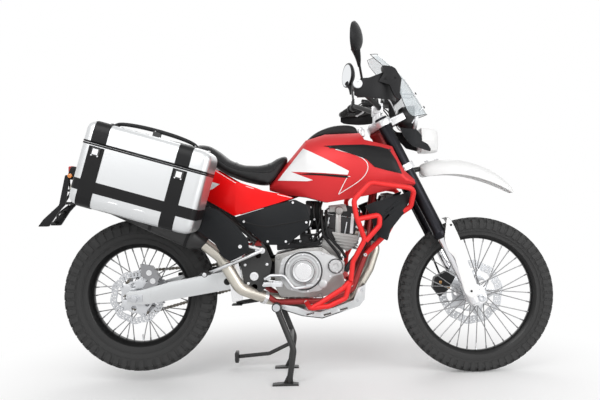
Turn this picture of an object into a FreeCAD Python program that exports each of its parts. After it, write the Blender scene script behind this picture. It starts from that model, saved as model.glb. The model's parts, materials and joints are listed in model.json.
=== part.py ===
import FreeCAD, Part
import math
import os
import re

import Sketcher
from FreeCAD import Placement, Rotation, Vector

# Adventure motorcycle on its centre stand.
# Row frame in millimetres: +X forward, +Y to the rider's left, +Z up, floor at Z = 0.
# Chassis outlines are drawn on the side-view grid, on which the fork axis meets the
# upper clamp at (clamp_grid_x, clamp_grid_z); the grid moves with the fork.

SIZES = {
    # Wheels and tyres
    "front_axle_x": 794, "front_tyre_radius": 347.5, "front_tyre_width": 92,
    "front_rim_radius": 280, "front_rim_inner": 251.5, "front_rim_half": 27,
    "rear_tyre_radius": 340.5, "rear_tyre_width": 142,
    "rear_rim_radius": 242, "rear_rim_inner": 211, "rear_rim_half": 42,
    "rim_wall": 4, "rim_flange": 14, "bead_gap": 0.3,
    "spoke_count": 36, "spoke_radius": 1.9, "spoke_gap": 0.1,
    "front_hub_radius": 30, "front_flange_radius": 45, "front_hub_half": 58,
    "rear_hub_radius": 40, "rear_flange_radius": 62, "rear_hub_half": 70,
    "hub_flange_wall": 6, "hub_gap": 0.5,
    "front_disc_radius": 150, "front_disc_y": 74, "disc_wall": 5,
    "rear_disc_radius": 120, "rear_disc_y": 86,
    # Fork, steering and the chassis grid
    "rake_angle": 25.8, "axle_lead": 32.4, "stem_set_back": 32,
    "fork_half_spacing": 105, "outer_radius": 28, "stanchion_radius": 21.5,
    "outer_foot": 317, "outer_top": 897, "stanchion_foot": 60,
    "upper_clamp_at": 871.4, "lower_clamp_at": 655, "clamp_wall": 28,
    "clamp_gap": 0.3, "stem_radius": 14, "stem_gap": 0.6,
    "head_tube_radius": 28, "head_tube_end_gap": 1.5,
    "front_axle_radius": 9.5, "rear_axle_radius": 10,
    "clamp_grid_x": 385.4, "clamp_grid_z": 1118,
    "fork_sweep_radius": 150,
    # Frame and running gear
    "backbone_radius": 24, "down_tube_radius": 13, "cradle_radius": 13,
    "subframe_radius": 11, "cradle_half": 118,
    "pivot_x": -190, "pivot_z": 470, "pivot_radius": 9, "pivot_gap": 0.6,
    "pivot_plate_inner": 138, "pivot_plate_wall": 12,
    "swingarm_length": 527.8, "swingarm_drop": 9.2, "swingarm_angle_drop": 84.5,
    "arm_inner": 104, "arm_outer": 134,
    "chain_y": 92, "chain_width": 17, "chain_height": 15, "chain_clearance": 6,
    "rear_sprocket_radius": 98, "front_sprocket_radius": 40, "front_sprocket_x": -118,
    "front_sprocket_z": 478,
    # Engine
    "crankcase_half": 112, "cylinder_half": 78, "cover_outer": 165,
    "clutch_x": 21, "clutch_z": 487, "clutch_radius": 80,
    "clutch_disc_radius": 54, "filter_x": 161, "filter_z": 505, "filter_radius": 32,
    "cover_gap": 0.3,
    # Bodywork
    "tank_half": 188, "trim_wall": 3, "seat_half": 150, "panel_y": 150, "panel_wall": 5, "panel_tuck": 42,
    "skid_half": 122, "skid_wall": 4,
    # Luggage
    "pannier_inner": 236, "pannier_outer": 470, "pannier_wall": 2,
    "pannier_pitch": 16.8, "pannier_rear_x": -883, "pannier_rear_z": 805,
    "pannier_length": 495, "pannier_height": 335, "lid_height": 88,
    "lid_gap": 1.0, "case_seat_gap": 0.3, "rack_tube_radius": 8,
    "rear_rack_half": 100, "rear_rack_wall": 8, "rear_rack_hole_radius": 4.25,
    "rear_rack_hole_pitch_x": 160, "rear_rack_hole_pitch_y": 120,
    # Guards, controls and stands
    "crash_bar_radius": 12.5, "crash_bar_y": 245, "crash_loop_y": 190,
    "bar_radius": 11, "bar_half": 392, "grip_radius": 17, "grip_gap": 0.3,
    "mirror_y": 390, "screen_wall": 4, "screen_half": 165,
    "stand_pivot_x": -98, "stand_pivot_z": 335, "stand_leg_y": 152,
    "stand_leg_radius": 13, "stand_shaft_radius": 10, "stand_gap": 0.6,
    "side_stand_radius": 11, "side_stand_x": -10, "side_stand_y": 158, "side_stand_z": 345,
    "side_bolt_radius": 8,
}

DOC = FreeCAD.newDocument("AdventureMotorcycle")
SHEET = DOC.addObject("Spreadsheet::Sheet", "Sizes")
for row, (alias, value) in enumerate(SIZES.items(), start=1):
    SHEET.set(f"A{row}", alias)
    SHEET.set(f"B{row}", str(value))
    SHEET.setAlias(f"B{row}", alias)
DOC.recompute()


class SheetReader:
    """Reads a size from the sheet by its alias."""

    def __getattr__(self, alias):
        return float(SHEET.get(alias))


S = SheetReader()
NODES = {}

RAKE = math.radians(S.rake_angle)
FORWARD = Vector(math.cos(RAKE), 0, math.sin(RAKE))
UPWARD = Vector(-math.sin(RAKE), 0, math.cos(RAKE))
FRONT_AXLE = Vector(S.front_axle_x, 0, S.front_tyre_radius)
FORK_FRAME = Placement(FRONT_AXLE, Rotation(Vector(0, 1, 0), -S.rake_angle))
CLAMP = FRONT_AXLE - FORWARD * S.axle_lead + UPWARD * S.upper_clamp_at
GRID = Placement(CLAMP - Vector(S.clamp_grid_x, 0, S.clamp_grid_z), Rotation())
REAR_AXLE = GRID.Base + Vector(S.pivot_x, 0, S.pivot_z) + Vector(
    -math.sqrt(S.swingarm_length ** 2 - S.swingarm_angle_drop ** 2), 0, -S.swingarm_angle_drop)
STEM_X = -S.axle_lead - S.stem_set_back


def linked(text):
    """The expression with each alias read from the sheet."""
    return re.sub(r"[a-z_]+\w*", lambda word: f"Sizes.{word.group(0)}"
                  if word.group(0) in SIZES else word.group(0), str(text))


def number(text):
    """The expression's present value."""
    return float(SHEET.evalExpression(str(text)))


def bind(thing, **sizes):
    """Binds a feature's properties to the sheet."""
    for path, text in sizes.items():
        thing.setExpression(path.replace("__", "."), linked(text))


def new_body(name, placement=None):
    """A body at its own placement."""
    body = DOC.addObject("PartDesign::Body", name)
    body.Placement = placement or Placement()
    return body


def plane_of(body, role):
    """One of the body's origin planes."""
    return next(item for item in body.Origin.OriginFeatures if item.Role == role)


def outline_sketch(body, role, outline, offset="0", tilt=0.0, base=(0.0, 0.0)):
    """A closed outline on an origin plane, each corner held from the sketch's origin."""
    sketch = body.newObject("Sketcher::SketchObject", f"{body.Name}Outline")
    sketch.AttachmentSupport = [(plane_of(body, role), "")]
    sketch.MapMode = "FlatFace"
    sketch.AttachmentOffset = Placement(Vector(base[0], base[1], number(offset)),
                                        Rotation(Vector(1, 0, 0), tilt))
    bind(sketch, AttachmentOffset__Base__z=offset)
    corners = [Vector(number(across), number(up), 0) for across, up in outline]
    for index, corner in enumerate(corners):
        sketch.addGeometry(Part.LineSegment(corner, corners[(index + 1) % len(corners)]))
    count = len(corners)
    rules = [Sketcher.Constraint("Coincident", index, 2, (index + 1) % count, 1)
             for index in range(count)]
    driven = []
    for index, (across, up) in enumerate(outline):
        driven.append((len(rules), across))
        rules.append(Sketcher.Constraint("DistanceX", -1, 1, index, 1, corners[index].x))
        driven.append((len(rules), up))
        rules.append(Sketcher.Constraint("DistanceY", -1, 1, index, 1, corners[index].y))
    sketch.addConstraint(rules)
    for place, text in driven:
        if isinstance(text, str):
            sketch.setExpression(f"Constraints[{place}]", linked(text))
    return sketch


def pad(body, sketch, length):
    """Pads a sketch along its normal."""
    block = body.newObject("PartDesign::Pad", f"{body.Name}Pad")
    block.Profile = sketch
    block.Length = number(length)
    bind(block, Length=length)
    body.Tip = block
    return block


def side_pad(name, outline, left, right, placement=GRID):
    """A side-view outline padded across the machine, from y = left down to y = right."""
    body = new_body(name, placement)
    pad(body, outline_sketch(body, "XZ_Plane", outline, offset=f"0 - ({left})"),
        f"({left}) - ({right})")
    return body


def plan_pad(name, outline, low, high, placement=GRID):
    """A plan-view outline padded upward from z = low to z = high."""
    body = new_body(name, placement)
    pad(body, outline_sketch(body, "XY_Plane", outline, offset=low), f"({high}) - ({low})")
    return body


def side_round(name, centre, radius, left, right, sides=16):
    """A round boss across the machine, from y = left down to y = right, with flat sides."""
    boss = DOC.addObject("Part::Prism", name)
    boss.Polygon = sides
    boss.Circumradius = number(radius)
    boss.Height = number(f"({left}) - ({right})")
    bind(boss, Circumradius=radius, Height=f"({left}) - ({right})")
    boss.Placement = Placement(grid(number(centre[0]), number(right), number(centre[1])),
                               Rotation(Vector(0, 0, 1), Vector(0, 1, 0)))
    return boss


def turned(name, profile, placement, sectors):
    """A (y, radius) profile turned about the axle in flat sectors."""
    corners = [(number(y), number(radius)) for y, radius in profile]
    rings = [[Vector(radius * math.cos(turn), y, radius * math.sin(turn)) for y, radius in corners]
             for turn in (2 * math.pi * step / sectors for step in range(sectors))]
    faces = []
    for low, high in zip(rings, rings[1:] + rings[:1]):
        for index, corner in enumerate(low):
            after = (index + 1) % len(low)
            loop = [corner, low[after], high[after], high[index], corner]
            faces.append(Part.Face(Part.makePolygon(loop)))
    solid = Part.Solid(Part.Shell(faces))
    if solid.Volume < 0:
        solid.reverse()
    item = feature(name, solid)
    item.Placement = placement
    return item


def lofted(name, stations):
    """A faceted form through cross-sections (x, z, tilt, outline in y and height)."""
    rings = []
    for x, z, tilt, outline in stations:
        lean = Rotation(Vector(0, 1, 0), tilt)
        rings.append([grid(x, 0, z) + lean.multVec(Vector(0, across, up))
                      for across, up in outline])
    return feature(name, solid_of(rings))


def fused(name, *parts):
    """The union of several objects."""
    union = DOC.addObject("Part::MultiFuse", name)
    union.Shapes = list(parts)
    return union


def cut(name, base, *tools):
    """The base with each tool taken away."""
    result = DOC.addObject("Part::Cut", name)
    result.Base = base
    result.Tool = tools[0] if len(tools) == 1 else fused(f"{name}Tools", *tools)
    return result


def common(name, first, second):
    """What two objects share."""
    result = DOC.addObject("Part::Common", name)
    result.Base = first
    result.Tool = second
    return result


def gathered(name, *parts):
    """Several solids that don't touch, kept together."""
    group = DOC.addObject("Part::Compound", name)
    group.Links = list(parts)
    return group


def mirrored(name, source):
    """The source's mirror image across the machine's middle plane."""
    image = DOC.addObject("Part::Mirroring", name)
    image.Source = source
    image.Normal = Vector(0, 1, 0)
    return image


def both_sides(name, source):
    """The source and its mirror image."""
    return gathered(name, source, mirrored(f"{name}Mirror", source))


def box(name, low, high, placement=GRID):
    """A box between two corners, each given as sizes or expressions."""
    block = DOC.addObject("Part::Box", name)
    for side, start, end in zip(("Length", "Width", "Height"), low, high):
        setattr(block, side, number(f"({end}) - ({start})"))
        bind(block, **{side: f"({end}) - ({start})"})
    corner = Vector(*(number(value) for value in low))
    block.Placement = placement.multiply(Placement(corner, Rotation()))
    return block


def rod(name, start, end, radius, sides=12):
    """A bar between two points, with flat sides and its corners on the radius."""
    bar = DOC.addObject("Part::Prism", name)
    bar.Polygon = sides
    bar.Circumradius = number(radius)
    bind(bar, Circumradius=radius)
    return laid(bar, start, end)


def bore(name, start, end, radius):
    """A round hole's tool between two points."""
    hole = DOC.addObject("Part::Cylinder", name)
    hole.Radius = number(radius)
    bind(hole, Radius=radius)
    return laid(hole, start, end)


def laid(item, start, end):
    """Stands a bar or a hole's tool between two points."""
    way = end - start
    item.Height = way.Length
    item.Placement = Placement(start, Rotation(Vector(0, 0, 1), way))
    return item


def bar_shape(radius, length, base, way=Vector(0, 1, 0), sides=12, end_radius=None):
    """A straight or tapered bar with flat sides, its corners on the radius."""
    turned_to = Rotation(Vector(0, 0, 1), way)
    rings = []
    for along, reach in ((0, radius), (length, end_radius or radius)):
        rings.append([base + turned_to.multVec(Vector(reach * math.cos(turn), reach * math.sin(turn), along))
                      for turn in (2 * math.pi * step / sides for step in range(sides))])
    return solid_of(rings)


def feature(name, shape):
    """A sub-part whose form is worked out from the sheet's sizes."""
    item = DOC.addObject("Part::Feature", name)
    item.Shape = shape
    return item


def grid(x, y, z):
    """A point of the side-view grid in the row frame."""
    return GRID.multVec(Vector(x, y, z))


def fork(ahead, y, up):
    """A point given ahead of and up along the fork from the front axle."""
    return FORK_FRAME.multVec(Vector(ahead, y, up))


def bent_path(points, bend):
    """The route's corners, each bend turned into short chords of one radius."""
    path = [points[0]]
    for before, corner, after in zip(points, points[1:], points[2:]):
        back = (before - corner).normalize()
        ahead = (after - corner).normalize()
        half = back.getAngle(ahead) / 2
        centre = corner + (back + ahead).normalize() * (bend / math.sin(half))
        entry = corner + back * (bend / math.tan(half)) - centre
        turn = math.pi - 2 * half
        steps = max(1, math.ceil(turn / math.radians(40)))
        axis = back.cross(ahead).normalize()
        for step in range(steps + 1):
            way = Rotation(axis, -math.degrees(turn) * step / steps).multVec(entry)
            path.append(centre + way)
    return path + [points[-1]]


def solid_of(rings):
    """A closed solid through rings of points, flat on every face."""
    faces = [Part.Face(Part.makePolygon(ring + [ring[0]])) for ring in (rings[0], rings[-1])]
    for low, high in zip(rings, rings[1:]):
        for index, corner in enumerate(low):
            after = (index + 1) % len(low)
            quad = [corner, low[after], high[after], high[index]]
            flat = abs((quad[1] - quad[0]).cross(quad[3] - quad[0]).normalize()
                       .dot(quad[2] - quad[0])) < 1e-5
            for loop in [quad] if flat else [quad[:3], [quad[0], quad[2], quad[3]]]:
                faces.append(Part.Face(Part.makePolygon(loop + [loop[0]])))
    solid = Part.Solid(Part.Shell(faces))
    if solid.Volume < 0:
        solid.reverse()
    return solid


def tube_shape(points, radius, bend=30.0, sides=8):
    """A tube of many flat sides along straight runs with mitred bends."""
    path = bent_path(points, bend)
    way = (path[1] - path[0]).normalize()
    side = way.cross(Vector(0, 0, 1) if abs(way.z) < 0.9 else Vector(1, 0, 0)).normalize()
    other = way.cross(side)
    reach = radius / math.cos(math.pi / sides) ** 0.5
    ring = [path[0] + side * (reach * math.cos(turn)) + other * (reach * math.sin(turn))
            for turn in (2 * math.pi * (index + 0.5) / sides for index in range(sides))]
    rings = [ring]
    for before, here, after in zip(path, path[1:], path[2:] + [None]):
        way = (here - before).normalize()
        normal = way if after is None else (way + (after - here).normalize()).normalize()
        ring = [corner + way * ((here - corner).dot(normal) / way.dot(normal)) for corner in ring]
        rings.append(ring)
    return solid_of(rings)


def union_shape(shapes):
    """The union of shapes, with seams on shared faces removed."""
    result = shapes[0]
    for shape in shapes[1:]:
        result = result.fuse(shape)
    return result.removeSplitter()


def mirror_shape(shape):
    """The shape's mirror image across the middle plane."""
    return shape.mirror(Vector(0, 0, 0), Vector(0, 1, 0))


def node(label, item):
    """Registers a finished sub-part under the name of its file."""
    item.Label = label
    NODES[label] = item
    return item


# Wheels

WHEEL_SECTORS = 36


def wheel_placement(centre):
    """The frame of a wheel: its origin on the axle."""
    return Placement(centre, Rotation())


def make_tyre(label, centre, which):
    """A crowned tyre that sits between the rim's flanges."""
    half = f"{which}_tyre_width / 2"
    top = f"{which}_tyre_radius"
    bead_y = f"{which}_rim_half - rim_wall - bead_gap"
    seat = f"{which}_rim_radius - rim_flange + bead_gap"
    lip = f"{which}_rim_radius + 3"
    right = [(f"0 - ({bead_y})", seat), (f"0 - ({bead_y})", lip),
             (f"0 - ({half})", f"{top} - {half} * 0.95"),
             (f"0 - ({half})", f"{top} - {half} * 0.7"),
             (f"0 - ({half}) * 0.86", f"{top} - {half} * 0.38"),
             (f"0 - ({half}) * 0.45", f"{top} - {half} * 0.1")]
    crown = [("0", top)]
    left = [(across[4:], up) for across, up in reversed(right)]
    node(label, turned(label.title().replace("_", ""), right + crown + left,
                       wheel_placement(centre), WHEEL_SECTORS))


def make_rim(label, centre, which):
    """A drop-walled rim with two flanges."""
    half = f"{which}_rim_half"
    right = [(f"0 - {half}", f"{which}_rim_radius"),
             (f"0 - {half} + rim_wall", f"{which}_rim_radius"),
             (f"0 - {half} + rim_wall", f"{which}_rim_radius - rim_flange")]
    left = [(f"{half} - rim_wall", f"{which}_rim_radius - rim_flange"),
            (f"{half} - rim_wall", f"{which}_rim_radius"), (half, f"{which}_rim_radius")]
    inner = [(half, f"{which}_rim_radius - rim_flange - rim_wall"),
             (f"{half} * 0.45", f"{which}_rim_inner"), (f"0 - {half} * 0.45", f"{which}_rim_inner"),
             (f"0 - {half}", f"{which}_rim_radius - rim_flange - rim_wall")]
    profile = right + left + inner
    node(label, turned(label.title().replace("_", ""), profile, wheel_placement(centre),
                       WHEEL_SECTORS))


def spoke_shape(start, end, radius):
    """A straight spoke with a three-sided section."""
    way = end - start
    side = way.cross(Vector(0, 1, 0)).normalize() * radius
    other = way.cross(side).normalize() * (radius / 2)
    corners = [start + side - other, start - side - other, start + other * 2]
    return Part.Face(Part.makePolygon(corners + [corners[0]])).extrude(way)


SPOKE_LEAN = math.radians(34)
SPOKE_END_Y = 6
SPOKE_TIP = 0.7
FLANGE_SHARE = 0.55


def make_spoked_hub(label, centre, which, bore_radius):
    """A hub with two flanges and crossed spokes to the rim."""
    hub_radius = getattr(S, f"{which}_hub_radius")
    flange_radius = getattr(S, f"{which}_flange_radius")
    hub_half = getattr(S, f"{which}_hub_half")
    inner = getattr(S, f"{which}_rim_inner") - S.spoke_gap - SPOKE_TIP
    flange_y = hub_half * FLANGE_SHARE
    shapes = [bar_shape(hub_radius, 2 * hub_half, Vector(0, -hub_half, 0))]
    shapes += [bar_shape(flange_radius, S.hub_flange_wall,
                         Vector(0, side * flange_y - S.hub_flange_wall / 2, 0))
               for side in (-1, 1)]
    count = int(S.spoke_count)
    spokes = []
    for index in range(count):
        turn = 2 * math.pi * index / count
        side = 1 if index % 2 else -1
        lean = SPOKE_LEAN * (1 if (index // 2) % 2 else -1)
        start = Vector((flange_radius - 5) * math.cos(turn - lean), side * flange_y,
                       (flange_radius - 5) * math.sin(turn - lean))
        end = Vector(inner * math.cos(turn), side * SPOKE_END_Y, inner * math.sin(turn))
        spokes.append(spoke_shape(start, end, S.spoke_radius))
    hole = Part.makeCylinder(bore_radius + S.hub_gap, 4 * hub_half, Vector(0, -2 * hub_half, 0),
                             Vector(0, 1, 0))
    item = feature(label.title().replace("_", ""), union_shape(shapes).fuse(spokes).cut(hole))
    item.Placement = wheel_placement(centre)
    node(label, item)


DISC_WAVES = 10
DISC_WAVE_DEPTH = 3
DISC_ARMS = 5


def make_disc(label, centre, which, side):
    """A waved brake disc riveted to a star carrier on the hub's end."""
    radius = getattr(S, f"{which}_disc_radius")
    hub_radius = getattr(S, f"{which}_hub_radius")
    hub_half = getattr(S, f"{which}_hub_half")
    middle = side * getattr(S, f"{which}_disc_y")

    def plate(outline, hollow, low, high):
        """A flat ring between two planes across the axle."""
        solids = [Part.Face(Part.makePolygon([Vector(x, low, z) for x, z in corners + [corners[0]]]))
                  .extrude(Vector(0, high - low, 0)) for corners in (outline, hollow)]
        return solids[0].cut(solids[1])

    def loop(count, reach):
        """A closed loop whose radius follows its step."""
        return [(reach(step) * math.cos(2 * math.pi * step / count),
                 reach(step) * math.sin(2 * math.pi * step / count)) for step in range(count)]

    wave = loop(4 * DISC_WAVES, lambda step: radius - (DISC_WAVE_DEPTH if step % 4 > 1 else 0))
    band = plate(wave, loop(20, lambda step: radius * 0.74), middle - S.disc_wall / 2,
                 middle + S.disc_wall / 2)
    star = loop(4 * DISC_ARMS, lambda step: radius * (0.52 if step % 4 > 1 else 0.79))
    hollow = loop(12, lambda step: hub_radius - 8)
    back, front = sorted((middle + side * S.disc_wall / 2, middle - side * (S.disc_wall / 2 + 3)))
    carrier = plate(star, hollow, back, front)
    low, high = sorted((side * hub_half, middle - side * S.disc_wall / 2))
    bell = plate(loop(12, lambda step: hub_radius + 4), hollow, low, high)
    item = feature(label.title().replace("_", ""), union_shape([band, carrier, bell]))
    item.Placement = wheel_placement(centre)
    node(label, item)


make_tyre("front_tyre", FRONT_AXLE, "front")
make_rim("front_rim", FRONT_AXLE, "front")
make_spoked_hub("front_hub", FRONT_AXLE, "front", S.front_axle_radius)
make_disc("front_disc", FRONT_AXLE, "front", 1)
make_tyre("rear_tyre", REAR_AXLE, "rear")
make_rim("rear_rim", REAR_AXLE, "rear")
make_spoked_hub("rear_hub", REAR_AXLE, "rear", S.rear_axle_radius)
make_disc("rear_disc", REAR_AXLE, "rear", -1)


# Fork and steering

def make_clamps():
    """The two fork clamps and the steering stem between them."""
    tubes = [bore(f"ClampBore{side}", fork(-S.axle_lead, side * S.fork_half_spacing, 0),
                 fork(-S.axle_lead, side * S.fork_half_spacing, 1200), "outer_radius + clamp_gap")
             for side in (-1, 1)]
    plates = []
    for name, level in (("UpperClamp", "upper_clamp_at"), ("LowerClamp", "lower_clamp_at")):
        body = new_body(name, FORK_FRAME)
        back = "0 - axle_lead - stem_set_back - 26"
        front = "0 - axle_lead + outer_radius + 9"
        rear = "0 - axle_lead - outer_radius - 7"
        edge = "fork_half_spacing + outer_radius + 9"
        outline = [(front, "fork_half_spacing - 22"), (front, "fork_half_spacing + 14"),
                   ("0 - axle_lead + 10", edge), ("0 - axle_lead - 14", edge),
                   (rear, "fork_half_spacing + 10"), (rear, "fork_half_spacing - 20"),
                   (back, "26"), (back, "0 - 26")]
        half = [(x, f"0 - ({y})") for x, y in outline[:6]]
        waist = [("0 - axle_lead - 6", "0 - 60"), ("0 - axle_lead - 6", "60")]
        outline += list(reversed(half)) + waist
        pad(body, outline_sketch(body, "XY_Plane", outline, offset=f"{level} - clamp_wall / 2"),
            "clamp_wall")
        plates.append(body)
    stem = rod("Stem", fork(STEM_X, 0, S.lower_clamp_at), fork(STEM_X, 0, S.upper_clamp_at + 24),
               "stem_radius")
    nut = rod("StemNut", fork(STEM_X, 0, S.upper_clamp_at + 14),
              fork(STEM_X, 0, S.upper_clamp_at + 22), "stem_radius + 6")
    node("triple_clamps", cut("TripleClamps", fused("ClampUnion", *plates, stem, nut), *tubes))


def make_fork_outers():
    """The black upper fork tubes, each with a collar at its foot and a cap."""
    foot, top = S.outer_foot, S.outer_top

    def stage(word, low, high, radius):
        """One stretch of the tube on the right side."""
        return rod(f"ForkOuter{word}", fork(-S.axle_lead, -S.fork_half_spacing, low),
                   fork(-S.axle_lead, -S.fork_half_spacing, high), radius, 16)

    tube = fused("ForkOuter", stage("Tube", foot, top, "outer_radius"),
                 stage("Collar", foot, foot + 26, "outer_radius + 3"),
                 stage("Cap", top, top + 8, "outer_radius - 9"))
    node("fork_outers", both_sides("ForkOuters", tube))


def make_fork_lowers():
    """Chrome stanchions, the axle lugs and the axle through both."""
    parts = []
    for side in (-1, 1):
        across = side * S.fork_half_spacing
        parts.append(rod(f"Stanchion{side}", fork(-S.axle_lead, across, S.stanchion_foot),
                         fork(-S.axle_lead, across, S.outer_foot - S.clamp_gap),
                         "stanchion_radius"))
        parts.append(rod(f"LugTube{side}", fork(-S.axle_lead, across, -10),
                         fork(-S.axle_lead, across, 92), "stanchion_radius + 5"))
        left = across + (17 if side > 0 else 16)
        right = across - (16 if side > 0 else 17)
        body = new_body(f"AxleLug{'Left' if side > 0 else 'Right'}", FORK_FRAME)
        outline = [(-50, 40), (-50, -14), (-18, -26), (6, -24), (22, -8), (22, 10), (8, 26),
                   (-12, 78), (-32, 86)]
        pad(body, outline_sketch(body, "XZ_Plane", outline, offset=f"0 - ({left})"),
            f"({left}) - ({right})")
        parts.append(body)
    reach = S.fork_half_spacing + 22
    parts.append(rod("FrontAxle", FRONT_AXLE - Vector(0, reach, 0), FRONT_AXLE + Vector(0, reach, 0),
                     "front_axle_radius"))
    spacers = [rod(f"FrontSpacer{side}", FRONT_AXLE + Vector(0, side * (S.front_hub_half + 1), 0),
                   FRONT_AXLE + Vector(0, side * (S.fork_half_spacing - 10), 0), "front_axle_radius + 6")
               for side in (-1, 1)]
    node("fork_lowers", fused("ForkLowers", *parts, *spacers))


GUARD_OUTLINE = [(648, 703), (663, 690), (700, 610), (733, 505), (766, 418), (775, 372), (768, 352),
                 (742, 350), (716, 372), (692, 470), (676, 528), (650, 556), (634, 606)]


def make_fork_guards():
    """White guards: a side wall and a front wall before each stanchion."""
    shell = side_pad("GuardShell", GUARD_OUTLINE, "0 - 74", "0 - 137")
    behind = [(x - 8, z - 4) for x, z in GUARD_OUTLINE]
    inside = side_pad("GuardInside", behind, "0 - 70", "0 - 133")
    inner_cut = box("GuardInner", (500, "0 - 90", 200), (900, "0 - 60", 800))
    node("fork_guards", cut("ForkGuardsSeated", both_sides(
        "ForkGuards", cut("ForkGuard", shell, inside, inner_cut)), NODES["fork_lowers"]))


def arch(half, rise, drop, wall):
    """An arched strip's section: half width, crown height, side drop and wall."""
    outer = [(-half, -drop), (-half, 0), (-half * 0.72, rise * 0.62), (-half * 0.36, rise * 0.93),
             (half * 0.36, rise * 0.93), (half * 0.72, rise * 0.62), (half, 0), (half, -drop)]
    thin = half - wall
    inner = [(thin, -drop), (thin, 0), (thin * 0.72, rise * 0.62 - wall),
             (thin * 0.36, rise * 0.93 - wall), (-thin * 0.36, rise * 0.93 - wall),
             (-thin * 0.72, rise * 0.62 - wall), (-thin, 0), (-thin, -drop)]
    return outer + inner


def make_front_fender():
    """The high front mudguard under the lower clamp."""
    stations = [(556, 898, -14, arch(46, 34, 22, 4)), (620, 914, -6, arch(66, 44, 26, 4)),
                (700, 918, 0, arch(74, 44, 26, 4)), (780, 904, 8, arch(74, 42, 24, 4)),
                (860, 876, 17, arch(66, 36, 20, 4)), (930, 836, 28, arch(52, 26, 12, 4)),
                (974, 800, 36, arch(26, 12, 4, 4))]
    strip = lofted("FenderStrip", stations)
    bracket = side_pad("FenderBracket", [(464, 893), (560, 905), (590, 914), (590, 931),
                                         (540, 931), (512, 922), (464, 905)], "30", "0 - 30")
    node("front_fender", cut("FrontFender", fused("FenderUnion", strip, bracket),
                             NODES["triple_clamps"]))


BAR_BEND_Y = 200


def make_handlebar():
    """A wide bar on two risers above the upper clamp."""
    half = S.bar_half
    points = [grid(247, -half, 1226), grid(296, -BAR_BEND_Y, 1238), grid(374, -90, 1190),
              grid(374, 90, 1190), grid(296, BAR_BEND_Y, 1238), grid(247, half, 1226)]
    bar = feature("Bar", tube_shape(points, S.bar_radius, 60, 12))
    risers = []
    for side in (-1, 1):
        risers.append(rod(f"Riser{side}", fork(-S.axle_lead - 8, side * 50,
                                               S.upper_clamp_at + S.clamp_wall / 2),
                          grid(374, side * 50, 1186), "15"))
        risers.append(rod(f"BarClamp{side}", grid(374, side * 66, 1190), grid(374, side * 34, 1190),
                          "bar_radius + 8"))
    node("handlebar", cut("Handlebar", fused("HandlebarUnion", bar, *risers),
                          NODES["triple_clamps"]))


def bar_point(y):
    """A point of the handlebar's outer straight at a distance across."""
    share = (abs(y) - BAR_BEND_Y) / (S.bar_half - BAR_BEND_Y)
    return grid(296 + share * (247 - 296), y, 1238 + share * (1226 - 1238))


def make_grips():
    """Rubber grips and switch housings round the bar's ends."""
    parts = []
    for side in (-1, 1):
        grip = rod(f"Grip{side}", bar_point(side * 272), bar_point(side * (S.bar_half - 1)),
                   "grip_radius")
        housing = rod(f"Switch{side}", bar_point(side * 249), bar_point(side * 272),
                      "grip_radius + 5")
        hole = bore(f"GripBore{side}", bar_point(side * 200), bar_point(side * (S.bar_half + 30)),
                   "bar_radius + grip_gap")
        parts.append(cut(f"GripCut{side}", fused(f"GripUnion{side}", grip, housing), hole))
    node("grips", gathered("Grips", *parts))


def make_levers():
    """Brake and clutch levers on their perches, and the brake fluid reservoir."""
    parts = []
    for side in (-1, 1):
        perch = rod(f"Perch{side}", bar_point(side * 222), bar_point(side * 248), "bar_radius + 7")
        hole = bore(f"PerchBore{side}", bar_point(side * 190), bar_point(side * 265),
                   "bar_radius + grip_gap")
        start = bar_point(side * 235)
        blade = feature(f"Blade{side}", tube_shape(
            [start + Vector(14, 0, -2), start + Vector(52, side * 16, -8),
             start + Vector(50, side * 90, -14), start + Vector(28, side * 165, -20)], 5, 12))
        shapes = [perch, blade]
        if side < 0:
            shapes.append(feature("Reservoir", tube_shape(
                [start + Vector(14, 42, 20), start + Vector(14, 42, 62)], 18)))
            shapes.append(feature("MasterCylinder", tube_shape(
                [start + Vector(10, 3, 11), start + Vector(14, 62, 24)], 10)))
        parts.append(cut(f"LeverCut{side}", fused(f"LeverUnion{side}", *shapes), hole))
    node("levers", gathered("Levers", *parts))


GUARD_WALL = 5


def make_hand_guards():
    """Plastic shields before the grips, each held at the bar's end."""
    plan = [(236, 428, 22, 1212, 90), (272, 444, 36, 1216, 100), (330, 440, 48, 1222, 122),
            (386, 400, 58, 1232, 148), (412, 330, 62, 1238, 170), (414, 268, 40, 1244, 180)]
    wires = []
    for x, y, half, z, turn in plan:
        outer = grid(x, -y, z)
        across = Vector(math.cos(math.radians(turn)), math.sin(math.radians(turn)), 0) * GUARD_WALL
        wires.append([outer + Vector(0, 0, -half), outer + Vector(0, 0, half),
                      outer + across + Vector(0, 0, half), outer + across + Vector(0, 0, -half)])
    shield = solid_of(wires)
    end = bar_point(-S.bar_half)
    plug = bar_shape(14, 34, end, Vector(-0.15, -1, -0.02).normalize())
    hub = union_shape([shield, plug])
    pair = feature("HandGuardPair", Part.makeCompound([hub, mirror_shape(hub)]))
    node("hand_guards", cut("HandGuards", pair, NODES["handlebar"], NODES["grips"]))


def make_mirrors():
    """Oval mirrors on bent stalks."""
    start = bar_point(-235) + Vector(-2, 0, S.bar_radius + 7)
    stalk = tube_shape([start, start + Vector(6, -14, 50), grid(262, -S.mirror_y + 20, 1392)], 5, 20,
                       6)
    rings = []
    for depth, reach in ((0, 74), (8, 78), (30, 58), (44, 22)):
        rings.append([grid(230 + depth, -S.mirror_y + reach * 1.1 * math.cos(turn),
                           1428 + reach * 0.8 * math.sin(turn))
                      for turn in (2 * math.pi * step / 16 for step in range(16))])
    head = solid_of(rings)
    one = union_shape([stalk, head])
    pair = feature("MirrorPair", Part.makeCompound([one, mirror_shape(one)]))
    node("mirrors", cut("Mirrors", pair, NODES["levers"]))


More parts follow.
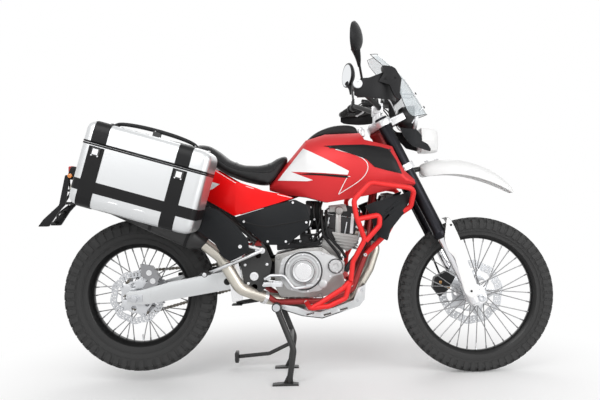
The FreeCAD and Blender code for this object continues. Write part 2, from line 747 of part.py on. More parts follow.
def make_headlight():
    """A round lamp in a rim, on a bracket from the upper clamp."""
    way = Vector(0.96, 0, -0.1).normalize()
    centre = grid(506, 0, 1150)
    lamp = bar_shape(34, 70, centre - way * 40, way, 20, 62)
    rim = bar_shape(66, 14, centre + way * 30, way, 20)
    carrier = side_pad("LampCarrier", [(410, 1124), (482, 1156), (476, 1170), (402, 1136)],
                       "88", "0 - 88")
    bulb = feature("Lamp", union_shape([lamp, rim]))
    node("headlight", cut("Headlight", fused("HeadlightUnion", bulb, carrier),
                          NODES["triple_clamps"], NODES["fork_outers"], NODES["handlebar"]))


def make_mask():
    """The white mask round the lamp and the dark beak below it."""
    stations = [(470, 1010, 0, mask_section(60, 70, 8)), (540, 1010, 0, mask_section(92, 86, 8)),
                (600, 1000, 0, mask_section(84, 80, 8)), (640, 985, 0, mask_section(46, 50, 6))]
    shell = lofted("MaskShell", stations)
    node("headlight_mask", cut("HeadlightMask", shell, NODES["headlight"]))


def mask_section(half, height, wall):
    """A trough section, open below."""
    return [(-half, 0), (-half * 0.9, height), (half * 0.9, height), (half, 0), (half - wall, 0),
            (half * 0.9 - wall, height - wall), (-half * 0.9 + wall, height - wall),
            (-half + wall, 0)]


def make_screen():
    """A clear curved screen."""
    rows = [((383, 1444), 70, 30), ((443, 1388), 110, 34), ((491, 1341), 128, 40),
            ((552, 1245), 134, 52), ((587, 1189), 118, 58), ((606, 1160), 92, 50)]
    wires = []
    for (x, z), half, sweep in rows:
        outer = []
        inner = []
        for share in (-1, -0.6, -0.2, 0.2, 0.6, 1):
            back = sweep * share * share * 1.6
            outer.append(grid(x - back, half * share, z - back * 0.25))
            deep = back + S.screen_wall * 1.3
            inner.append(grid(x - deep, half * share * 0.97, z - deep * 0.25))
        wires.append(outer + list(reversed(inner)))
    node("screen", feature("Screen", solid_of(wires)))


def make_instruments():
    """The instrument housing behind the screen."""
    outline = [(398, 1212), (408, 1268), (452, 1300), (478, 1262), (470, 1220), (440, 1205)]
    housing = side_pad("InstrumentHousing", outline, "78", "0 - 78")
    foot = box("InstrumentFoot", (428, -16, 1145), (450, 16, 1225))
    stays = [rod(f"ScreenStay{side}", grid(462, side * 50, 1250), grid(526, side * 50, 1250), "5")
             for side in (-1, 1)]
    node("instruments", cut("Instruments", fused("InstrumentUnion", housing, foot, *stays),
                            NODES["headlight"], NODES["screen"]))


def make_front_caliper():
    """The front caliper on the left lug, with a slot for the disc."""
    outline = [(-34, 98), (-90, 60), (-140, 50), (-150, 100), (-120, 138), (-60, 140)]
    body = new_body("FrontCaliperBlock", FORK_FRAME)
    pad(body, outline_sketch(body, "XZ_Plane", outline, offset="0 - 96"), "42")
    slot = DOC.addObject("Part::Cylinder", "FrontCaliperSlot")
    slot.Radius = number("front_disc_radius + 6")
    slot.Height = number("disc_wall + 10")
    bind(slot, Radius="front_disc_radius + 6", Height="disc_wall + 10")
    slot.Placement = Placement(FRONT_AXLE + Vector(0, S.front_disc_y + S.disc_wall / 2 + 5, 0),
                               Rotation(Vector(1, 0, 0), 90))
    node("front_caliper", cut("FrontCaliper", body, slot, NODES["fork_lowers"]))


def make_brake_hose():
    """The front brake hose down the left leg."""
    points = [fork(-58, 84, 640.7), fork(-62, 80, 520), fork(-63, 78, 400), fork(-62, 80, 300),
              fork(-80, 90, 220), fork(-88, 82, 142)]
    node("front_brake_hose", feature("FrontBrakeHose", tube_shape(points, 4.5, 60)))


make_clamps()
make_fork_outers()
make_fork_lowers()
make_fork_guards()
make_front_fender()
make_handlebar()
make_grips()
make_levers()
make_hand_guards()
make_mirrors()
make_headlight()
make_mask()
make_screen()
make_instruments()
make_front_caliper()
make_brake_hose()


# Frame and engine

PANEL_SEAT_GAP = 0.3


def make_frame():
    """Steering head, backbone, down tubes, cradle and pivot plates."""
    low = S.lower_clamp_at + S.clamp_wall / 2 + S.head_tube_end_gap
    high = S.upper_clamp_at - S.clamp_wall / 2 - S.head_tube_end_gap
    head = bar_shape(S.head_tube_radius, high - low, fork(STEM_X, 0, low), UPWARD, 16)
    hole = Part.makeCylinder(S.stem_radius + S.stem_gap, high - low + 20,
                             fork(STEM_X, 0, low - 10), UPWARD)
    head_back = fork(STEM_X - 6, 0, (low + high) / 2 + 20)
    backbone = tube_shape([head_back, grid(210, 0, 905), grid(-80, 0, 800), grid(-170, 0, 640)],
                          S.backbone_radius, 70)
    shapes = [head, backbone]
    for side in (-1, 1):
        wide = side * S.cradle_half
        shapes.append(tube_shape(
            [fork(STEM_X - 14, side * 10, low + 30), grid(352, side * 46, 850),
             grid(306, side * 96, 575), grid(232, wide, 398), grid(120, wide, 352),
             grid(-98, wide, 352), grid(-196, wide, 420)], S.down_tube_radius, 40))
        shapes.append(tube_shape([grid(-170, 0, 650), grid(-170, side * 150, 600)], 16))
    plate = [(-249, 533), (-190, 616), (-146, 612), (-112, 530), (-132, 431), (-158, 402),
             (-231, 417)]
    corners = [grid(x, -S.pivot_plate_inner, z) for x, z in plate]
    plate_shape = Part.Face(Part.makePolygon(corners + [corners[0]])).extrude(
        Vector(0, -S.pivot_plate_wall, 0))
    shapes += [plate_shape, mirror_shape(plate_shape)]
    panel_bar = bar_shape(7, 2 * (S.panel_y - PANEL_SEAT_GAP),
                          grid(-140, PANEL_SEAT_GAP - S.panel_y, 700), sides=8)
    shapes.append(panel_bar)
    joint = bar_shape(13, S.pivot_plate_inner + S.pivot_plate_wall - S.cradle_half,
                      grid(-190, S.cradle_half, 424), sides=8)
    shapes += [joint, mirror_shape(joint)]
    pin = bar_shape(S.pivot_radius, 2 * S.pivot_plate_inner,
                    grid(S.pivot_x, -S.pivot_plate_inner, S.pivot_z))
    shapes.append(pin)
    node("frame", feature("Frame", union_shape(shapes).cut(hole)))


def make_subframe():
    """The tubes that carry the seat, the luggage and the tail."""
    shapes = []
    for side in (-1, 1):
        y = side * 92
        shapes.append(tube_shape([grid(-110, side * 26, 800), grid(-160, y, 826),
                                  grid(-420, y, 868), grid(-760, y, 940)],
                                 S.subframe_radius, 40))
        shapes.append(tube_shape([grid(-176, side * 128, 618), grid(-250, y, 680),
                                  grid(-500, y, 884)], S.subframe_radius, 60))
    shapes.append(tube_shape([grid(-420, -92, 868), grid(-420, 92, 868)], S.subframe_radius))
    shapes.append(tube_shape([grid(-756, -92, 939), grid(-756, 92, 939)], S.subframe_radius))
    item = feature("SubframeTubes", union_shape(shapes))
    node("subframe", cut("Subframe", item, NODES["frame"]))


def make_engine():
    """Crankcase, leaning cylinder and the two side covers."""
    case = [(-100, 556), (10, 580), (107, 585), (182, 519), (208, 400), (91, 366), (-80, 372),
            (-104, 420)]
    crankcase = side_pad("Crankcase", case, "crankcase_half", "0 - crankcase_half")
    room = side_round("SprocketRoom", ("front_sprocket_x", "front_sprocket_z"),
                      "front_sprocket_radius + chain_height / 2 + chain_clearance",
                      "crankcase_half + 20", "chain_y - chain_width / 2 - chain_clearance")
    node("engine_crankcase", cut("EngineCrankcase", crankcase, room, NODES["frame"]))
    block = [(107.2, 585.3), (134, 754), (213, 768), (284, 752), (246, 560), (182, 519.5)]
    node("engine_cylinder", side_pad("EngineCylinder", block, "cylinder_half", "0 - cylinder_half"))
    inner = "0 - crankcase_half - cover_gap"
    right = [(-70, 540), (10, 572), (90, 572), (150, 548), (200, 520), (196, 470), (150, 462),
             (96, 400), (20, 392), (-50, 410), (-86, 470)]
    cover = side_pad("RightCover", right, inner, "0 - 146")
    dome = side_round("ClutchDome", ("clutch_x", "clutch_z"), "clutch_radius", "0 - 140",
                      "0 - 158")
    disc = side_round("ClutchDisc", ("clutch_x", "clutch_z"), "clutch_disc_radius", "0 - 150",
                      "0 - cover_outer")
    cap = side_round("FilterCap", ("filter_x", "filter_z"), "filter_radius", "0 - 140",
                     "0 - 156")
    right_cover = fused("RightCoverUnion", cover, dome, disc, cap)
    left = [(-60, 556), (60, 560), (130, 520), (140, 440), (80, 396), (-40, 396), (-50, 430)]
    plate = side_pad("LeftCover", left, "148", "crankcase_half + cover_gap")
    drum = side_round("AlternatorDrum", (40, 480), 66, "160", "140")
    left_cover = fused("LeftCoverUnion", plate, drum)
    node("engine_covers", gathered("EngineCovers", cut("RightCoverCut", right_cover, NODES["frame"]),
                                   cut("LeftCoverCut", left_cover, NODES["frame"])))


def make_radiator():
    """The radiator before the down tubes, with its hose to the pump."""
    body = side_pad("RadiatorCore", [(326, 606), (358, 598), (420, 798), (388, 808)], "138", "0 - 138")
    hose = feature("CoolantHose", tube_shape(
        [grid(345, -112, 630), grid(296, -124, 606), grid(250, -126, 540), grid(216, -128, 500),
         grid(205, -134, 480)], 12, 22))
    node("radiator", cut("Radiator", fused("RadiatorUnion", body, hose), NODES["frame"],
                         NODES["engine_covers"], NODES["engine_crankcase"]))


def make_shrouds():
    """Side fins that lead air to the radiator."""
    outline = [(448, 806), (502, 824), (457, 727), (397, 655), (383, 609), (341, 631), (310, 729),
               (290, 760), (330, 776)]
    fin = side_pad("ShroudFin", outline, "0 - 168", "0 - 182")
    peg = side_pad("ShroudPeg", [(356, 690), (376, 690), (386, 720), (366, 720)], "0 - 138.3",
                   "0 - 169")
    node("radiator_shrouds", both_sides("RadiatorShrouds", fused("Shroud", fin, peg)))


def tank_section(half, top, bottom, shoulder):
    """A faceted tank section: half width, top, bottom and shoulder width."""
    return [(-half * 0.86, bottom), (-half, bottom + (top - bottom) * 0.42),
            (-half * 0.92, top - (top - bottom) * 0.22), (-shoulder, top), (shoulder, top),
            (half * 0.92, top - (top - bottom) * 0.22), (half, bottom + (top - bottom) * 0.42),
            (half * 0.86, bottom)]


def make_tank():
    """The faceted tank with a tunnel for the frame and a notch for the fork."""
    wide = S.tank_half
    stations = [(-118, 0, 0, tank_section(72, 868, 838, 40)),
                (-40, 0, 0, tank_section(118, 955, 815, 62)),
                (47, 0, 0, tank_section(158, 1053, 803, 84)),
                (132, 0, 0, tank_section(wide, 1076, 778, 96)),
                (297, 0, 0, tank_section(wide, 1078, 803, 104)),
                (442, 0, 0, tank_section(wide - 4, 1026, 832, 128)),
                (509, 0, 0, tank_section(wide - 12, 898, 862, 150))]
    solid = lofted("TankLoft", stations)
    grown = lofted("TankGrown", [(x, z, tilt, [(y + math.copysign(S.trim_wall, y), up)
                                               for y, up in outline])
                                 for x, z, tilt, outline in stations])
    tunnel = box("TankTunnel", (-200, -52, 700), (560, 52, 930))
    roof = side_pad("TankTunnelRoof", [(180, 925), (600, 925), (600, 1200), (380, 1005), (200, 955)],
                    "52", "0 - 52")
    notch = box("ForkNotch", (STEM_X - 78, "0 - fork_sweep_radius", 200),
                (STEM_X + 500, "fork_sweep_radius", 1200), FORK_FRAME)
    engine_room = side_pad("HeadRoom", [(90, 700), (112, 784), (300, 784), (312, 700)], "86",
                           "0 - 86")
    node("fuel_tank", cut("FuelTank", solid, tunnel, roof, notch, engine_room, NODES["frame"]))
    return grown


def make_tank_panels(grown):
    """Thin trim panels on the tank's sides and the pad on its top."""
    top = [(46, 1062), (108, 1102), (159, 1123), (222, 1129), (268, 1121), (272, 1064), (130, 1060)]
    pad_body = side_pad("TankPad", top, "62", "0 - 62")
    inset = [(124, 1005), (291, 1015), (400, 1000), (450, 893), (336, 924), (302, 958), (183, 1000)]
    prism = side_pad("TankInset", inset, "tank_half + 20", "0 - tank_half - 20")
    core = side_pad("TankInsetCore", [(90, 880), (480, 880), (480, 1060), (90, 1060)], "148", "0 - 148")
    node("tank_pad", cut("TankPadSeated", pad_body, NODES["fuel_tank"]))
    node("tank_panels", cut("TankPanels", common("TankTrimSkin", prism, grown), core,
                            NODES["fuel_tank"]))


def make_seat():
    """The stepped two-up seat."""
    stations = [(-463, 0, 0, seat_section(96, 1058, 1020)), (-379, 0, 0, seat_section(126, 1042, 974)),
                (-298, 0, 0, seat_section(140, 979, 914)), (-225, 0, 0, seat_section(142, 950, 884)),
                (-160, 0, 0, seat_section(132, 947, 866)), (-110, 0, 0, seat_section(112, 962, 860)),
                (-66, 0, 0, seat_section(84, 998, 930)), (-34, 0, 0, seat_section(70, 1001, 972))]
    solid = lofted("SeatLoft", stations)
    node("seat", cut("Seat", solid, NODES["fuel_tank"], NODES["subframe"], NODES["frame"]))


def seat_section(half, top, bottom):
    """A seat section with rounded shoulders."""
    return [(-half, bottom), (-half, top - 28), (-half * 0.8, top - 6), (0, top),
            (half * 0.8, top - 6), (half, top - 28), (half, bottom)]


def make_side_panels():
    """The red panels under the seat and the dark ones below them."""
    upper = [(-394, 889), (-363, 945), (-262, 882), (-190, 856), (-147, 838), (-60, 820), (-10, 802),
             (-269, 731), (-405, 812)]
    lower = [(-8, 796), (40, 772), (56, 713), (50, 672), (-48, 600), (-138, 604), (-238, 694),
             (-266, 727)]
    outer = "0 - panel_y - panel_wall"
    strip = plan_pad("UpperPanelPlan", [
        (20, "0 - panel_y"), (-250, "0 - panel_y"), (-420, "panel_tuck - panel_y"),
        (-420, f"{outer} + panel_tuck"), (-250, outer), (20, outer)], "700", "1000")
    prism = side_pad("UpperPanelSide", upper, "0 - 90", "0 - panel_y - 20")
    skin = common("UpperPanelSkin", prism, strip)
    peg = side_round("UpperPanelPeg", (-300, 848), 8, "0 - 90", "0 - panel_y + 10")
    panel = cut("UpperPanel", fused("UpperPanelUnion", skin, peg), NODES["subframe"])
    node("side_panels", both_sides("SidePanels", panel))
    node("lower_panels", both_sides("LowerPanels", side_pad("LowerPanel", lower, "0 - panel_y",
                                                            outer)))


def make_skid_plate():
    """The bent plate under the engine."""
    belly = [(-77, 319), (11, 289), (99, 276), (261, 326), (284, 354), (291, 420), (256, 404),
             (236, 352), (89, 304), (39, 310), (-10, 330), (-77, 341)]
    tray = side_pad("SkidTray", belly, "skid_half", "0 - skid_half")
    hollow = side_pad("SkidHollow", [(-90, 324), (13, 294), (98, 281), (257, 330), (279, 355),
                                     (286, 440), (200, 440), (-90, 400)],
                      "skid_half - skid_wall", "0 - skid_half + skid_wall")
    node("skid_plate", cut("SkidPlate", tray, hollow, NODES["frame"]))


def make_crash_bars():
    """Red guard bars round the tank's front and the engine's sides."""
    shapes = []
    y = -S.crash_bar_y
    upper = [grid(214, -S.crash_loop_y, 444), grid(232, -S.crash_loop_y - 4, 525),
             grid(276, -S.crash_loop_y - 14, 610), grid(240, y, 700), grid(244, y, 790),
             grid(310, y, 858), grid(494, y + 12, 824), grid(440, -200, 700),
             grid(372, -200, 600), grid(292, -112, 548)]
    shapes.append(tube_shape(upper, S.crash_bar_radius, 34))
    loop = [grid(228, -118, 420), grid(214, -S.crash_loop_y, 450), grid(182, -S.crash_loop_y - 6, 380),
            grid(66, -S.crash_loop_y, 336), grid(30, -128, 352)]
    shapes.append(tube_shape(loop, S.crash_bar_radius, 22))
    one = union_shape(shapes)
    both = feature("CrashBarTubes", Part.makeCompound([one, mirror_shape(one)]))
    node("crash_bars", cut("CrashBars", both, NODES["frame"], NODES["skid_plate"]))


make_frame()
make_subframe()
make_engine()
make_radiator()
make_shrouds()
make_tank_panels(make_tank())
make_seat()
make_side_panels()
make_skid_plate()
make_crash_bars()


# Rear end

def make_swingarm():
    """Two box arms, the cross tube and the rear axle."""
    axle = REAR_AXLE - GRID.Base
    arm = [(-172, 488), (-208, 498), (-300, 492), (-560, 452), (axle.x + 30, axle.z + 34),
           (axle.x - 34, axle.z + 30), (axle.x - 34, axle.z - 24), (axle.x + 50, axle.z - 26),
           (-300, 414), (-205, 444), (-172, 452)]
    arms = side_pad("SwingarmArm", arm, "0 - arm_inner", "0 - arm_outer")
    cross = side_round("SwingarmCross", (-232, 462), 22, "arm_outer - 10", "0 - arm_outer + 10")
    tube = side_round("SwingarmPivot", ("pivot_x", "pivot_z"), 20, "pivot_plate_inner - 1",
                      "0 - pivot_plate_inner + 1")
    axle_rod = rod("RearAxle", REAR_AXLE - Vector(0, S.arm_outer + 14, 0),
                   REAR_AXLE + Vector(0, S.arm_outer + 14, 0), "rear_axle_radius")
    spacers = [rod(f"RearSpacer{side}", REAR_AXLE + Vector(0, side * (S.rear_hub_half + 1), 0),
                   REAR_AXLE + Vector(0, side * S.arm_inner, 0), "rear_axle_radius + 6")
               for side in (-1, 1)]
    hole = side_round("SwingarmBore", ("pivot_x", "pivot_z"), "pivot_radius + pivot_gap", "200",
                      "0 - 200")
    union = fused("SwingarmUnion", arms, mirrored("SwingarmArmLeft", arms), cross, tube, axle_rod,
                  *spacers)
    node("swingarm", cut("Swingarm", union, hole))


def make_shock():
    """The shock absorber between the frame and the swingarm's cross tube."""
    low, high = grid(-240, 0, 488), grid(-190, 0, 650)
    body = rod("ShockSpring", low + (high - low) * 0.18, low + (high - low) * 0.82, "34")
    shaft = rod("ShockShaft", low, high, "14")
    node("shock", cut("Shock", fused("ShockUnion", body, shaft), NODES["frame"],
                      NODES["swingarm"]))


def make_chain():
    """The chain round both sprockets as one loop."""
    axle = REAR_AXLE - GRID.Base
    front = Vector(S.front_sprocket_x, 0, S.front_sprocket_z)
    rear = Vector(axle.x, 0, axle.z)
    half = S.chain_height / 2
    shapes = []
    for grow in (half, -half):
        big, small = S.rear_sprocket_radius + grow, S.front_sprocket_radius + grow
        span = (front - rear).Length
        lean = math.asin((big - small) / span)
        way = (front - rear).normalize()
        up = Vector(-way.z, 0, way.x)
        points = []
        for sign, centre, radius in ((1, rear, big), (1, front, small), (-1, front, small),
                                     (-1, rear, big)):
            normal = way * math.sin(lean) + up * (sign * math.cos(lean))
            points.append(centre + normal * radius)
        edges = [Part.LineSegment(points[0], points[1]).toShape(),
                 Part.Arc(points[1], front + way * small, points[2]).toShape(),
                 Part.LineSegment(points[2], points[3]).toShape(),
                 Part.Arc(points[3], rear - way * big, points[0]).toShape()]
        face = Part.Face(Part.Wire(edges))
        shapes.append(face.extrude(Vector(0, S.chain_width, 0)))
    loop = shapes[0].cut(shapes[1])
    loop.Placement = Placement(GRID.Base + Vector(0, S.chain_y - S.chain_width / 2, 0), Rotation())
    node("chain", feature("Chain", loop))


def make_sprockets():
    """The rear sprocket on the hub and the small one on the gearbox shaft."""
    rear = turned("RearSprocket", [("rear_hub_half + 0.3", 36), ("chain_y - 4", 36),
                                   ("chain_y - 4", "rear_sprocket_radius - chain_height / 2 - 1"),
                                   ("chain_y + 4", "rear_sprocket_radius - chain_height / 2 - 1"),
                                   ("chain_y + 4", 30), ("rear_hub_half + 0.3", 30)],
                  wheel_placement(REAR_AXLE), 24)
    node("rear_sprocket", rear)


def make_sprocket_cover():
    """The cover over the small sprocket on the left."""
    outline = [(-190, 520), (-160, 536), (-104.5, 540), (-104.5, 420), (-150, 424), (-186, 446)]
    cover = side_pad("SprocketCoverPlate", outline, "130", "chain_y + chain_width / 2 + 5")
    small = side_round("SmallSprocket", ("front_sprocket_x", "front_sprocket_z"),
                       "front_sprocket_radius - chain_height / 2 - 1", "chain_y + chain_width / 2 + 6",
                       "chain_y - chain_width / 2 - chain_clearance")
    room = side_round("PivotRoom", ("pivot_x", "pivot_z"), "22", "140", "60")
    node("sprocket_cover", cut("SprocketCover", fused("SprocketCoverUnion", cover, small), room,
                               NODES["engine_crankcase"], NODES["frame"], NODES["swingarm"],
                               NODES["engine_covers"]))


def make_rear_caliper():
    """The rear caliper over the disc on its bracket."""
    outline = [(-625, 432), (-606, 470), (-640, 520), (-690, 530), (-684, 478), (-650, 452)]
    block = side_pad("RearCaliperBlock", outline, "0 - 66", "0 - arm_inner + 0.3")
    carrier = side_pad("RearCaliperCarrier", [(-700, 372), (-660, 392), (-612, 446), (-640, 480),
                                              (-700, 404)], "0 - 97", "0 - arm_inner + 0.3")
    slot = DOC.addObject("Part::Cylinder", "RearCaliperSlot")
    slot.Radius = number("rear_disc_radius + 6")
    slot.Height = number("disc_wall + 10")
    bind(slot, Radius="rear_disc_radius + 6", Height="disc_wall + 10")
    slot.Placement = Placement(REAR_AXLE - Vector(0, S.rear_disc_y - S.disc_wall / 2 - 5, 0),
                               Rotation(Vector(1, 0, 0), 90))
    node("rear_caliper", cut("RearCaliper", fused("RearCaliperUnion", block, carrier), slot,
                             NODES["swingarm"]))


def make_exhaust():
    """Twin header pipes, the collector, the rising pipe and the silencer."""
    shapes = []
    for side in (-1, 1):
        shapes.append(tube_shape([grid(252, side * 34, 640), grid(318, side * 40, 636),
                                  grid(348, side * 46, 570), grid(316, side * 50, 480),
                                  grid(236, side * 54, 352), grid(120, -20 + side * 22, 322),
                                  grid(-60, -60 + side * 20, 352)], 19, 32))
    shapes.append(tube_shape([grid(-40, -60, 350), grid(-130, -100, 366), grid(-250, -167, 420),
                              grid(-330, -167, 560), grid(-430, -160, 640)], 26, 50))
    node("exhaust_pipes", cut("ExhaustPipes", feature("ExhaustTubes", union_shape(shapes)),
                              NODES["frame"], NODES["engine_cylinder"], NODES["engine_crankcase"],
                              NODES["radiator"], NODES["skid_plate"]))
    foot = grid(-440, -160, 640)
    way = (grid(-980, -160, 900) - grid(-430, -160, 640)).normalize()
    can = bar_shape(50, 540, foot, way, 20)
    cone = bar_shape(28, 56, foot - way * 56, way, 20, 50)
    tip = bar_shape(24, 40, foot + way * 530, way)
    node("silencer", cut("Silencer", feature("SilencerCan", union_shape([can, cone, tip])),
                         NODES["exhaust_pipes"], NODES["side_panels"]))


def make_heat_shield():
    """The dark angled shield outside the rising pipe."""
    outline = [(-409, 787), (-326, 759), (-262, 702), (-206, 633), (-202, 582), (-285, 541),
               (-320, 569), (-343, 617), (-425, 684), (-444, 711)]
    plate = side_pad("ShieldPlate", outline, "0 - 224", "0 - 230")
    posts = [side_round(f"ShieldPost{index}", centre, 8, "0 - 167", "0 - 225")
             for index, centre in enumerate(((-320, 580), (-411, 678)))]
    node("heat_shield", cut("HeatShield", fused("HeatShieldUnion", plate, *posts),
                            NODES["exhaust_pipes"], NODES["silencer"]))


def make_pegs():
    """Passenger peg brackets and the riders' pegs."""
    hanger = [(-330, 640), (-312, 640), (-160, 596), (-146, 580), (-376, 488), (-388, 500),
              (-190, 584), (-320, 628)]
    bracket = side_pad("PegHanger", hanger, "0 - 200", "0 - 210")
    peg = side_round("PassengerPeg", (-384, 496), 9, "0 - 200", "0 - 290")
    boss = side_round("HangerBoss", (-172, 584), 9, "0 - pivot_plate_inner - pivot_plate_wall",
                      "0 - 202")
    rear = both_sides("PassengerPegs", fused("PassengerPegUnion", bracket, peg, boss))
    node("passenger_pegs", rear)
    tread = box("RiderTread", (-112, "0 - 250", 434), (-66, "0 - 178", 452))
    arm = box("RiderArm", (-150, "0 - 184", 428), (-78, "0 - pivot_plate_inner - pivot_plate_wall",
                                                   446))
    node("rider_pegs", cut("RiderPegs", both_sides("RiderPegPair", fused("RiderPeg", tread, arm)),
                           NODES["frame"], NODES["engine_covers"]))


def make_foot_controls():
    """Brake pedal on the right and gear lever on the left."""
    pedal = tube_shape([grid(-146, -169, 458), grid(-118, -170, 474), grid(-62, -172, 472),
                        grid(-20, -176, 416), grid(56, -176, 424)], 7, 14)
    gear = tube_shape([grid(-36, 166, 440), grid(-10, 168, 438), grid(60, 178, 424),
                       grid(96, 196, 424), grid(98, 224, 426)], 7, 12)
    pedal_boss = bar_shape(9, 24, grid(-128, -174, 462), sides=8)
    gear_shaft = bar_shape(8, 24, grid(-30, 148, 440), sides=8)
    pair = feature("FootControlPair", Part.makeCompound([union_shape([pedal, pedal_boss]),
                                                         union_shape([gear, gear_shaft])]))
    node("foot_controls", cut("FootControls", pair, NODES["frame"], NODES["engine_covers"]))


def make_luggage_rack():
    """Side hoops for the cases and the carrier plate behind the seat."""
    shapes = []
    for side in (-1, 1):
        y = side * (S.pannier_inner - S.case_seat_gap - S.rack_tube_radius * 1.03)
        hoop = [grid(-450, side * 95, 874), grid(-450, y, 874), grid(-470, y, 745),
                grid(-800, y, 845), grid(-740, y, 936), grid(-740, side * 95, 936)]
        shapes.append(tube_shape(hoop, S.rack_tube_radius, 26))
    plate = Part.makeBox(300, 2 * S.rear_rack_half, S.rear_rack_wall,
                         grid(-770, -S.rear_rack_half, 1000))
    holes = []
    for along in (-0.5, 0.5):
        for across in (-0.5, 0.5):
            holes.append(Part.makeCylinder(
                S.rear_rack_hole_radius, 60,
                grid(-620 + along * S.rear_rack_hole_pitch_x, across * S.rear_rack_hole_pitch_y, 970)))
    shapes.append(plate)
    for x in (-700, -520):
        for side in (-1, 1):
            foot = grid(x, side * 92, 872 + (-420 - x) * 72 / 340)
            top = grid(x, side * 92, 1001)
            shapes.append(bar_shape(9, (top - foot).Length, foot, Vector(0, 0, 1), 8))
    solid = union_shape(shapes)
    for hole in holes:
        solid = solid.cut(hole)
    node("luggage_rack", cut("LuggageRack", feature("RackTubes", solid), NODES["subframe"],
                             NODES["silencer"]))


def pannier_frame(side):
    """The tilted frame of a case, at its rear lower inner corner."""
    return Placement(grid(S.pannier_rear_x, 0, S.pannier_rear_z),
                     Rotation(Vector(0, 1, 0), S.pannier_pitch))


def make_pannier(side):
    """One aluminium case: an open shell and its lid."""
    word = "left" if side > 0 else "right"
    name = word.title()
    frame = pannier_frame(side)
    low_y, high_y = (("pannier_inner", "pannier_outer") if side > 0
                     else ("0 - pannier_outer", "0 - pannier_inner"))
    seam = "pannier_height - lid_height"
    shell = box(f"CaseShell{name}", (0, low_y, 0), ("pannier_length", high_y, seam), frame)
    hollow = box(f"CaseHollow{name}", ("pannier_wall", f"{low_y} + pannier_wall", "pannier_wall"),
                 ("pannier_length - pannier_wall", f"{high_y} - pannier_wall", f"{seam} + 5"), frame)
    node(f"pannier_shell_{word}", cut(f"PannierShell{name}", shell, hollow))
    lid = box(f"CaseLid{name}", (0, low_y, f"{seam} + lid_gap"),
              ("pannier_length", high_y, "pannier_height"), frame)
    inside = box(f"LidHollow{name}", ("pannier_wall", f"{low_y} + pannier_wall", f"{seam} - 5"),
                 ("pannier_length - pannier_wall", f"{high_y} - pannier_wall",
                  "pannier_height - pannier_wall"), frame)
    middle = (S.pannier_inner + S.pannier_outer) / 2 * side
    handle = feature(f"Handle{name}", tube_shape(
        [frame.multVec(Vector(120, middle, S.pannier_height - 2)),
         frame.multVec(Vector(150, middle, S.pannier_height + 26)),
         frame.multVec(Vector(340, middle, S.pannier_height + 26)),
         frame.multVec(Vector(370, middle, S.pannier_height - 2))], 7, 18))
    node(f"pannier_lid_{word}", fused(f"PannierLid{name}", cut(f"LidShell{name}", lid, inside),
                                      handle))


def make_tail():
    """The rear fender, the plate bracket and the tail lamp."""
    fender = [(-470, 852), (-700, 905), (-960, 962), (-1024, 978), (-1040, 921), (-1010, 912),
              (-800, 878), (-640, 800), (-480, 790)]
    shell = side_pad("TailShell", fender, "70", "0 - 70")
    hollow = side_pad("TailHollow", [(-440, 780), (-440, 845), (-700, 892), (-900, 936), (-1000, 905),
                                     (-800, 868), (-640, 780)], "64", "0 - 64")
    plate = [(-1040, 925), (-1020, 925), (-1030, 800), (-1052, 767), (-1095, 705), (-1141.5, 706),
             (-1117, 737), (-1050, 799)]
    bracket = side_pad("PlateBracket", plate, "80", "0 - 80")
    hanger = box("TailHanger", (-620, -94, 874), (-584, 94, 902))
    node("tail", cut("Tail", fused("TailUnion", cut("TailTrough", shell, hollow), bracket, hanger),
                     NODES["subframe"], NODES["luggage_rack"]))


def make_centre_stand():
    """Two legs, a brace, the feet and the tread lever."""
    floor = -GRID.Base.z
    shapes = []
    pivot_x, pivot_z, y = S.stand_pivot_x, S.stand_pivot_z, S.stand_leg_y
    for side in (-1, 1):
        shapes.append(tube_shape([grid(pivot_x, side * y, pivot_z), grid(-28, side * y, 150),
                                  grid(-52, side * y, floor + 4)],
                                 S.stand_leg_radius, 60))
        foot = Part.makeBox(112, 40, 8, grid(-123, side * y - 20, floor))
        eye = bar_shape(20, 30, grid(pivot_x, side * y - 15, pivot_z))
        shapes += [foot, eye]
    shapes.append(bar_shape(11, 2 * y, grid(-40, -y, 178), sides=8))
    shapes.append(tube_shape([grid(-38, y, 120), grid(-150, y + 14, 66), grid(-300, y + 18, 54)], 9, 40))
    shapes.append(Part.makeBox(16, 45, 50, grid(-312, y - 2, 28)))
    solid = union_shape(shapes)
    for side in (-1, 1):
        solid = solid.cut(Part.makeCylinder(S.stand_shaft_radius + S.stand_gap, 60,
                                            grid(pivot_x, side * y - 30, pivot_z), Vector(0, 1, 0)))
    node("centre_stand", feature("CentreStand", solid))


def make_stand_mount():
    """The shaft under the frame on which the centre stand turns."""
    pivot_x, pivot_z = S.stand_pivot_x, S.stand_pivot_z
    inner, reach = S.cradle_half - 8, S.stand_leg_y + 20
    shaft = Part.makeCylinder(S.stand_shaft_radius, reach - inner, grid(pivot_x, inner, pivot_z),
                              Vector(0, 1, 0))
    head = bar_shape(16, 3, grid(pivot_x, S.stand_leg_y + 17, pivot_z))
    one = union_shape([shaft, head])
    side_pivot = grid(S.side_stand_x, S.side_stand_y, S.side_stand_z)
    bolt = Part.makeCylinder(S.side_bolt_radius, 57, side_pivot - Vector(0, 38, 0), Vector(0, 1, 0))
    bolt_head = Part.makeCylinder(S.side_bolt_radius + 4, 4, side_pivot + Vector(0, 17, 0),
                                  Vector(0, 1, 0))
    pair = feature("StandShaftPair", Part.makeCompound([one, mirror_shape(one),
                                                        union_shape([bolt, bolt_head])]))
    node("stand_shaft", cut("StandShaft", pair, NODES["frame"], NODES["engine_crankcase"],
                            NODES["skid_plate"]))


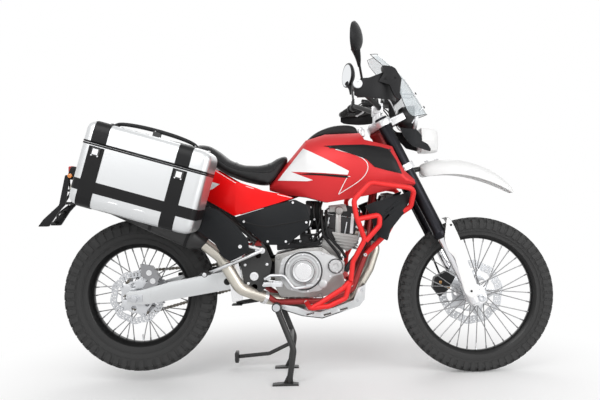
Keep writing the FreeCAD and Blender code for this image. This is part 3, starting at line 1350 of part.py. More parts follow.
def make_side_stand():
    """The folded side stand on the left."""
    pivot = grid(S.side_stand_x, S.side_stand_y, S.side_stand_z)
    leg = tube_shape([pivot, grid(-98, 190, 334), grid(-306, 250, 298)], S.side_stand_radius, 60)
    foot = Part.makeBox(50, 46, 8, grid(-330, 228, 288))
    eye = bar_shape(S.side_stand_radius + 6, 30, pivot - Vector(0, 15, 0))
    hole = Part.makeCylinder(S.side_bolt_radius + S.stand_gap, 60, pivot - Vector(0, 30, 0),
                             Vector(0, 1, 0))
    node("side_stand", feature("SideStand", union_shape([leg, foot, eye]).cut(hole)))


make_swingarm()
make_shock()
make_chain()
make_sprockets()
make_sprocket_cover()
make_rear_caliper()
make_exhaust()
make_heat_shield()
make_pegs()
make_foot_controls()
make_luggage_rack()
make_pannier(-1)
make_pannier(1)
make_tail()
make_centre_stand()
make_stand_mount()
make_side_stand()


# Check and export

def check_and_export():
    """Stops on a failed feature or an invalid shape, then writes each sub-part."""
    DOC.recompute()
    for item in DOC.Objects:
        if "Invalid" in item.State or "Error" in item.State:
            raise ValueError(f"{item.Name} ({item.Label}): {item.State}")
    broken = [label for label, item in NODES.items()
              if item.Shape.isNull() or not item.Shape.isValid()]
    if broken:
        raise ValueError(f"no valid shape: {broken}")
    os.makedirs("parts", exist_ok=True)
    for label, item in NODES.items():
        item.Shape.exportStep(f"parts/{label}.step")
        print(f"{label}: {len(item.Shape.Solids)} solids, {item.Shape.Volume / 1000:.0f} cm3")


check_and_export()
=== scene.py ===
"""Adventure motorcycle on its centre stand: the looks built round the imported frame.

Lengths in the classes are millimetres of the row frame: +X forward, +Y to the rider's left,
+Z up, floor at Z = 0. Side-view outlines are (x, z) pairs.
"""

import json
import logging
from collections.abc import Callable, Iterable, Sequence
from dataclasses import dataclass, field
from enum import Enum
from math import asin, ceil, cos, degrees, pi, radians, sin, sqrt, tan

import bmesh
import bpy
from mathutils import Matrix, Vector
from mathutils.bvhtree import BVHTree
from mathutils.geometry import delaunay_2d_cdt

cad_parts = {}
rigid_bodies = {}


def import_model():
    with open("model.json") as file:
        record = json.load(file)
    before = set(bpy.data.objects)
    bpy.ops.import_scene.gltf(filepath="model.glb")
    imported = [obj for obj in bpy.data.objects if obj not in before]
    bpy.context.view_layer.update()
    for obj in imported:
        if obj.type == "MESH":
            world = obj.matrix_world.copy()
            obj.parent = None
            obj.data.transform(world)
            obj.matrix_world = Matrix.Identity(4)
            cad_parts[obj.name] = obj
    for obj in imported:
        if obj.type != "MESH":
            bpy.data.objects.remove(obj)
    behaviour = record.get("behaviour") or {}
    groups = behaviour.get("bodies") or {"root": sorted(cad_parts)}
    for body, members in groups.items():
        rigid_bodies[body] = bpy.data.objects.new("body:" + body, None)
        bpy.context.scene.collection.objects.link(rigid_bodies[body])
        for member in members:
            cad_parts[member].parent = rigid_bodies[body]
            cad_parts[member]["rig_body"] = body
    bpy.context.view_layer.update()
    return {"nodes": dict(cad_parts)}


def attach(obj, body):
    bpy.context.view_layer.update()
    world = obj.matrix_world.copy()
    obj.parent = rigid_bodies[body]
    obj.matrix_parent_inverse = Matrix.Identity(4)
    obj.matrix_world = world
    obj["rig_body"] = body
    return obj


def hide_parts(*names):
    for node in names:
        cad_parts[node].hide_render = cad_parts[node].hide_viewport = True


logging.basicConfig(level=logging.INFO, format="%(name)s: %(message)s")
LOG = logging.getLogger("motorcycle")

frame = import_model()

MM = 0.001
WELD = 0.01  # How near corners are merged, in millimetres
NODE_WELD = 2e-5  # The same for a node's own mesh, in metres
BEVELLED = radians(28)  # Edges that turn more than this are bevelled
SIDES = (-1, 1)
Pair = tuple[float, float]
Triple = tuple[float, float, float]
Spot = Sequence[float]
Line = Sequence[Spot]
Outline = Sequence[Pair]


# Finishes

class Graph:
    """A node tree that is filled by short calls."""

    def __init__(self, tree: bpy.types.NodeTree) -> None:
        """Takes hold of a tree."""
        self.tree = tree

    def fill(self, node: bpy.types.Node, values: dict[str | int, object]) -> bpy.types.Node:
        """Links or sets a node's inputs.

        Args:
            node: The node.
            values: A socket or a plain value for each input, by name or number.

        Returns:
            The node.
        """
        for key, value in values.items():
            if isinstance(value, bpy.types.NodeSocket):
                self.tree.links.new(value, node.inputs[key])
            else:
                node.inputs[key].default_value = value
        return node

    def add(self, kind: str, values: dict[str | int, object] | None = None,
            **settings: object) -> bpy.types.Node:
        """Adds a node.

        Args:
            kind: The node's type.
            values: What its inputs are linked or set to.
            settings: Its other properties.

        Returns:
            The node.
        """
        node = self.tree.nodes.new(kind)
        for key, value in settings.items():
            setattr(node, key, value)
        return self.fill(node, values or {})


class Texture(Enum):
    """How a surface is broken up close to."""

    SMOOTH = "smooth"
    GRAIN = "grain"
    CAST = "cast"
    BRUSHED = "brushed"
    CELLS = "cells"


@dataclass(frozen=True)
class Finish:
    """One procedural surface, made into a material once."""

    name: str
    slot: str
    color: Triple
    metallic: float = 0.0
    roughness: float = 0.5
    coat: float = 0.0
    texture: Texture = Texture.SMOOTH
    scale: float = 300.0
    bump: float = 0.1
    variation: float = 0.08
    wear: float = 0.0
    wear_color: Triple = (0.5, 0.5, 0.5)
    transmission: float = 0.0
    alpha: float = 1.0
    specular: float = 0.5

    def material(self) -> bpy.types.Material:
        """Builds the material, or finds it if it is already built.

        Returns:
            The material of this finish.
        """
        known = bpy.data.materials.get(self.name)
        if known is not None:
            return known
        made = bpy.data.materials.new(self.name)
        made.use_nodes = True
        graph = Graph(made.node_tree)
        shader = graph.fill(made.node_tree.nodes["Principled BSDF"], {
            "Metallic": self.metallic, "Coat Weight": self.coat, "Coat Roughness": 0.04,
            "Transmission Weight": self.transmission, "Alpha": self.alpha,
            "Specular IOR Level": self.specular})
        place = graph.add("ShaderNodeTexCoord").outputs["Object"]
        self._tint(graph, place, shader)
        self._relief(graph, place, shader)
        return made

    def _tint(self, graph: Graph, place: bpy.types.NodeSocket, shader: bpy.types.Node) -> None:
        """Colour and roughness that drift over the piece, with brighter worn edges.

        Args:
            graph: The material's nodes.
            place: The socket that gives the place on the piece.
            shader: The principled shader.
        """
        cloud = graph.add("ShaderNodeTexNoise",
                          {"Scale": CLOUD_SCALE, "Detail": 6.0, "Vector": place}).outputs["Fac"]
        dark = tuple(part * (1 - self.variation) for part in self.color)
        pale = tuple(min(1.0, part * (1 + self.variation)) for part in self.color)
        tint = graph.add("ShaderNodeMix", {"A": (*dark, 1), "B": (*pale, 1), "Factor": cloud},
                         data_type="RGBA")
        low, high = (self.roughness * share for share in GLOSS_SPREAD)
        spread = graph.add("ShaderNodeMapRange", {"To Min": max(0.02, low), "To Max": min(1.0, high),
                                                  "Value": cloud})
        source = tint.outputs["Result"]
        if self.wear:
            bend = graph.add("ShaderNodeNewGeometry").outputs["Pointiness"]
            edge = graph.add("ShaderNodeMapRange", {"From Min": WORN_EDGES[0], "From Max": WORN_EDGES[1],
                                                    "To Max": self.wear, "Value": bend})
            worn = graph.add("ShaderNodeMix", {"A": source, "B": (*self.wear_color, 1),
                                               "Factor": edge.outputs["Result"]}, data_type="RGBA")
            source = worn.outputs["Result"]
        graph.fill(shader, {"Roughness": spread.outputs["Result"], "Base Color": source})

    def _relief(self, graph: Graph, place: bpy.types.NodeSocket, shader: bpy.types.Node) -> None:
        """The fine relief of the surface.

        Args:
            graph: The material's nodes.
            place: The socket that gives the place on the piece.
            shader: The principled shader.
        """
        if self.texture is Texture.SMOOTH:
            return
        if self.texture is Texture.BRUSHED:
            place = graph.add("ShaderNodeMapping",
                              {"Scale": (0.02, 1.0, 1.0), "Vector": place}).outputs["Vector"]
        if self.texture is Texture.CELLS:
            height = graph.add("ShaderNodeTexVoronoi",
                               {"Scale": self.scale, "Vector": place}).outputs["Distance"]
        else:
            detail = 3.0 if self.texture is Texture.GRAIN else 8.0
            height = graph.add("ShaderNodeTexNoise", {"Scale": self.scale, "Detail": detail,
                                                      "Vector": place}).outputs["Fac"]
        bump = graph.add("ShaderNodeBump", {"Strength": self.bump, "Distance": 0.001, "Height": height})
        graph.fill(shader, {"Normal": bump.outputs["Normal"]})


CLOUD_SCALE = 9.0
GLOSS_SPREAD = (0.82, 1.18)
WORN_EDGES = (0.52, 0.62)
RED = (0.86, 0.004, 0.005)
TANK_RED = Finish("tank_red", "tank_red", RED, roughness=0.3, coat=0.12, variation=0.03, specular=0.15)
PANEL_RED = Finish("panel_red", "red_plastic", RED, roughness=0.34, coat=0.1, variation=0.03, specular=0.2)
GUARD_RED = Finish("guard_red", "guard_red", (0.5, 0.004, 0.01), roughness=0.3, coat=0.15,
                   texture=Texture.GRAIN, scale=220, bump=0.04, wear=0.2, wear_color=(0.6, 0.05, 0.06),
                   specular=0.25)
FRAME_RED = Finish("frame_red", "frame_red", (0.3, 0.006, 0.008), roughness=0.4, texture=Texture.GRAIN,
                   scale=300, bump=0.08, wear=0.2, wear_color=(0.4, 0.05, 0.05), specular=0.25)
WHITE = Finish("panel_white", "white_plastic", (0.78, 0.78, 0.775), roughness=0.35, coat=0.1,
               variation=0.03, specular=0.3)
TRIM_WHITE = Finish("trim_white", "tank_red", (0.8, 0.8, 0.8), roughness=0.35, variation=0.02)
TRIM_BLACK = Finish("trim_black", "black_plastic", (0.006, 0.006, 0.0065), roughness=0.38,
                    texture=Texture.GRAIN, scale=900, bump=0.12, specular=0.22)
PLASTIC = Finish("moulded_black", "black_plastic", (0.009, 0.009, 0.01), roughness=0.5,
                 texture=Texture.GRAIN, scale=1100, bump=0.35, variation=0.15, wear=0.15,
                 wear_color=(0.05, 0.05, 0.05), specular=0.22)
CHARCOAL = Finish("charcoal_panel", "shield_black", (0.01, 0.011, 0.0125), roughness=0.46,
                  texture=Texture.GRAIN, scale=900, bump=0.25, variation=0.12, wear=0.2,
                  wear_color=(0.05, 0.05, 0.05), specular=0.16)
BLACK_METAL = Finish("black_metal", "black_metal", (0.007, 0.007, 0.0075), roughness=0.32, coat=0.1,
                     texture=Texture.GRAIN, scale=260, bump=0.06, wear=0.25,
                     wear_color=(0.08, 0.08, 0.08), specular=0.3)
TUBE_BLACK = Finish("tube_black", "tube_black", (0.004, 0.004, 0.0045), roughness=0.2, coat=0.15,
                    variation=0.1, specular=0.2)
RIM_BLACK = Finish("rim_black", "rim_black", (0.006, 0.006, 0.0065), metallic=0.2, roughness=0.24,
                   coat=0.25, variation=0.1, wear=0.2, wear_color=(0.1, 0.1, 0.1), specular=0.3)
TYRE = Finish("tyre", "tyre", (0.006, 0.006, 0.0065), roughness=0.75, texture=Texture.GRAIN,
              scale=500, bump=0.3, variation=0.3, wear=0.3, wear_color=(0.03, 0.03, 0.029), specular=0.12)
RUBBER = Finish("rubber", "grip_rubber", (0.008, 0.008, 0.008), roughness=0.6, texture=Texture.CELLS,
                scale=420, bump=0.5, variation=0.2, specular=0.2)
HOSE = Finish("hose", "hose_rubber", (0.007, 0.007, 0.0075), roughness=0.42, texture=Texture.GRAIN,
              scale=600, bump=0.1, specular=0.25)
VINYL = Finish("vinyl", "seat_vinyl", (0.009, 0.009, 0.0095), roughness=0.42, texture=Texture.CELLS,
               scale=520, bump=0.45, variation=0.18, specular=0.25)
CHROME = Finish("chrome", "chrome", (0.82, 0.82, 0.84), metallic=1.0, roughness=0.06, variation=0.02)
SATIN = Finish("satin_aluminium", "clamp_silver", (0.74, 0.745, 0.76), metallic=0.6, roughness=0.32,
               texture=Texture.GRAIN, scale=700, bump=0.08, variation=0.06, wear=0.3,
               wear_color=(0.9, 0.9, 0.9))
ARM_SILVER = Finish("arm_silver", "arm_silver", (0.76, 0.77, 0.78), metallic=0.55, roughness=0.3,
                    coat=0.3, texture=Texture.GRAIN, scale=700, bump=0.06, variation=0.04)
CAST = Finish("cast_engine", "engine_cast", (0.36, 0.355, 0.345), metallic=0.6, roughness=0.42,
              texture=Texture.CAST, scale=520, bump=0.28, variation=0.16, wear=0.35,
              wear_color=(0.75, 0.75, 0.75), specular=0.35)
CAST_DARK = Finish("cast_dark", "engine_cast", (0.025, 0.025, 0.027), metallic=0.3, roughness=0.5,
                   texture=Texture.CAST, scale=420, bump=0.4, variation=0.3, wear=0.25,
                   wear_color=(0.2, 0.2, 0.2), specular=0.3)
COVER = Finish("cover_silver", "engine_cast", (0.52, 0.525, 0.53), metallic=0.5, roughness=0.36,
               texture=Texture.CAST, scale=500, bump=0.2, variation=0.12)
POLISHED = Finish("polished", "engine_cast", (0.82, 0.82, 0.83), metallic=0.9, roughness=0.2,
                  texture=Texture.BRUSHED, scale=900, bump=0.05, variation=0.04)
STEEL = Finish("disc_steel", "disc_steel", (0.72, 0.72, 0.73), metallic=1.0, roughness=0.26,
               texture=Texture.BRUSHED, scale=1400, bump=0.12, variation=0.06)
HUB_SILVER = Finish("hub_silver", "hub_silver", (0.74, 0.75, 0.77), metallic=0.9, roughness=0.24,
                    texture=Texture.CAST, scale=600, bump=0.08, variation=0.05)
SPOKE = Finish("spoke_steel", "hub_silver", (0.26, 0.26, 0.265), metallic=0.8, roughness=0.34)
CHAIN = Finish("chain_steel", "chain_steel", (0.3, 0.28, 0.25), metallic=0.9, roughness=0.38, variation=0.25)
EXHAUST = Finish("exhaust_steel", "exhaust_steel", (0.6, 0.59, 0.575), metallic=0.9, roughness=0.28,
                 texture=Texture.BRUSHED, scale=500, bump=0.06, variation=0.16)
SKID = Finish("skid_aluminium", "skid_aluminium", (0.36, 0.36, 0.355), metallic=0.6, roughness=0.45,
              texture=Texture.BRUSHED, scale=900, bump=0.2)
CASE = Finish("case_aluminium", "case_aluminium", (0.78, 0.79, 0.805), metallic=0.55, roughness=0.36,
              texture=Texture.GRAIN, scale=1500, bump=0.12, variation=0.03, wear=0.15,
              wear_color=(0.92, 0.92, 0.92))
PEG = Finish("peg_silver", "peg_silver", (0.72, 0.73, 0.74), metallic=0.7, roughness=0.3,
             texture=Texture.CAST, scale=600, bump=0.12)
CALIPER = Finish("caliper_metal", "caliper_metal", (0.58, 0.58, 0.59), metallic=0.7, roughness=0.4,
                 texture=Texture.CAST, scale=600, bump=0.2, variation=0.1)
CALIPER_BLACK = Finish("caliper_black", "caliper_metal", (0.01, 0.01, 0.011), roughness=0.4,
                       texture=Texture.CAST, scale=600, bump=0.15, specular=0.3)
BRONZE = Finish("pin_bronze", "caliper_metal", (0.42, 0.24, 0.1), metallic=0.9, roughness=0.3)
SPRING = Finish("shock_spring", "shock_steel", (0.5, 0.02, 0.02), roughness=0.3, coat=0.5)
GLASS = Finish("screen_clear", "screen_clear", (0.86, 0.87, 0.87), roughness=0.05, alpha=0.05,
               variation=0.02, specular=0.2)
LENS = Finish("lamp_lens", "lamp", (0.9, 0.93, 0.95), roughness=0.03, transmission=0.9, variation=0.01)
REFLECTOR = Finish("reflector", "lamp", (0.85, 0.86, 0.88), metallic=1.0, roughness=0.1)
MIRROR_GLASS = Finish("mirror_glass", "black_plastic", (0.82, 0.84, 0.86), metallic=1.0,
                      roughness=0.03, variation=0.01)
LAMP_RED = Finish("lamp_red", "black_plastic", (0.5, 0.01, 0.01), roughness=0.1, coat=1.0)
AMBER = Finish("amber", "black_plastic", (0.8, 0.25, 0.02), roughness=0.12, coat=1.0)
DIAL = Finish("dial", "black_plastic", (0.09, 0.12, 0.12), roughness=0.08, coat=1.0)


# Mesh making

def bent(points: Line, bend: float, step: float = 9.0) -> list[Vector]:
    """Rounds a route's corners.

    Args:
        points: The route's corners.
        bend: The radius of each bend.
        step: The turn in degrees between two points of a bend.

    Returns:
        The points of the rounded route.
    """
    corners = [Vector(point) for point in points]
    path = [corners[0]]
    for before, corner, after in zip(corners, corners[1:], corners[2:]):
        back, ahead = before - corner, after - corner
        room = min(back.length, ahead.length) * 0.49
        back.normalize()
        ahead.normalize()
        half = back.angle(ahead) / 2
        radius = min(bend, room * tan(half))
        centre = corner + (back + ahead).normalized() * (radius / sin(half))
        entry = corner + back * (radius / tan(half)) - centre
        turn = pi - 2 * half
        steps = max(1, ceil(degrees(turn) / step))
        axis = back.cross(ahead).normalized()
        path += [centre + Matrix.Rotation(-turn * share / steps, 3, axis) @ entry
                 for share in range(steps + 1)]
    return path + [corners[-1]]


def curve_through(points: Line, steps: int = 6) -> list[Vector]:
    """A smooth line through points.

    Args:
        points: The points that the line passes through.
        steps: How many pieces each span has.

    Returns:
        The line's points.
    """
    ends = [Vector(point) for point in points]
    ends = [ends[0] * 2 - ends[1], *ends, ends[-1] * 2 - ends[-2]]
    line = []
    for a, b, c, d in zip(ends, ends[1:], ends[2:], ends[3:]):
        for index in range(steps):
            t = index / steps
            line.append(0.5 * (2 * b + (c - a) * t + (2 * a - 5 * b + 4 * c - d) * t * t
                               + (3 * b - a - 3 * c + d) * t ** 3))
    return line + [ends[-2]]


def rounded(outline: Outline, radius: float, steps: int = 3) -> list[Pair]:
    """A closed outline with its corners rounded.

    Args:
        outline: The corners.
        radius: The corners' radius, cut back where a side is short.
        steps: How many chords a corner has.

    Returns:
        The rounded outline's points.
    """
    made = []
    count = len(outline)
    for index in range(count):
        before, corner, after = (Vector(outline[(index + shift) % count]) for shift in (-1, 0, 1))
        back, ahead = before - corner, after - corner
        reach = min(radius, back.length * 0.45, ahead.length * 0.45)
        start, end = corner + back.normalized() * reach, corner + ahead.normalized() * reach
        for step in range(steps + 1):
            t = step / steps
            made.append(tuple(start * (1 - t) ** 2 + corner * (2 * t * (1 - t)) + end * t * t))
    return made


def polar(radius: float, turn: float) -> Pair:
    """A flat point at a radius and a turn."""
    return radius * cos(turn), radius * sin(turn)


def oblong(low: float, high: float, inner: float, outer: float) -> list[Pair]:
    """Four corners, for a sleeve's profile or a plain plate."""
    return [(low, inner), (low, outer), (high, outer), (high, inner)]


def span(side: int, near: float, far: float) -> list[float]:
    """The lower and the upper end of a stretch across one side."""
    return sorted((side * near, side * far))


def turns(count: int, shift: float = 0.0) -> list[float]:
    """Evenly spaced turns round a full circle."""
    return [2 * pi * (index + shift) / count for index in range(count)]


def circle(radius: float, x: float = 0.0, z: float = 0.0, sides: int = 24) -> list[Pair]:
    """A round outline about a flat point."""
    return [(x + radius * cos(turn), z + radius * sin(turn)) for turn in turns(sides)]


def beside(way: Vector) -> Vector:
    """A direction square to another, level where it can be."""
    return way.cross(Vector((0, 0, 1)) if abs(way.z) < 0.9 else Vector((1, 0, 0))).normalized()


def hoop(middle: Vector, side: Vector, other: Vector, sides: int) -> list[Vector]:
    """A ring of points round a middle, from its two half axes."""
    return [middle + side * cos(turn) + other * sin(turn) for turn in turns(sides)]


class Shape:
    """A mesh under construction, in millimetres of the row frame."""

    def __init__(self) -> None:
        """Starts an empty mesh."""
        self.mesh = bmesh.new()
        self.finishes: list[Finish] = []
        self.index = 0

    def use(self, finish: Finish) -> "Shape":
        """Faces made from here on have this finish.

        Args:
            finish: The finish.

        Returns:
            The shape itself.
        """
        if finish not in self.finishes:
            self.finishes.append(finish)
        self.index = self.finishes.index(finish)
        return self

    def add(self, points: Iterable[Spot], faces: Iterable[Sequence[int]]) -> "Shape":
        """Adds points and faces.

        Args:
            points: The corners.
            faces: Corner numbers of each face.

        Returns:
            The shape itself.
        """
        corners = [self.mesh.verts.new(point) for point in points]
        for loop in faces:
            face = self.mesh.faces.new([corners[index] for index in loop])
            face.material_index = self.index
        return self

    def loft(self, rings: Sequence[Line], join: bool = False) -> "Shape":
        """A skin through rings of as many points each.

        Args:
            rings: The rings.
            join: Whether the last ring joins the first. If not, both are filled.

        Returns:
            The shape itself.
        """
        count = len(rings[0])
        points = [point for ring in rings for point in ring]
        faces = []
        for row in range(len(rings) if join else len(rings) - 1):
            after_row = (row + 1) % len(rings)
            for index in range(count):
                after = (index + 1) % count
                faces.append((row * count + index, row * count + after,
                              after_row * count + after, after_row * count + index))
        if not join:
            faces.append(tuple(reversed(range(count))))
            faces.append(tuple(range((len(rings) - 1) * count, len(rings) * count)))
        return self.add(points, faces)

    def tube(self, path: Line, radius: float | Callable[[float], float],
             sides: int = 14, flat: float = 1.0) -> "Shape":
        """A round bar along a path.

        Args:
            path: The points of its middle line.
            radius: The radius, or the radius by the share of the path passed.
            sides: How many sides it has.
            flat: The height of its section as a share of its width.

        Returns:
            The shape itself.
        """
        line = [Vector(point) for point in path]
        side = beside((line[1] - line[0]).normalized())
        rings = []
        for index, here in enumerate(line):
            before, after = line[max(index - 1, 0)], line[min(index + 1, len(line) - 1)]
            way = (after - before).normalized()
            side = (side - way * side.dot(way)).normalized()
            reach = radius(index / (len(line) - 1)) if callable(radius) else radius
            rings.append(hoop(here, side * reach, way.cross(side) * (reach * flat), sides))
        return self.loft(rings)

    def turned(self, profile: Outline, centre: Spot,
               axis: Spot = (0, 1, 0), segments: int = 48, ring: bool = False) -> "Shape":
        """A profile turned about an axis.

        Args:
            profile: (along the axis, radius) pairs.
            centre: A point on the axis, where along is zero.
            axis: The axis.
            segments: How many sectors.
            ring: Whether the profile closes on itself.

        Returns:
            The shape itself.
        """
        way = Vector(axis).normalized()
        side = beside(way)
        rings = []
        for along, radius in profile:
            reach = max(radius, 0.01)
            rings.append(hoop(Vector(centre) + way * along, side * reach, way.cross(side) * reach, segments))
        return self.loft(rings, join=ring)

    def plate(self, outline: Outline, low: float, high: float,
              holes: Sequence[Outline] = (), plane: str = "XZ", place: Matrix | None = None) -> "Shape":
        """A flat plate with holes.

        Args:
            outline: Its outer edge.
            low: Where it starts, across its plane.
            high: Where it ends.
            holes: The edges of its holes.
            plane: The plane that the outline lies in, "XZ" or "XY".
            place: A matrix for its points.

        Returns:
            The shape itself.
        """
        loops = [outline, *holes]
        flat = [Vector(point) for loop in loops for point in loop]
        edges, start = [], 0
        for loop in loops:
            count = len(loop)
            edges += [(start + index, start + (index + 1) % count) for index in range(count)]
            start += count
        corners, edges, faces = delaunay_2d_cdt(flat, edges, [], 1, 1e-4)[:3]
        kept = []
        for loop in faces:
            middle = sum((corners[index] for index in loop), Vector((0, 0))) / len(loop)
            if not any(inside(middle, hole) for hole in holes):
                kept.append(loop)
        layers = []
        for across in (low, high):
            layer = [Vector((a, across, b) if plane == "XZ" else (a, b, across)) for a, b in corners]
            layers.append([place @ point for point in layer] if place else layer)
        return self.thick(*layers, kept)

    def thick(self, low: Line, high: Line, faces: Sequence[Sequence[int]]) -> "Shape":
        """Two like skins joined along their free edges.

        Args:
            low: The first skin's corners.
            high: The second skin's corners.
            faces: Corner numbers of each face of a skin.

        Returns:
            The shape itself.
        """
        count = len(low)
        made = [tuple(loop) for loop in faces]
        made += [tuple(index + count for index in reversed(loop)) for loop in faces]
        made += [(end, start, start + count, end + count) for start, end in border(faces)]
        return self.add([*low, *high], made)

    def block(self, low: Spot, high: Spot, place: Matrix | None = None) -> "Shape":
        """A box between two corners.

        Args:
            low: The lowest corner.
            high: The highest corner.
            place: A matrix for its points.

        Returns:
            The shape itself.
        """
        points = [Vector((x, y, z)) for x in (low[0], high[0]) for y in (low[1], high[1])
                  for z in (low[2], high[2])]
        if place:
            points = [place @ point for point in points]
        return self.add(points, [(0, 1, 3, 2), (4, 6, 7, 5), (0, 4, 5, 1), (2, 3, 7, 6),
                                 (0, 2, 6, 4), (1, 5, 7, 3)])

    def bolt(self, place: Spot, axis: Spot = (0, -1, 0), radius: float = 6.0, height: float = 4.0) -> "Shape":
        """A socket-headed bolt seen from outside.

        Args:
            place: The middle of its seat.
            axis: The way it faces.
            radius: The head's radius.
            height: The head's height.

        Returns:
            The shape itself.
        """
        profile = [(0, 0), (0, radius), (height * 0.8, radius), (height, radius * 0.84),
                   (height, radius * 0.5), (height * 0.45, radius * 0.46), (height * 0.45, 0)]
        return self.turned(profile, place, axis, 12)

    def bolts(self, spots: Outline, y: float, side: int, radius: float, height: float) -> "Shape":
        """Bolt heads that face outwards on one side, at (x, z) spots on a level across."""
        for x, z in spots:
            self.bolt((x, y, z), (0, side, 0), radius, height)
        return self

    def mirrored(self) -> "Shape":
        """Adds the mirror image of all that is made so far.

        Returns:
            The shape itself.
        """
        copy = bmesh.ops.duplicate(self.mesh, geom=self.mesh.verts[:] + self.mesh.faces[:])["geom"]
        for item in copy:
            if isinstance(item, bmesh.types.BMVert):
                item.co.y = -item.co.y
        return self

    def flipped(self) -> "Shape":
        """Turns the whole shape into its mirror image."""
        for corner in self.mesh.verts:
            corner.co.y = -corner.co.y
        return self

    def plain(self, name: str) -> bpy.types.Object:
        """Turns the mesh into an object in metres.

        Args:
            name: The object's name.

        Returns:
            The object.
        """
        bmesh.ops.remove_doubles(self.mesh, verts=self.mesh.verts, dist=WELD)
        bmesh.ops.recalc_face_normals(self.mesh, faces=self.mesh.faces)
        bmesh.ops.scale(self.mesh, vec=(MM, MM, MM), verts=self.mesh.verts)
        data = bpy.data.meshes.new(name)
        self.mesh.to_mesh(data)
        self.mesh.free()
        made = bpy.data.objects.new(name, data)
        for finish in self.finishes:
            data.materials.append(finish.material())
        bpy.context.scene.collection.objects.link(made)
        return made

    def piece(self, name: str, body: str, replaces: Sequence[str] = (), bevel: float = 0.0,
              levels: int = 0, sharp: float = 35.0, segments: int = 2, wall: float = 0.0,
              room: "Shape | None" = None) -> bpy.types.Object:
        """Finishes the mesh as an object that rides on a body.

        Args:
            name: The piece's name.
            body: The body it rides on.
            replaces: The frame's nodes that it stands for.
            bevel: The width of its bevelled edges, in millimetres.
            levels: How many times it is subdivided.
            sharp: Edges that turn more than this many degrees stay sharp.
            segments: How many faces a bevel has.
            wall: The thickness given to an open skin, in millimetres.
            room: A closed shape that is cut away.

        Returns:
            The finished object.
        """
        made = self.plain(name)
        tool = room.plain(f"{name}_room") if room else None
        if tool:
            notch = made.modifiers.new("Room", "BOOLEAN")
            notch.operation, notch.solver, notch.object = "DIFFERENCE", "EXACT", tool
        if wall:
            skin = made.modifiers.new("Wall", "SOLIDIFY")
            skin.thickness, skin.offset = wall * MM, -1
        if bevel:
            edges = made.modifiers.new("Edges", "BEVEL")
            edges.width, edges.segments = bevel * MM, segments
            edges.limit_method, edges.angle_limit = "ANGLE", BEVELLED
            edges.harden_normals = False
        if levels:
            smooth = made.modifiers.new("Smooth", "SUBSURF")
            smooth.levels = smooth.render_levels = levels
        settle(made)
        if tool:
            bpy.data.objects.remove(tool)
        return finished(made, body, replaces, sharp)


def border(faces: Sequence[Sequence[int]]) -> list[tuple[int, int]]:
    """The edges that only one of a set of faces has.

    Args:
        faces: The faces, as corner numbers.

    Returns:
        The edges, as pairs of corner numbers.
    """
    walls: dict[frozenset[int], tuple[int, int]] = {}
    for loop in faces:
        for start, end in zip(loop, [*loop[1:], loop[0]]):
            if walls.pop(frozenset((start, end)), None) is None:
                walls[frozenset((start, end))] = (start, end)
    return list(walls.values())


def inside(point: Vector, outline: Outline) -> bool:
    """Whether a flat point lies in a closed outline.

    Args:
        point: The point.
        outline: The outline's corners.

    Returns:
        True if it lies inside.
    """
    found = False
    for (ax, ay), (bx, by) in zip(outline, [*outline[1:], outline[0]]):
        if (ay > point.y) != (by > point.y) and point.x < ax + (point.y - ay) * (bx - ax) / (by - ay):
            found = not found
    return found


def settle(made: bpy.types.Object) -> None:
    """Turns an object's modifiers into plain mesh.

    Args:
        made: The object.
    """
    if not made.modifiers:
        return
    shown = made.evaluated_get(bpy.context.evaluated_depsgraph_get())
    old = made.data
    new = bpy.data.meshes.new_from_object(shown)
    made.modifiers.clear()
    made.data = new
    name = old.name
    bpy.data.meshes.remove(old)
    new.name = name


def shade(data: bpy.types.Mesh, sharp: float) -> None:
    """Smooth shading with sharp edges past an angle.

    Args:
        data: The mesh.
        sharp: The angle in degrees.
    """
    work = bmesh.new()
    work.from_mesh(data)
    for face in work.faces:
        face.smooth = True
    for edge in work.edges:
        edge.smooth = len(edge.link_faces) == 2 and edge.calc_face_angle(0) <= radians(sharp)
    work.to_mesh(data)
    work.free()


def finished(made: bpy.types.Object, body: str, replaces: Sequence[str],
             sharp: float) -> bpy.types.Object:
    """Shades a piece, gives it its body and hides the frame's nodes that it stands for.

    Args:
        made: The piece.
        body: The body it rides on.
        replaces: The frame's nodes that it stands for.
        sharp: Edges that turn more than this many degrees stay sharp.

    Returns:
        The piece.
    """
    shade(made.data, sharp)
    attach(made, body)
    if replaces:
        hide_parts(*replaces)
    return made


def dress(node: str, finish: Finish) -> bpy.types.Object:
    """Replaces a frame node by a merged copy of its own mesh with a finish.

    Args:
        node: The node.
        finish: Its finish.

    Returns:
        The new piece.
    """
    source = frame["nodes"][node]
    work = bmesh.new()
    work.from_mesh(source.data)
    bmesh.ops.remove_doubles(work, verts=work.verts, dist=NODE_WELD)
    data = bpy.data.meshes.new(f"{node}_dressed")
    work.to_mesh(data)
    work.free()
    made = bpy.data.objects.new(f"{node}_dressed", data)
    bpy.context.scene.collection.objects.link(made)
    data.materials.clear()
    data.materials.append(finish.material())
    return finished(made, source["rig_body"], [node], 50.0)


# Repeats made by node trees

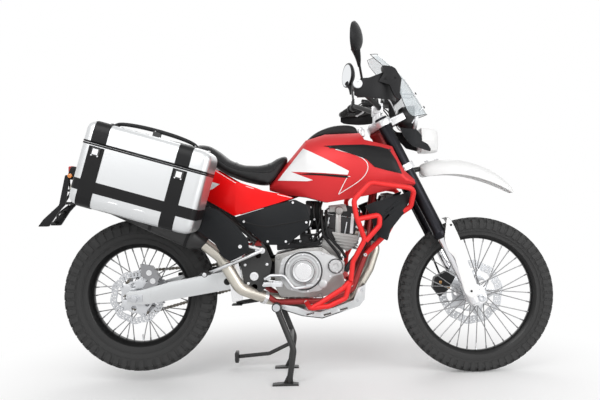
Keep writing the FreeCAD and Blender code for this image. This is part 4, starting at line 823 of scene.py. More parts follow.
class RepeatTree:
    """A geometry tree that repeats a mesh at places and gives it one surface."""

    NAME = "repeat"
    INPUTS: dict[str, str] = {}

    @staticmethod
    def places(graph: Graph, given: bpy.types.NodeOutputs) -> tuple[bpy.types.NodeSocket, ...]:
        """The sockets for the copies' points and rotations."""
        raise NotImplementedError

    @classmethod
    def tree(cls) -> bpy.types.NodeTree:
        """Builds the tree, or finds it.

        Returns:
            The node tree, with inputs Geometry, those in INPUTS and Surface.
        """
        known = bpy.data.node_groups.get(cls.NAME)
        if known is not None:
            return known
        tree = bpy.data.node_groups.new(cls.NAME, "GeometryNodeTree")
        for name, kind in {"Geometry": "Geometry", **cls.INPUTS, "Surface": "Material"}.items():
            tree.interface.new_socket(name, in_out="INPUT", socket_type=f"NodeSocket{kind}")
        tree.interface.new_socket("Geometry", in_out="OUTPUT", socket_type="NodeSocketGeometry")
        graph = Graph(tree)
        given = graph.add("NodeGroupInput").outputs
        points, rotation = cls.places(graph, given)
        copies = graph.add("GeometryNodeInstanceOnPoints", {"Points": points, "Instance": given["Geometry"],
                                                            "Rotation": rotation})
        real = graph.add("GeometryNodeRealizeInstances", {0: copies.outputs[0]})
        surface = graph.add("GeometryNodeSetMaterial",
                            {"Geometry": real.outputs[0], "Material": given["Surface"]})
        graph.add("NodeGroupOutput", {0: surface.outputs[0]})
        return tree


class SpinTree(RepeatTree):
    """Repeats a mesh in a ring about an axle along Y."""

    NAME = "spin_repeat"
    INPUTS = {"Count": "Int", "Centre": "Vector", "Start": "Float"}

    @staticmethod
    def places(graph: Graph, given: bpy.types.NodeOutputs) -> tuple[bpy.types.NodeSocket, ...]:
        """All points at the centre, each with its share of a full turn."""
        points = graph.add("GeometryNodePoints", {"Count": given["Count"], "Position": given["Centre"]})
        step = graph.add("ShaderNodeMath", {0: 2 * pi, 1: given["Count"]}, operation="DIVIDE")
        index = graph.add("GeometryNodeInputIndex")
        turn = graph.add("ShaderNodeMath", {0: index.outputs[0], 1: step.outputs[0], 2: given["Start"]},
                         operation="MULTIPLY_ADD")
        return points.outputs[0], graph.add("ShaderNodeCombineXYZ", {"Y": turn.outputs[0]}).outputs[0]


class TrackTree(RepeatTree):
    """Repeats a mesh along a closed track read from another object."""

    NAME = "track_repeat"
    INPUTS = {"Track": "Object", "Count": "Int"}

    @staticmethod
    def places(graph: Graph, given: bpy.types.NodeOutputs) -> tuple[bpy.types.NodeSocket, ...]:
        """Points evenly spaced on the track, turned to its direction."""
        track = graph.add("GeometryNodeObjectInfo", {"Object": given["Track"]})
        stops = graph.add("GeometryNodeCurveToPoints", {"Curve": track.outputs["Geometry"],
                                                        "Count": given["Count"]}, mode="COUNT")
        aim = graph.add("FunctionNodeAlignRotationToVector", {"Vector": stops.outputs["Tangent"]},
                        axis="X", pivot_axis="Y")
        return stops.outputs["Points"], aim.outputs["Rotation"]


def repeated(shape: Shape, name: str, body: str, tree: type[RepeatTree], values: dict[str, object],
             replaces: Sequence[str] = ()) -> bpy.types.Object:
    """Repeats a shape, made round the origin, by a geometry tree.

    Args:
        shape: The shape.
        name: The piece's name.
        body: The body it rides on.
        tree: The tree's class.
        values: The tree's inputs by name, apart from its surface.
        replaces: The frame's nodes that it stands for.

    Returns:
        The finished object, as plain mesh.
    """
    finish = shape.finishes[0]
    made = shape.plain(name)
    modifier = made.modifiers.new("Repeat", "NODES")
    modifier.node_group = tree.tree()
    values = {**values, "Surface": finish.material()}
    for item in modifier.node_group.interface.items_tree:
        if item.item_type == "SOCKET" and item.in_out == "INPUT" and item.name in values:
            modifier[item.identifier] = values[item.name]
    settle(made)
    return finished(made, body, replaces, 40.0)


# Wheels

@dataclass
class Wheel:
    """A spoked wheel with its tyre, hub and brake disc."""

    end: str
    centre: Vector
    outer: float
    half: float
    flange: float
    inner: float
    rim_half: float
    hub_radius: float
    hub_flange: float
    hub_half: float
    blocks: int
    block_rows: tuple[tuple[float, float, float], ...]
    spoke_count: int = 36
    spoke_radius: float = 2.2
    block_depth: float = 10.5

    @property
    def body(self) -> str:
        """The body that the wheel rides on."""
        return f"{self.end}_wheel"

    def crown(self, across: float) -> float:
        """The carcass radius at a distance from the middle plane."""
        share = min(1.0, abs(across) / self.half)
        drop = (self.outer - self.flange) * 0.34
        return self.outer - self.block_depth - drop * (1 - sqrt(max(0.0, 1 - share ** 2.6)))

    def tyre(self) -> None:
        """The carcass, its bead lines and the tread blocks."""
        half = self.half
        side = [(self.rim_half + 1, self.flange - 10), (self.rim_half + 4, self.flange + 2),
                (half * 0.82, self.flange + (self.outer - self.flange) * 0.22),
                (half * 0.91, self.flange + (self.outer - self.flange) * 0.42),
                (half * 0.93, self.flange + (self.outer - self.flange) * 0.5)]
        side += [(half * share, self.crown(half * share)) for share in (0.91, 0.8, 0.6, 0.35, 0.0)]
        inner = [(self.rim_half - 4, self.flange - 10), (half * 0.8, self.flange + 22),
                 (half * 0.5, self.outer - 22), (0, self.outer - 19)]
        outline = side + [(-y, r) for y, r in reversed(side[:-1])]
        outline += [(-y, r) for y, r in inner] + [(y, r) for y, r in reversed(inner[:-1])]
        shape = Shape().use(TYRE).turned(outline, self.centre, segments=128, ring=True)
        for across in SIDES:
            for rise in (0.12, 0.17, 0.36):
                radius = self.flange + (self.outer - self.flange) * rise
                y = across * (half * (0.87 if rise > 0.3 else 0.76))
                shape.turned([(y - 1.5, radius - 2.2), (y + across * 2.4, radius), (y - 1.5, radius + 2.2)],
                             self.centre, segments=96, ring=True)
        shape.piece(f"{self.end}_tyre_carcass", self.body, [f"{self.end}_tyre"], sharp=40)
        pitch = 2 * pi / self.blocks
        for row, (low, high, shift) in enumerate(self.block_rows):
            block = Shape().use(TYRE)
            for across in SIDES:
                phase = pitch * (shift if across > 0 else shift + 0.5)
                self.block(block, (across * low, across * high), phase, pitch * 0.3,
                           17.0 if row == 2 else 3.0)
            self.spin(block, f"{self.end}_tread_{row}", self.blocks)

    def spin(self, shape: Shape, name: str, count: int, start: float = 0.0,
             replaces: Sequence[str] = ()) -> None:
        """Repeats a shape round the axle.

        Args:
            shape: The shape, with the axle at the origin.
            name: The piece's name.
            count: How many copies.
            start: The first copy's turn in radians.
            replaces: The frame's nodes that it stands for.
        """
        values = {"Count": count, "Centre": tuple(self.centre * MM), "Start": start}
        repeated(shape, name, self.body, SpinTree, values, replaces)

    def block(self, shape: Shape, span: Pair, phase: float, reach: float, root: float) -> None:
        """One tread block.

        Args:
            shape: The mesh it is added to.
            span: Where it starts and ends across the tyre.
            phase: Its middle round the tyre in radians.
            reach: Half its length in radians.
            root: How far it reaches into the carcass.
        """
        levels = []
        middle, width = (span[0] + span[1]) / 2, (span[1] - span[0]) / 2
        for lift, shrink in ((-root, 1.0), (self.block_depth * 0.8, 0.95), (self.block_depth, 0.88)):
            ring = []
            for across, along in ((-1, -1), (1, -1), (1, 1), (-1, 1)):
                y = middle + width * across * shrink
                radius = self.crown(y) + lift
                turn = phase + reach * along * shrink
                ring.append((radius * cos(turn), y, radius * sin(turn)))
            levels.append(ring)
        shape.loft(levels)

    def rim(self) -> None:
        """The rim with its rolled flanges and the spoke nipples' seats."""
        h, flange, inner = self.rim_half, self.flange, self.inner
        outline = [(h, flange), (h + 1, flange - 4), (h - 1, flange - 10), (h * 0.86, flange - 14),
                   (h * 0.62, inner + 7), (h * 0.35, inner + 1), (0, inner), (-h * 0.35, inner + 1),
                   (-h * 0.62, inner + 7), (-h * 0.86, flange - 14), (1 - h, flange - 10),
                   (-h - 1, flange - 4), (-h, flange), (2 - h, flange - 1), (4 - h, flange - 10),
                   (-h * 0.55, inner + 12), (0, inner + 5), (h * 0.55, inner + 12),
                   (h - 4, flange - 10), (h - 2, flange - 1)]
        shape = Shape().use(RIM_BLACK).turned(outline, self.centre, segments=128, ring=True)
        valve = self.centre + Vector((0, 0, -inner))
        shape.use(SATIN).turned([(0, 3.5), (6, 3.5), (7, 2.6), (24, 2.6), (26, 3.2), (30, 3.2), (31, 1)],
                                valve, (0, 0, 1), 10)
        shape.piece(f"{self.end}_rim_ring", self.body, [f"{self.end}_rim"], sharp=50)

    def spokes(self) -> None:
        """The laced spokes, a quarter of them in each repeat."""
        groups = 4
        flange_y = self.hub_half * 0.55
        for kind in range(groups):
            across = 1 if kind % 2 else -1
            lean = radians(34) * (1 if kind // 2 else -1)
            hub = self.hub_flange - 5
            start = Vector((hub * cos(lean), across * (flange_y + 2), -hub * sin(lean)))
            end = Vector((self.inner + 2, across * 6, 0))
            way = (end - start).normalized()
            shape = Shape().use(SPOKE).tube([start, end], self.spoke_radius, 8)
            shape.tube([end - way * 17, end - way * 15.5, end], 3.4, 6)
            shape.tube([start - Vector((0, across * 5, 0)), start + Vector((0, across * 2.5, 0))], 3.6, 8)
            self.spin(shape, f"{self.end}_spokes_{kind}", self.spoke_count // groups,
                      2 * pi * kind / self.spoke_count, [] if kind else [f"{self.end}_hub"])

    def hub(self) -> None:
        """The hub's barrel, flanges and bearings."""
        half, radius = self.hub_half, self.hub_radius
        flange_y = half * 0.55
        profile = [(-half, 12), (-half, radius * 0.8), (-half + 5, radius)]
        profile += [(-flange_y - 9, radius), (-flange_y - 3, self.hub_flange),
                    (-flange_y + 3, self.hub_flange),
                    (-flange_y + 10, radius * 0.94), (0, radius * 0.82), (flange_y - 10, radius * 0.94),
                    (flange_y - 3, self.hub_flange), (flange_y + 3, self.hub_flange),
                    (flange_y + 9, radius), (half - 5, radius), (half, radius * 0.8), (half, 12)]
        shape = Shape().use(HUB_SILVER).turned(profile, self.centre, segments=64)
        for across in SIDES:
            seat = self.centre + Vector((0, across * half, 0))
            shape.use(TRIM_BLACK).turned(oblong(-1, 1.6, 11, radius * 0.72),
                                         seat, (0, across, 0), 40, ring=True)
        shape.piece(f"{self.end}_hub_barrel", self.body, sharp=40)

    def wave_disc(self, radius: float, y: float, side: int) -> None:
        """A waved brake disc on a five-armed carrier.

        Args:
            radius: The disc's radius.
            y: Its middle plane.
            side: -1 for the right, 1 for the left.
        """
        waves, arms = 10, 5
        edge = [polar(radius - 3 + 3 * sin(waves * turn), turn) for turn in turns(160)]
        inner = [polar(radius * 0.74 + 2.5 * sin(waves * turn), turn) for turn in turns(160)]
        holes = [circle(size, *polar(radius * ring, turn), 8)
                 for ring, size in ((0.93, 3.4), (0.86, 3.6), (0.8, 3.2))
                 for turn in turns(40, 0.33 * (ring * 100 % 3))]
        place = Matrix.Translation(self.centre)
        Shape().use(STEEL).plate(edge, y - 2.4, y + 2.4, [inner, *holes], place=place).piece(
            f"{self.end}_disc_ring", self.body, [f"{self.end}_disc"], sharp=40)
        carrier = Shape().use(HUB_SILVER)
        rim = [polar(radius * (0.6 + 0.17 * max(0.0, cos(arms * turn)) ** 1.5), turn) for turn in turns(100)]
        hollow = [circle(radius * 0.1, *polar(radius * 0.44, turn), 16) for turn in turns(arms, 0.5)]
        cut = circle(self.hub_radius * 0.7, sides=40)
        carrier.plate(rim, *sorted((y - side * 5.0, y - side * 2.0)), [cut, *hollow], place=place)
        boss = self.hub_radius * 0.7
        carrier.turned([(self.hub_half, boss), (self.hub_half, boss + 14), (abs(y) - 4.6, boss + 10),
                        (abs(y) - 4.6, boss)], self.centre, (0, side, 0), 48, ring=True)
        for turn in turns(arms):
            x, z = polar(radius * 0.71, turn)
            carrier.bolt(self.centre + Vector((x, y + side * 2.4, z)), (0, side, 0), 6.5, 3)
        carrier.piece(f"{self.end}_disc_carrier", self.body, bevel=1.0)

    def build(self) -> None:
        """Builds the whole wheel."""
        self.tyre()
        self.rim()
        self.spokes()
        self.hub()


def wheels() -> None:
    """Both wheels, each with its disc."""
    front = Wheel("front", Vector((794, 0, 347.5)), 347.5, 46, 280, 251.5, 27, 30, 45, 58, 62,
                  ((3, 16, 0.0), (19, 31, 0.5), (34, 45.9, 0.15)))
    front.build()
    front.wave_disc(149.5, 74, 1)
    rear = Wheel("rear", Vector((-710.8, 0, 385.4)), 340.5, 71, 242, 211, 42, 40, 62, 70, 50,
                 ((4, 25, 0.0), (29, 48, 0.5), (52, 70.8, 0.15)), spoke_radius=2.3)
    rear.build()
    rear.wave_disc(119.5, -86, -1)


@dataclass
class Drive:
    """The chain and its sprockets."""

    rear: Vector = field(default_factory=lambda: Vector((-710.8, 92, 385.4)))
    front: Vector = field(default_factory=lambda: Vector((-118, 92, 478)))
    rear_radius: float = 98.0
    front_radius: float = 40.0
    teeth: int = 44
    pairs: int = 52
    pitch: float = 15.76

    def track(self) -> list[Vector]:
        """The chain's middle line as a closed loop."""
        span = self.front - self.rear
        lean = asin((self.rear_radius - self.front_radius) / span.length)
        way = span.normalized()
        up = Vector((-way.z, 0, way.x))
        points, open_turn, steps = [], pi / 2 - lean, 16
        for centre, radius, low, high in ((self.rear, self.rear_radius, open_turn, 2 * pi - open_turn),
                                          (self.front, self.front_radius, -open_turn, open_turn)):
            for step in range(steps + 1):
                turn = low + (high - low) * step / steps
                points.append(centre + way * (radius * cos(turn)) + up * (radius * sin(turn)))
        return points

    def chain(self) -> None:
        """Chain links that follow the track, inner and outer ones in turn."""
        points = self.track()
        reach = self.pitch / 2
        for kind, (across, height) in enumerate(((7.0, 6.6), (5.4, 6.0))):
            line = bpy.data.curves.new("chain_track", "CURVE")
            line.dimensions = "3D"
            run = line.splines.new("POLY")
            run.points.add(len(points) - 1)
            for slot, point in zip(run.points, points):
                slot.co = (*(point * MM), 1)
            run.use_cyclic_u = True
            track = bpy.data.objects.new("chain_track", line)
            bpy.context.scene.collection.objects.link(track)
            shape = Shape().use(CHAIN)
            for side in SIDES:
                outline = [(-reach - height * 0.8, 0), (-reach - 3, height), (-reach + 4, height),
                           (0, height * 0.62), (reach - 4, height), (reach + 3, height),
                           (reach + height * 0.8, 0), (reach + 3, -height), (reach - 4, -height),
                           (0, -height * 0.62), (-reach + 4, -height), (-reach - 3, -height)]
                shape.plate(outline, side * across - 0.8, side * across + 0.8)
            for end in SIDES:
                shape.turned(oblong(-8.2, 8.2, 0, 2.6), (end * reach, 0, 0), segments=8)
            if kind:
                shape.turned(oblong(-5, 5, 0, 4.8), (reach, 0, 0), segments=10)
            repeated(shape, f"chain_links_{kind}", "chassis", TrackTree,
                     {"Track": track, "Count": self.pairs}, [] if kind else ["chain"])
            bpy.data.objects.remove(track)
            bpy.data.curves.remove(line)
            points = [points[0].lerp(points[-1], self.pitch / (points[0] - points[-1]).length), *points]

    def sprocket(self) -> None:
        """The rear sprocket with its teeth and windows, on a dark carrier ring."""
        edge = [polar(self.rear_radius + (3.5, 0.5, -5.5, 0.5)[index % 4], turn)
                for index, turn in enumerate(turns(self.teeth * 4))]
        windows = [circle(44, sides=40)] + [circle(12, *polar(72, turn), 16) for turn in turns(8)]
        place = Matrix.Translation((self.rear.x, 0, self.rear.z))
        shape = Shape().use(STEEL).plate(edge, 88.5, 95.5, windows, place=place)
        shape.use(BLACK_METAL).turned([(70.3, 34), (70.3, 52), (88.4, 58), (88.4, 34)],
                                      (self.rear.x, 0, self.rear.z), segments=48, ring=True)
        shape.piece("sprocket_teeth", "rear_wheel", ["rear_sprocket"], sharp=40)

    def build(self) -> None:
        """Builds the chain and the rear sprocket."""
        self.chain()
        self.sprocket()


# Front end

FORK_CENTRE = Vector((794, 0, 347.5))
RAKE = radians(25.8)
FORK_UP = Vector((-sin(RAKE), 0, cos(RAKE)))
FORK_AHEAD = Vector((cos(RAKE), 0, sin(RAKE)))
FORK_PLACE = Matrix(((FORK_AHEAD.x, 0, FORK_UP.x, FORK_CENTRE.x), (0, 1, 0, 0),
                     (FORK_AHEAD.z, 0, FORK_UP.z, FORK_CENTRE.z), (0, 0, 0, 1)))


def fork_point(ahead: float, y: float, up: float) -> Vector:
    """A point given by how far it lies before the axle's line, across and up the fork."""
    return FORK_CENTRE + FORK_AHEAD * ahead + Vector((0, y, 0)) + FORK_UP * up


def bar_point(y: float) -> Vector:
    """A point of the handlebar's outer straight at a distance across."""
    share = (abs(y) - 200) / 192
    return Vector((296 - 49 * share, y, 1238 - 12 * share))


@dataclass
class Fork:
    """Fork tubes, clamps, guards, mudguard, caliper and hose."""

    half_spacing: float = 105.0
    lead: float = -32.4

    def clamps(self) -> None:
        """The two forged clamps with their pinch bolts."""
        shape = Shape().use(SATIN)
        for level in (655.0, 871.4):
            front, rear, back = self.lead + 37, self.lead - 35, self.lead - 58
            edge = self.half_spacing + 37
            half = [(front, 83), (front, 119), (self.lead + 20, edge - 3), (self.lead - 14, edge),
                    (rear, 115), (rear, 85), (back, 30)]
            outline = rounded(half + [(x, -y) for x, y in reversed(half)] + [(self.lead - 4, -60),
                                                                             (self.lead - 4, 60)], 9)
            holes = [circle(28.4, self.lead, side * self.half_spacing, 48) for side in SIDES]
            shape.plate(outline, level - 14, level + 14, holes, "XY", FORK_PLACE)
            for side in SIDES:
                for lift in (-7, 7):
                    seat = fork_point(self.lead - 12, side * (edge - 1), level + lift)
                    shape.bolt(seat, (0, side, 0), 4.4, 4)
        shape.turned([(-216, 14), (24, 14), (24, 10)], fork_point(-64.4, 0, 871.4), FORK_UP, 24)
        shape.turned([(14, 0), (14, 21), (20, 21), (22, 18), (22, 0)], fork_point(-64.4, 0, 871.4), FORK_UP,
                     6)
        shape.piece("forged_clamps", "steering", ["triple_clamps"], bevel=1.6)
        mount = Shape().use(SATIN)
        for side in SIDES:
            mount.plate([(self.lead + 30, 842), (self.lead + 30, 874), (self.lead + 96, 872),
                         (self.lead + 96, 843)], *span(side, 92, 122), place=FORK_PLACE)
        mount.piece("lamp_mounts", "steering", bevel=2.0)

    def tubes(self) -> None:
        """Black outer tubes with collars, seals and preload caps."""
        shape = Shape().use(TUBE_BLACK)
        for side in SIDES:
            base = fork_point(self.lead, side * self.half_spacing, 0)
            shape.use(TUBE_BLACK).turned(
                [(317, 22), (317, 30), (319, 31), (340, 31), (343, 30), (346, 28), (560, 28), (640, 28),
                 (892, 28), (896, 26), (896, 16)], base, FORK_UP, 48)
            shape.use(HOSE).turned([(311, 21.8), (311, 27), (313, 29), (317, 29), (317, 21.8)], base,
                                   FORK_UP, 40, ring=True)
            shape.use(SATIN).turned([(896, 0), (896, 18), (902, 18), (904, 16.5), (904, 9), (899, 8),
                                     (899, 0)], base, FORK_UP, 6)
        shape.piece("fork_tubes", "steering", ["fork_outers"], sharp=40)

    def legs(self) -> None:
        """Chrome stanchions, cast axle lugs, the axle and its nuts."""
        shape = Shape()
        for side in SIDES:
            across = side * self.half_spacing
            base = fork_point(self.lead, across, 0)
            shape.use(CHROME).turned(oblong(60, 312, 18, 21.5), base, FORK_UP, 40)
            shape.use(SATIN).turned([(-10, 20), (-10, 24), (-6, 26.5), (86, 26.5), (92, 24), (92, 21.6)],
                                    base, FORK_UP, 40)
            outline = rounded([(-50, 40), (-50, -14), (-18, -26), (6, -24), (22, -8), (22, 10), (8, 26),
                               (-12, 78), (-32, 86)], 9)
            shape.plate(outline, across - 16, across + 16, [circle(9.7)], place=FORK_PLACE)
            for lift in (-14, 16):
                shape.bolt(fork_point(-40, across + side * 16, lift), (0, side, 0), 4.4, 4)
            shape.use(STEEL).turned([(100, 0), (100, 9.5), (121, 9.5), (121, 16), (126, 16), (127, 14),
                                     (127, 8), (122, 7), (122, 0)], FORK_CENTRE, (0, side, 0), 24)
            shape.turned(oblong(58.5, 97, 12, 15.5), FORK_CENTRE, (0, side, 0), 24)
        shape.turned(oblong(-100, 100, 0, 9.4), FORK_CENTRE, segments=24)
        shape.piece("stanchions_and_lugs", "steering", ["fork_lowers"], bevel=0.8)

    def guards(self) -> None:
        """White guards curved round the front of each stanchion."""
        edge = [(648, 703), (663, 690), (700, 610), (733, 505), (766, 418), (775, 372), (768, 352),
                (742, 350), (716, 372), (692, 470), (676, 528), (650, 556), (634, 606)]
        shape = Shape().use(WHITE)
        shape.plate(rounded(edge, 12), -137, -133.4)
        front = curve_through([(649, 702), (664, 690), (700, 610), (733, 505), (766, 418), (774, 372)], 4)
        rings = []
        for point in front:
            x, z = point.x, point.y
            rings.append([(x, -137, z), (x + 1.5, -126, z + 0.5), (x - 1, -112, z), (x - 6, -98, z - 2),
                          (x - 14, -88, z - 5), (x - 16.5, -90, z - 6), (x - 9, -99, z - 3.4),
                          (x - 4.5, -111, z - 1.4), (x - 2, -125, z - 1), (x - 3.6, -133.4, z - 1)])
        shape.loft(rings)
        shape.use(TRIM_BLACK)
        shape.bolts(((664, 668), (745, 380)), -137, -1, 5, 3)
        shape.mirrored().piece("stanchion_guards", "steering", ["fork_guards"], bevel=1.0, sharp=50)

    def mudguard(self) -> None:
        """The long pale mudguard with its bracket, on four bolts."""
        stations = [(556, 898, -14, 46, 34, 22), (588, 908, -10, 58, 40, 25), (620, 914, -6, 66, 44, 26),
                    (700, 918, 0, 74, 44, 26), (780, 904, 8, 74, 42, 24), (860, 876, 17, 66, 36, 20),
                    (930, 836, 28, 52, 26, 12), (962, 811, 33, 38, 17, 6), (975, 799, 36, 22, 9, 3)]
        rings = []
        for x, z, tilt, half, rise, drop in stations:
            lean = radians(tilt)
            outer = [(-half, -drop), (-half, -drop * 0.3), (-half * 0.93, rise * 0.3),
                     (-half * 0.72, rise * 0.68), (-half * 0.42, rise * 0.9), (-half * 0.3, rise * 0.99),
                     (0, rise), (half * 0.3, rise * 0.99), (half * 0.42, rise * 0.9),
                     (half * 0.72, rise * 0.68),
                     (half * 0.93, rise * 0.3), (half, -drop * 0.3), (half, -drop)]
            inner = [(y * (1 - 3 / half), up - 3.4 * (0.3 if abs(y) > half * 0.9 else 1.0))
                     for y, up in reversed(outer)]
            rings.append([(x + up * sin(lean), y, z + up * cos(lean)) for y, up in outer + inner])
        shape = Shape().use(WHITE).loft(rings)
        shape.use(BLACK_METAL).plate([(464, 893), (560, 905), (590, 914), (590, 931), (540, 931), (512, 922),
                                      (464, 905)], -30, 30)
        shape.use(STEEL)
        for x, z in ((590, 953), (636, 960)):
            for side in SIDES:
                shape.bolt((x, side * 22, z - 2), (0.05, 0, 1), 5.5, 3.5)
        shape.piece("mudguard", "steering", ["front_fender"], levels=1, sharp=60)

    def brake(self) -> None:
        """The front caliper and its hose."""
        dress("front_caliper", CALIPER_BLACK)
        pins = Shape().use(BRONZE)
        for x, z in ((652, 398), (688, 372)):
            pins.turned([(0, 0), (0, 7), (4, 7), (5, 5.5), (5, 0)], (x, 56, z), (0, -1, 0), 20)
        pins.piece("caliper_pins", "steering", sharp=40)
        path = [fork_point(*point) for point in ((-58, 84, 640.7), (-62, 80, 520), (-63, 78, 400),
                                                 (-62, 80, 300), (-80, 90, 220), (-88, 82, 142))]
        Shape().use(HOSE).tube(bent(path, 60), 4.5, 12).piece("brake_hose", "steering",
                                                              ["front_brake_hose"], sharp=60)

    def build(self) -> None:
        """Builds the whole front fork."""
        self.clamps()
        self.tubes()
        self.legs()
        self.guards()
        self.mudguard()
        self.brake()


@dataclass
class Cockpit:
    """Handlebar, controls, hand guards, mirrors, lamp, screen and instruments."""

    bar_half: float = 392.0

    def handlebar(self) -> None:
        """The wide bar with its risers and grips."""
        half = self.bar_half
        points = [(247, -half, 1226), (296, -200, 1238), (374, -90, 1190), (374, 90, 1190),
                  (296, 200, 1238), (247, half, 1226)]
        shape = Shape().use(BLACK_METAL).tube(bent(points, 60), 11, 20)
        for side in SIDES:
            shape.use(SATIN).tube([fork_point(-40.4, side * 50, 886), (374, side * 50, 1184)], 14.5, 20)
            shape.block((-19, -16, -21), (19, 16, 21), Matrix.Translation((374, side * 50, 1190)))
            for x in (-13, 13):
                shape.bolt((374 + x, side * 50, 1211), (0, 0, 1), 4.2, 4)
        shape.piece("bar_and_risers", "steering", ["handlebar"], bevel=1.5)
        self.grips()

    def grips(self) -> None:
        """Ribbed rubber grips and the switch housings."""
        shape = Shape()
        for side in SIDES:
            start, end = bar_point(side * 272), bar_point(side * 391)
            way = (end - start).normalized()
            length = (end - start).length
            profile = [(0, 12), (0, 19), (3, 19.5), (6, 16.5)]
            ribs = 24
            for index in range(ribs):
                along = 8 + (length - 16) * index / ribs
                profile += [(along, 16.9), (along + 2.2, 16.9), (along + 2.6, 15.8), (along + 3.6, 15.8)]
            profile += [(length - 2, 17), (length, 15.5), (length, 12)]
            shape.use(RUBBER).turned(profile, start, way, 28, ring=True)
            inner = bar_point(side * 249)
            shape.use(PLASTIC).turned([(0, 12), (0, 20), (3, 22), (20, 22), (23, 20), (23, 12)], inner, way,
                                      28, ring=True)
            shape.block(tuple(inner + Vector((-21, min(0, side * 20), -25))),
                        tuple(inner + Vector((16, max(0, side * 20), 8))))
            for lift in (-18, -8, 3):
                shape.bolt(inner + Vector((-21, side * 10, lift)), (-1, 0, 0), 3.2, 3)
        shape.piece("grips_and_switches", "steering", ["grips"], bevel=0.8, sharp=50)

    def levers(self) -> None:
        """Both levers on their perches, the master cylinder and its reservoir."""
        shape = Shape()
        for side in SIDES:
            start = bar_point(side * 235)
            way = (bar_point(side * 248) - bar_point(side * 222)).normalized()
            shape.use(BLACK_METAL).turned([(0, 12), (0, 17), (2, 18), (24, 18), (26, 17), (26, 12)],
                                          bar_point(side * 222), way, 28, ring=True)
            shape.block((-2, -9, -6), (20, 9, 4), Matrix.Translation(start + Vector((14, 0, 0))))
            blade = curve_through([start + Vector(place) for place in
                                   ((16, 0, -2), (42, side * 10, -6), (54, side * 40, -10),
                                    (51, side * 90, -14), (40, side * 130, -17), (29, side * 158, -20))], 5)
            shape.use(SATIN).tube(blade, lambda share: 6.4 - 2.4 * share + (2.2 if share > 0.95 else 0), 12,
                                  flat=0.72)
        start = bar_point(-235)
        shape.use(BLACK_METAL).tube([start + Vector((10, 3, 11)), start + Vector((14, 62, 24))], 10, 18)
        base = start + Vector((14, 42, 20))
        shape.use(PLASTIC).turned([(0, 0), (0, 15), (4, 18), (34, 18), (34, 19.5), (42, 19.5), (43, 17),
                                   (43, 0)], base, (0, 0, 1), 32)
        for turn in (0.8, 2.4, 3.9, 5.5):
            shape.bolt(base + Vector((14 * cos(turn), 14 * sin(turn), 43)), (0, 0, 1), 2.4, 1.6)
        shape.piece("levers_and_reservoir", "steering", ["levers"], bevel=0.6, sharp=50)
        cables = Shape()
        for side, reach, finish in ((-1, 0, HOSE), (-1, 16, SATIN), (1, 6, HOSE), (1, 22, HOSE)):
            cables.use(finish).tube(curve_through([
                bar_point(side * 226) + Vector((10, 0, 4)), (330 + reach, side * 176, 1246 + reach / 2),
                (398 + reach / 2, side * 128, 1222), (440, side * (96 - reach), 1160 + reach),
                (452, side * 62, 1108), (482, side * 40, 1082)], 6), 3.2, 8)
        cables.piece("control_cables", "steering", sharp=60)

    def hand_guards(self) -> None:
        """Long moulded blades before the grips, with a raised block in front."""
        plan = [(236, 428, 20, 1212, 90), (252, 439, 30, 1214, 94), (272, 444, 35, 1216, 100),
                (300, 444, 40, 1218, 110), (330, 440, 47, 1222, 122), (360, 424, 54, 1228, 136),
                (386, 400, 58, 1232, 148), (402, 368, 61, 1236, 160), (412, 330, 60, 1238, 170),
                (415, 298, 50, 1241, 176), (414, 268, 36, 1244, 180)]
        shape = Shape().use(PLASTIC)
        rings = []
        for x, y, half, z, turn in plan:
            across = Vector((cos(radians(turn)), sin(radians(turn)), 0)) * 4.6
            here = Vector((x, -y, z))
            ring = [here + Vector((0, 0, -half)), here + Vector((0, 0, -half * 0.55)) - across * 0.5,
                    here + Vector((0, 0, half * 0.1)) - across * 0.75,
                    here + Vector((0, 0, half * 0.62)) - across * 0.35, here + Vector((0, 0, half))]
            back = [point + across for point in reversed(ring)]
            rings.append(ring + back)
        shape.loft(rings)
        fin = [(352, 1273), (345, 1302), (381, 1298), (396, 1289), (419, 1248), (413, 1209), (408, 1166),
               (390, 1182), (372, 1226), (330, 1240)]
        shape.plate(rounded(fin, 4), -446, -430)
        shape.plate(rounded([(345, 1302), (381, 1298), (396, 1289), (419, 1248), (352, 1262)], 3), -432, -396)
        shape.use(BLACK_METAL).tube(bent([(247, -404, 1226), (262, -437, 1222), (330, -436, 1222),
                                          (398, -392, 1232), (404, -300, 1238), (330, -226, 1234)], 34), 6,
                                    12)
        end = bar_point(-self.bar_half)
        way = Vector((-0.1, -0.97, 0.1)).normalized()
        shape.turned([(2, 0), (2, 15), (16, 16), (36, 16), (36, 0)], end, way, 32)
        shape.use(SATIN).turned([(0, 0), (0, 17), (2, 18), (6, 18), (8, 15), (8, 7), (6, 6), (6, 0)],
                                (249, -445, 1233), (0, -1, 0), 32)
        shape.use(TRIM_BLACK).bolts(((356, 1250), (396, 1252)), -446, -1, 4, 2.4)
        shape.mirrored().piece("hand_shields", "steering", ["hand_guards"], bevel=1.6, sharp=42)

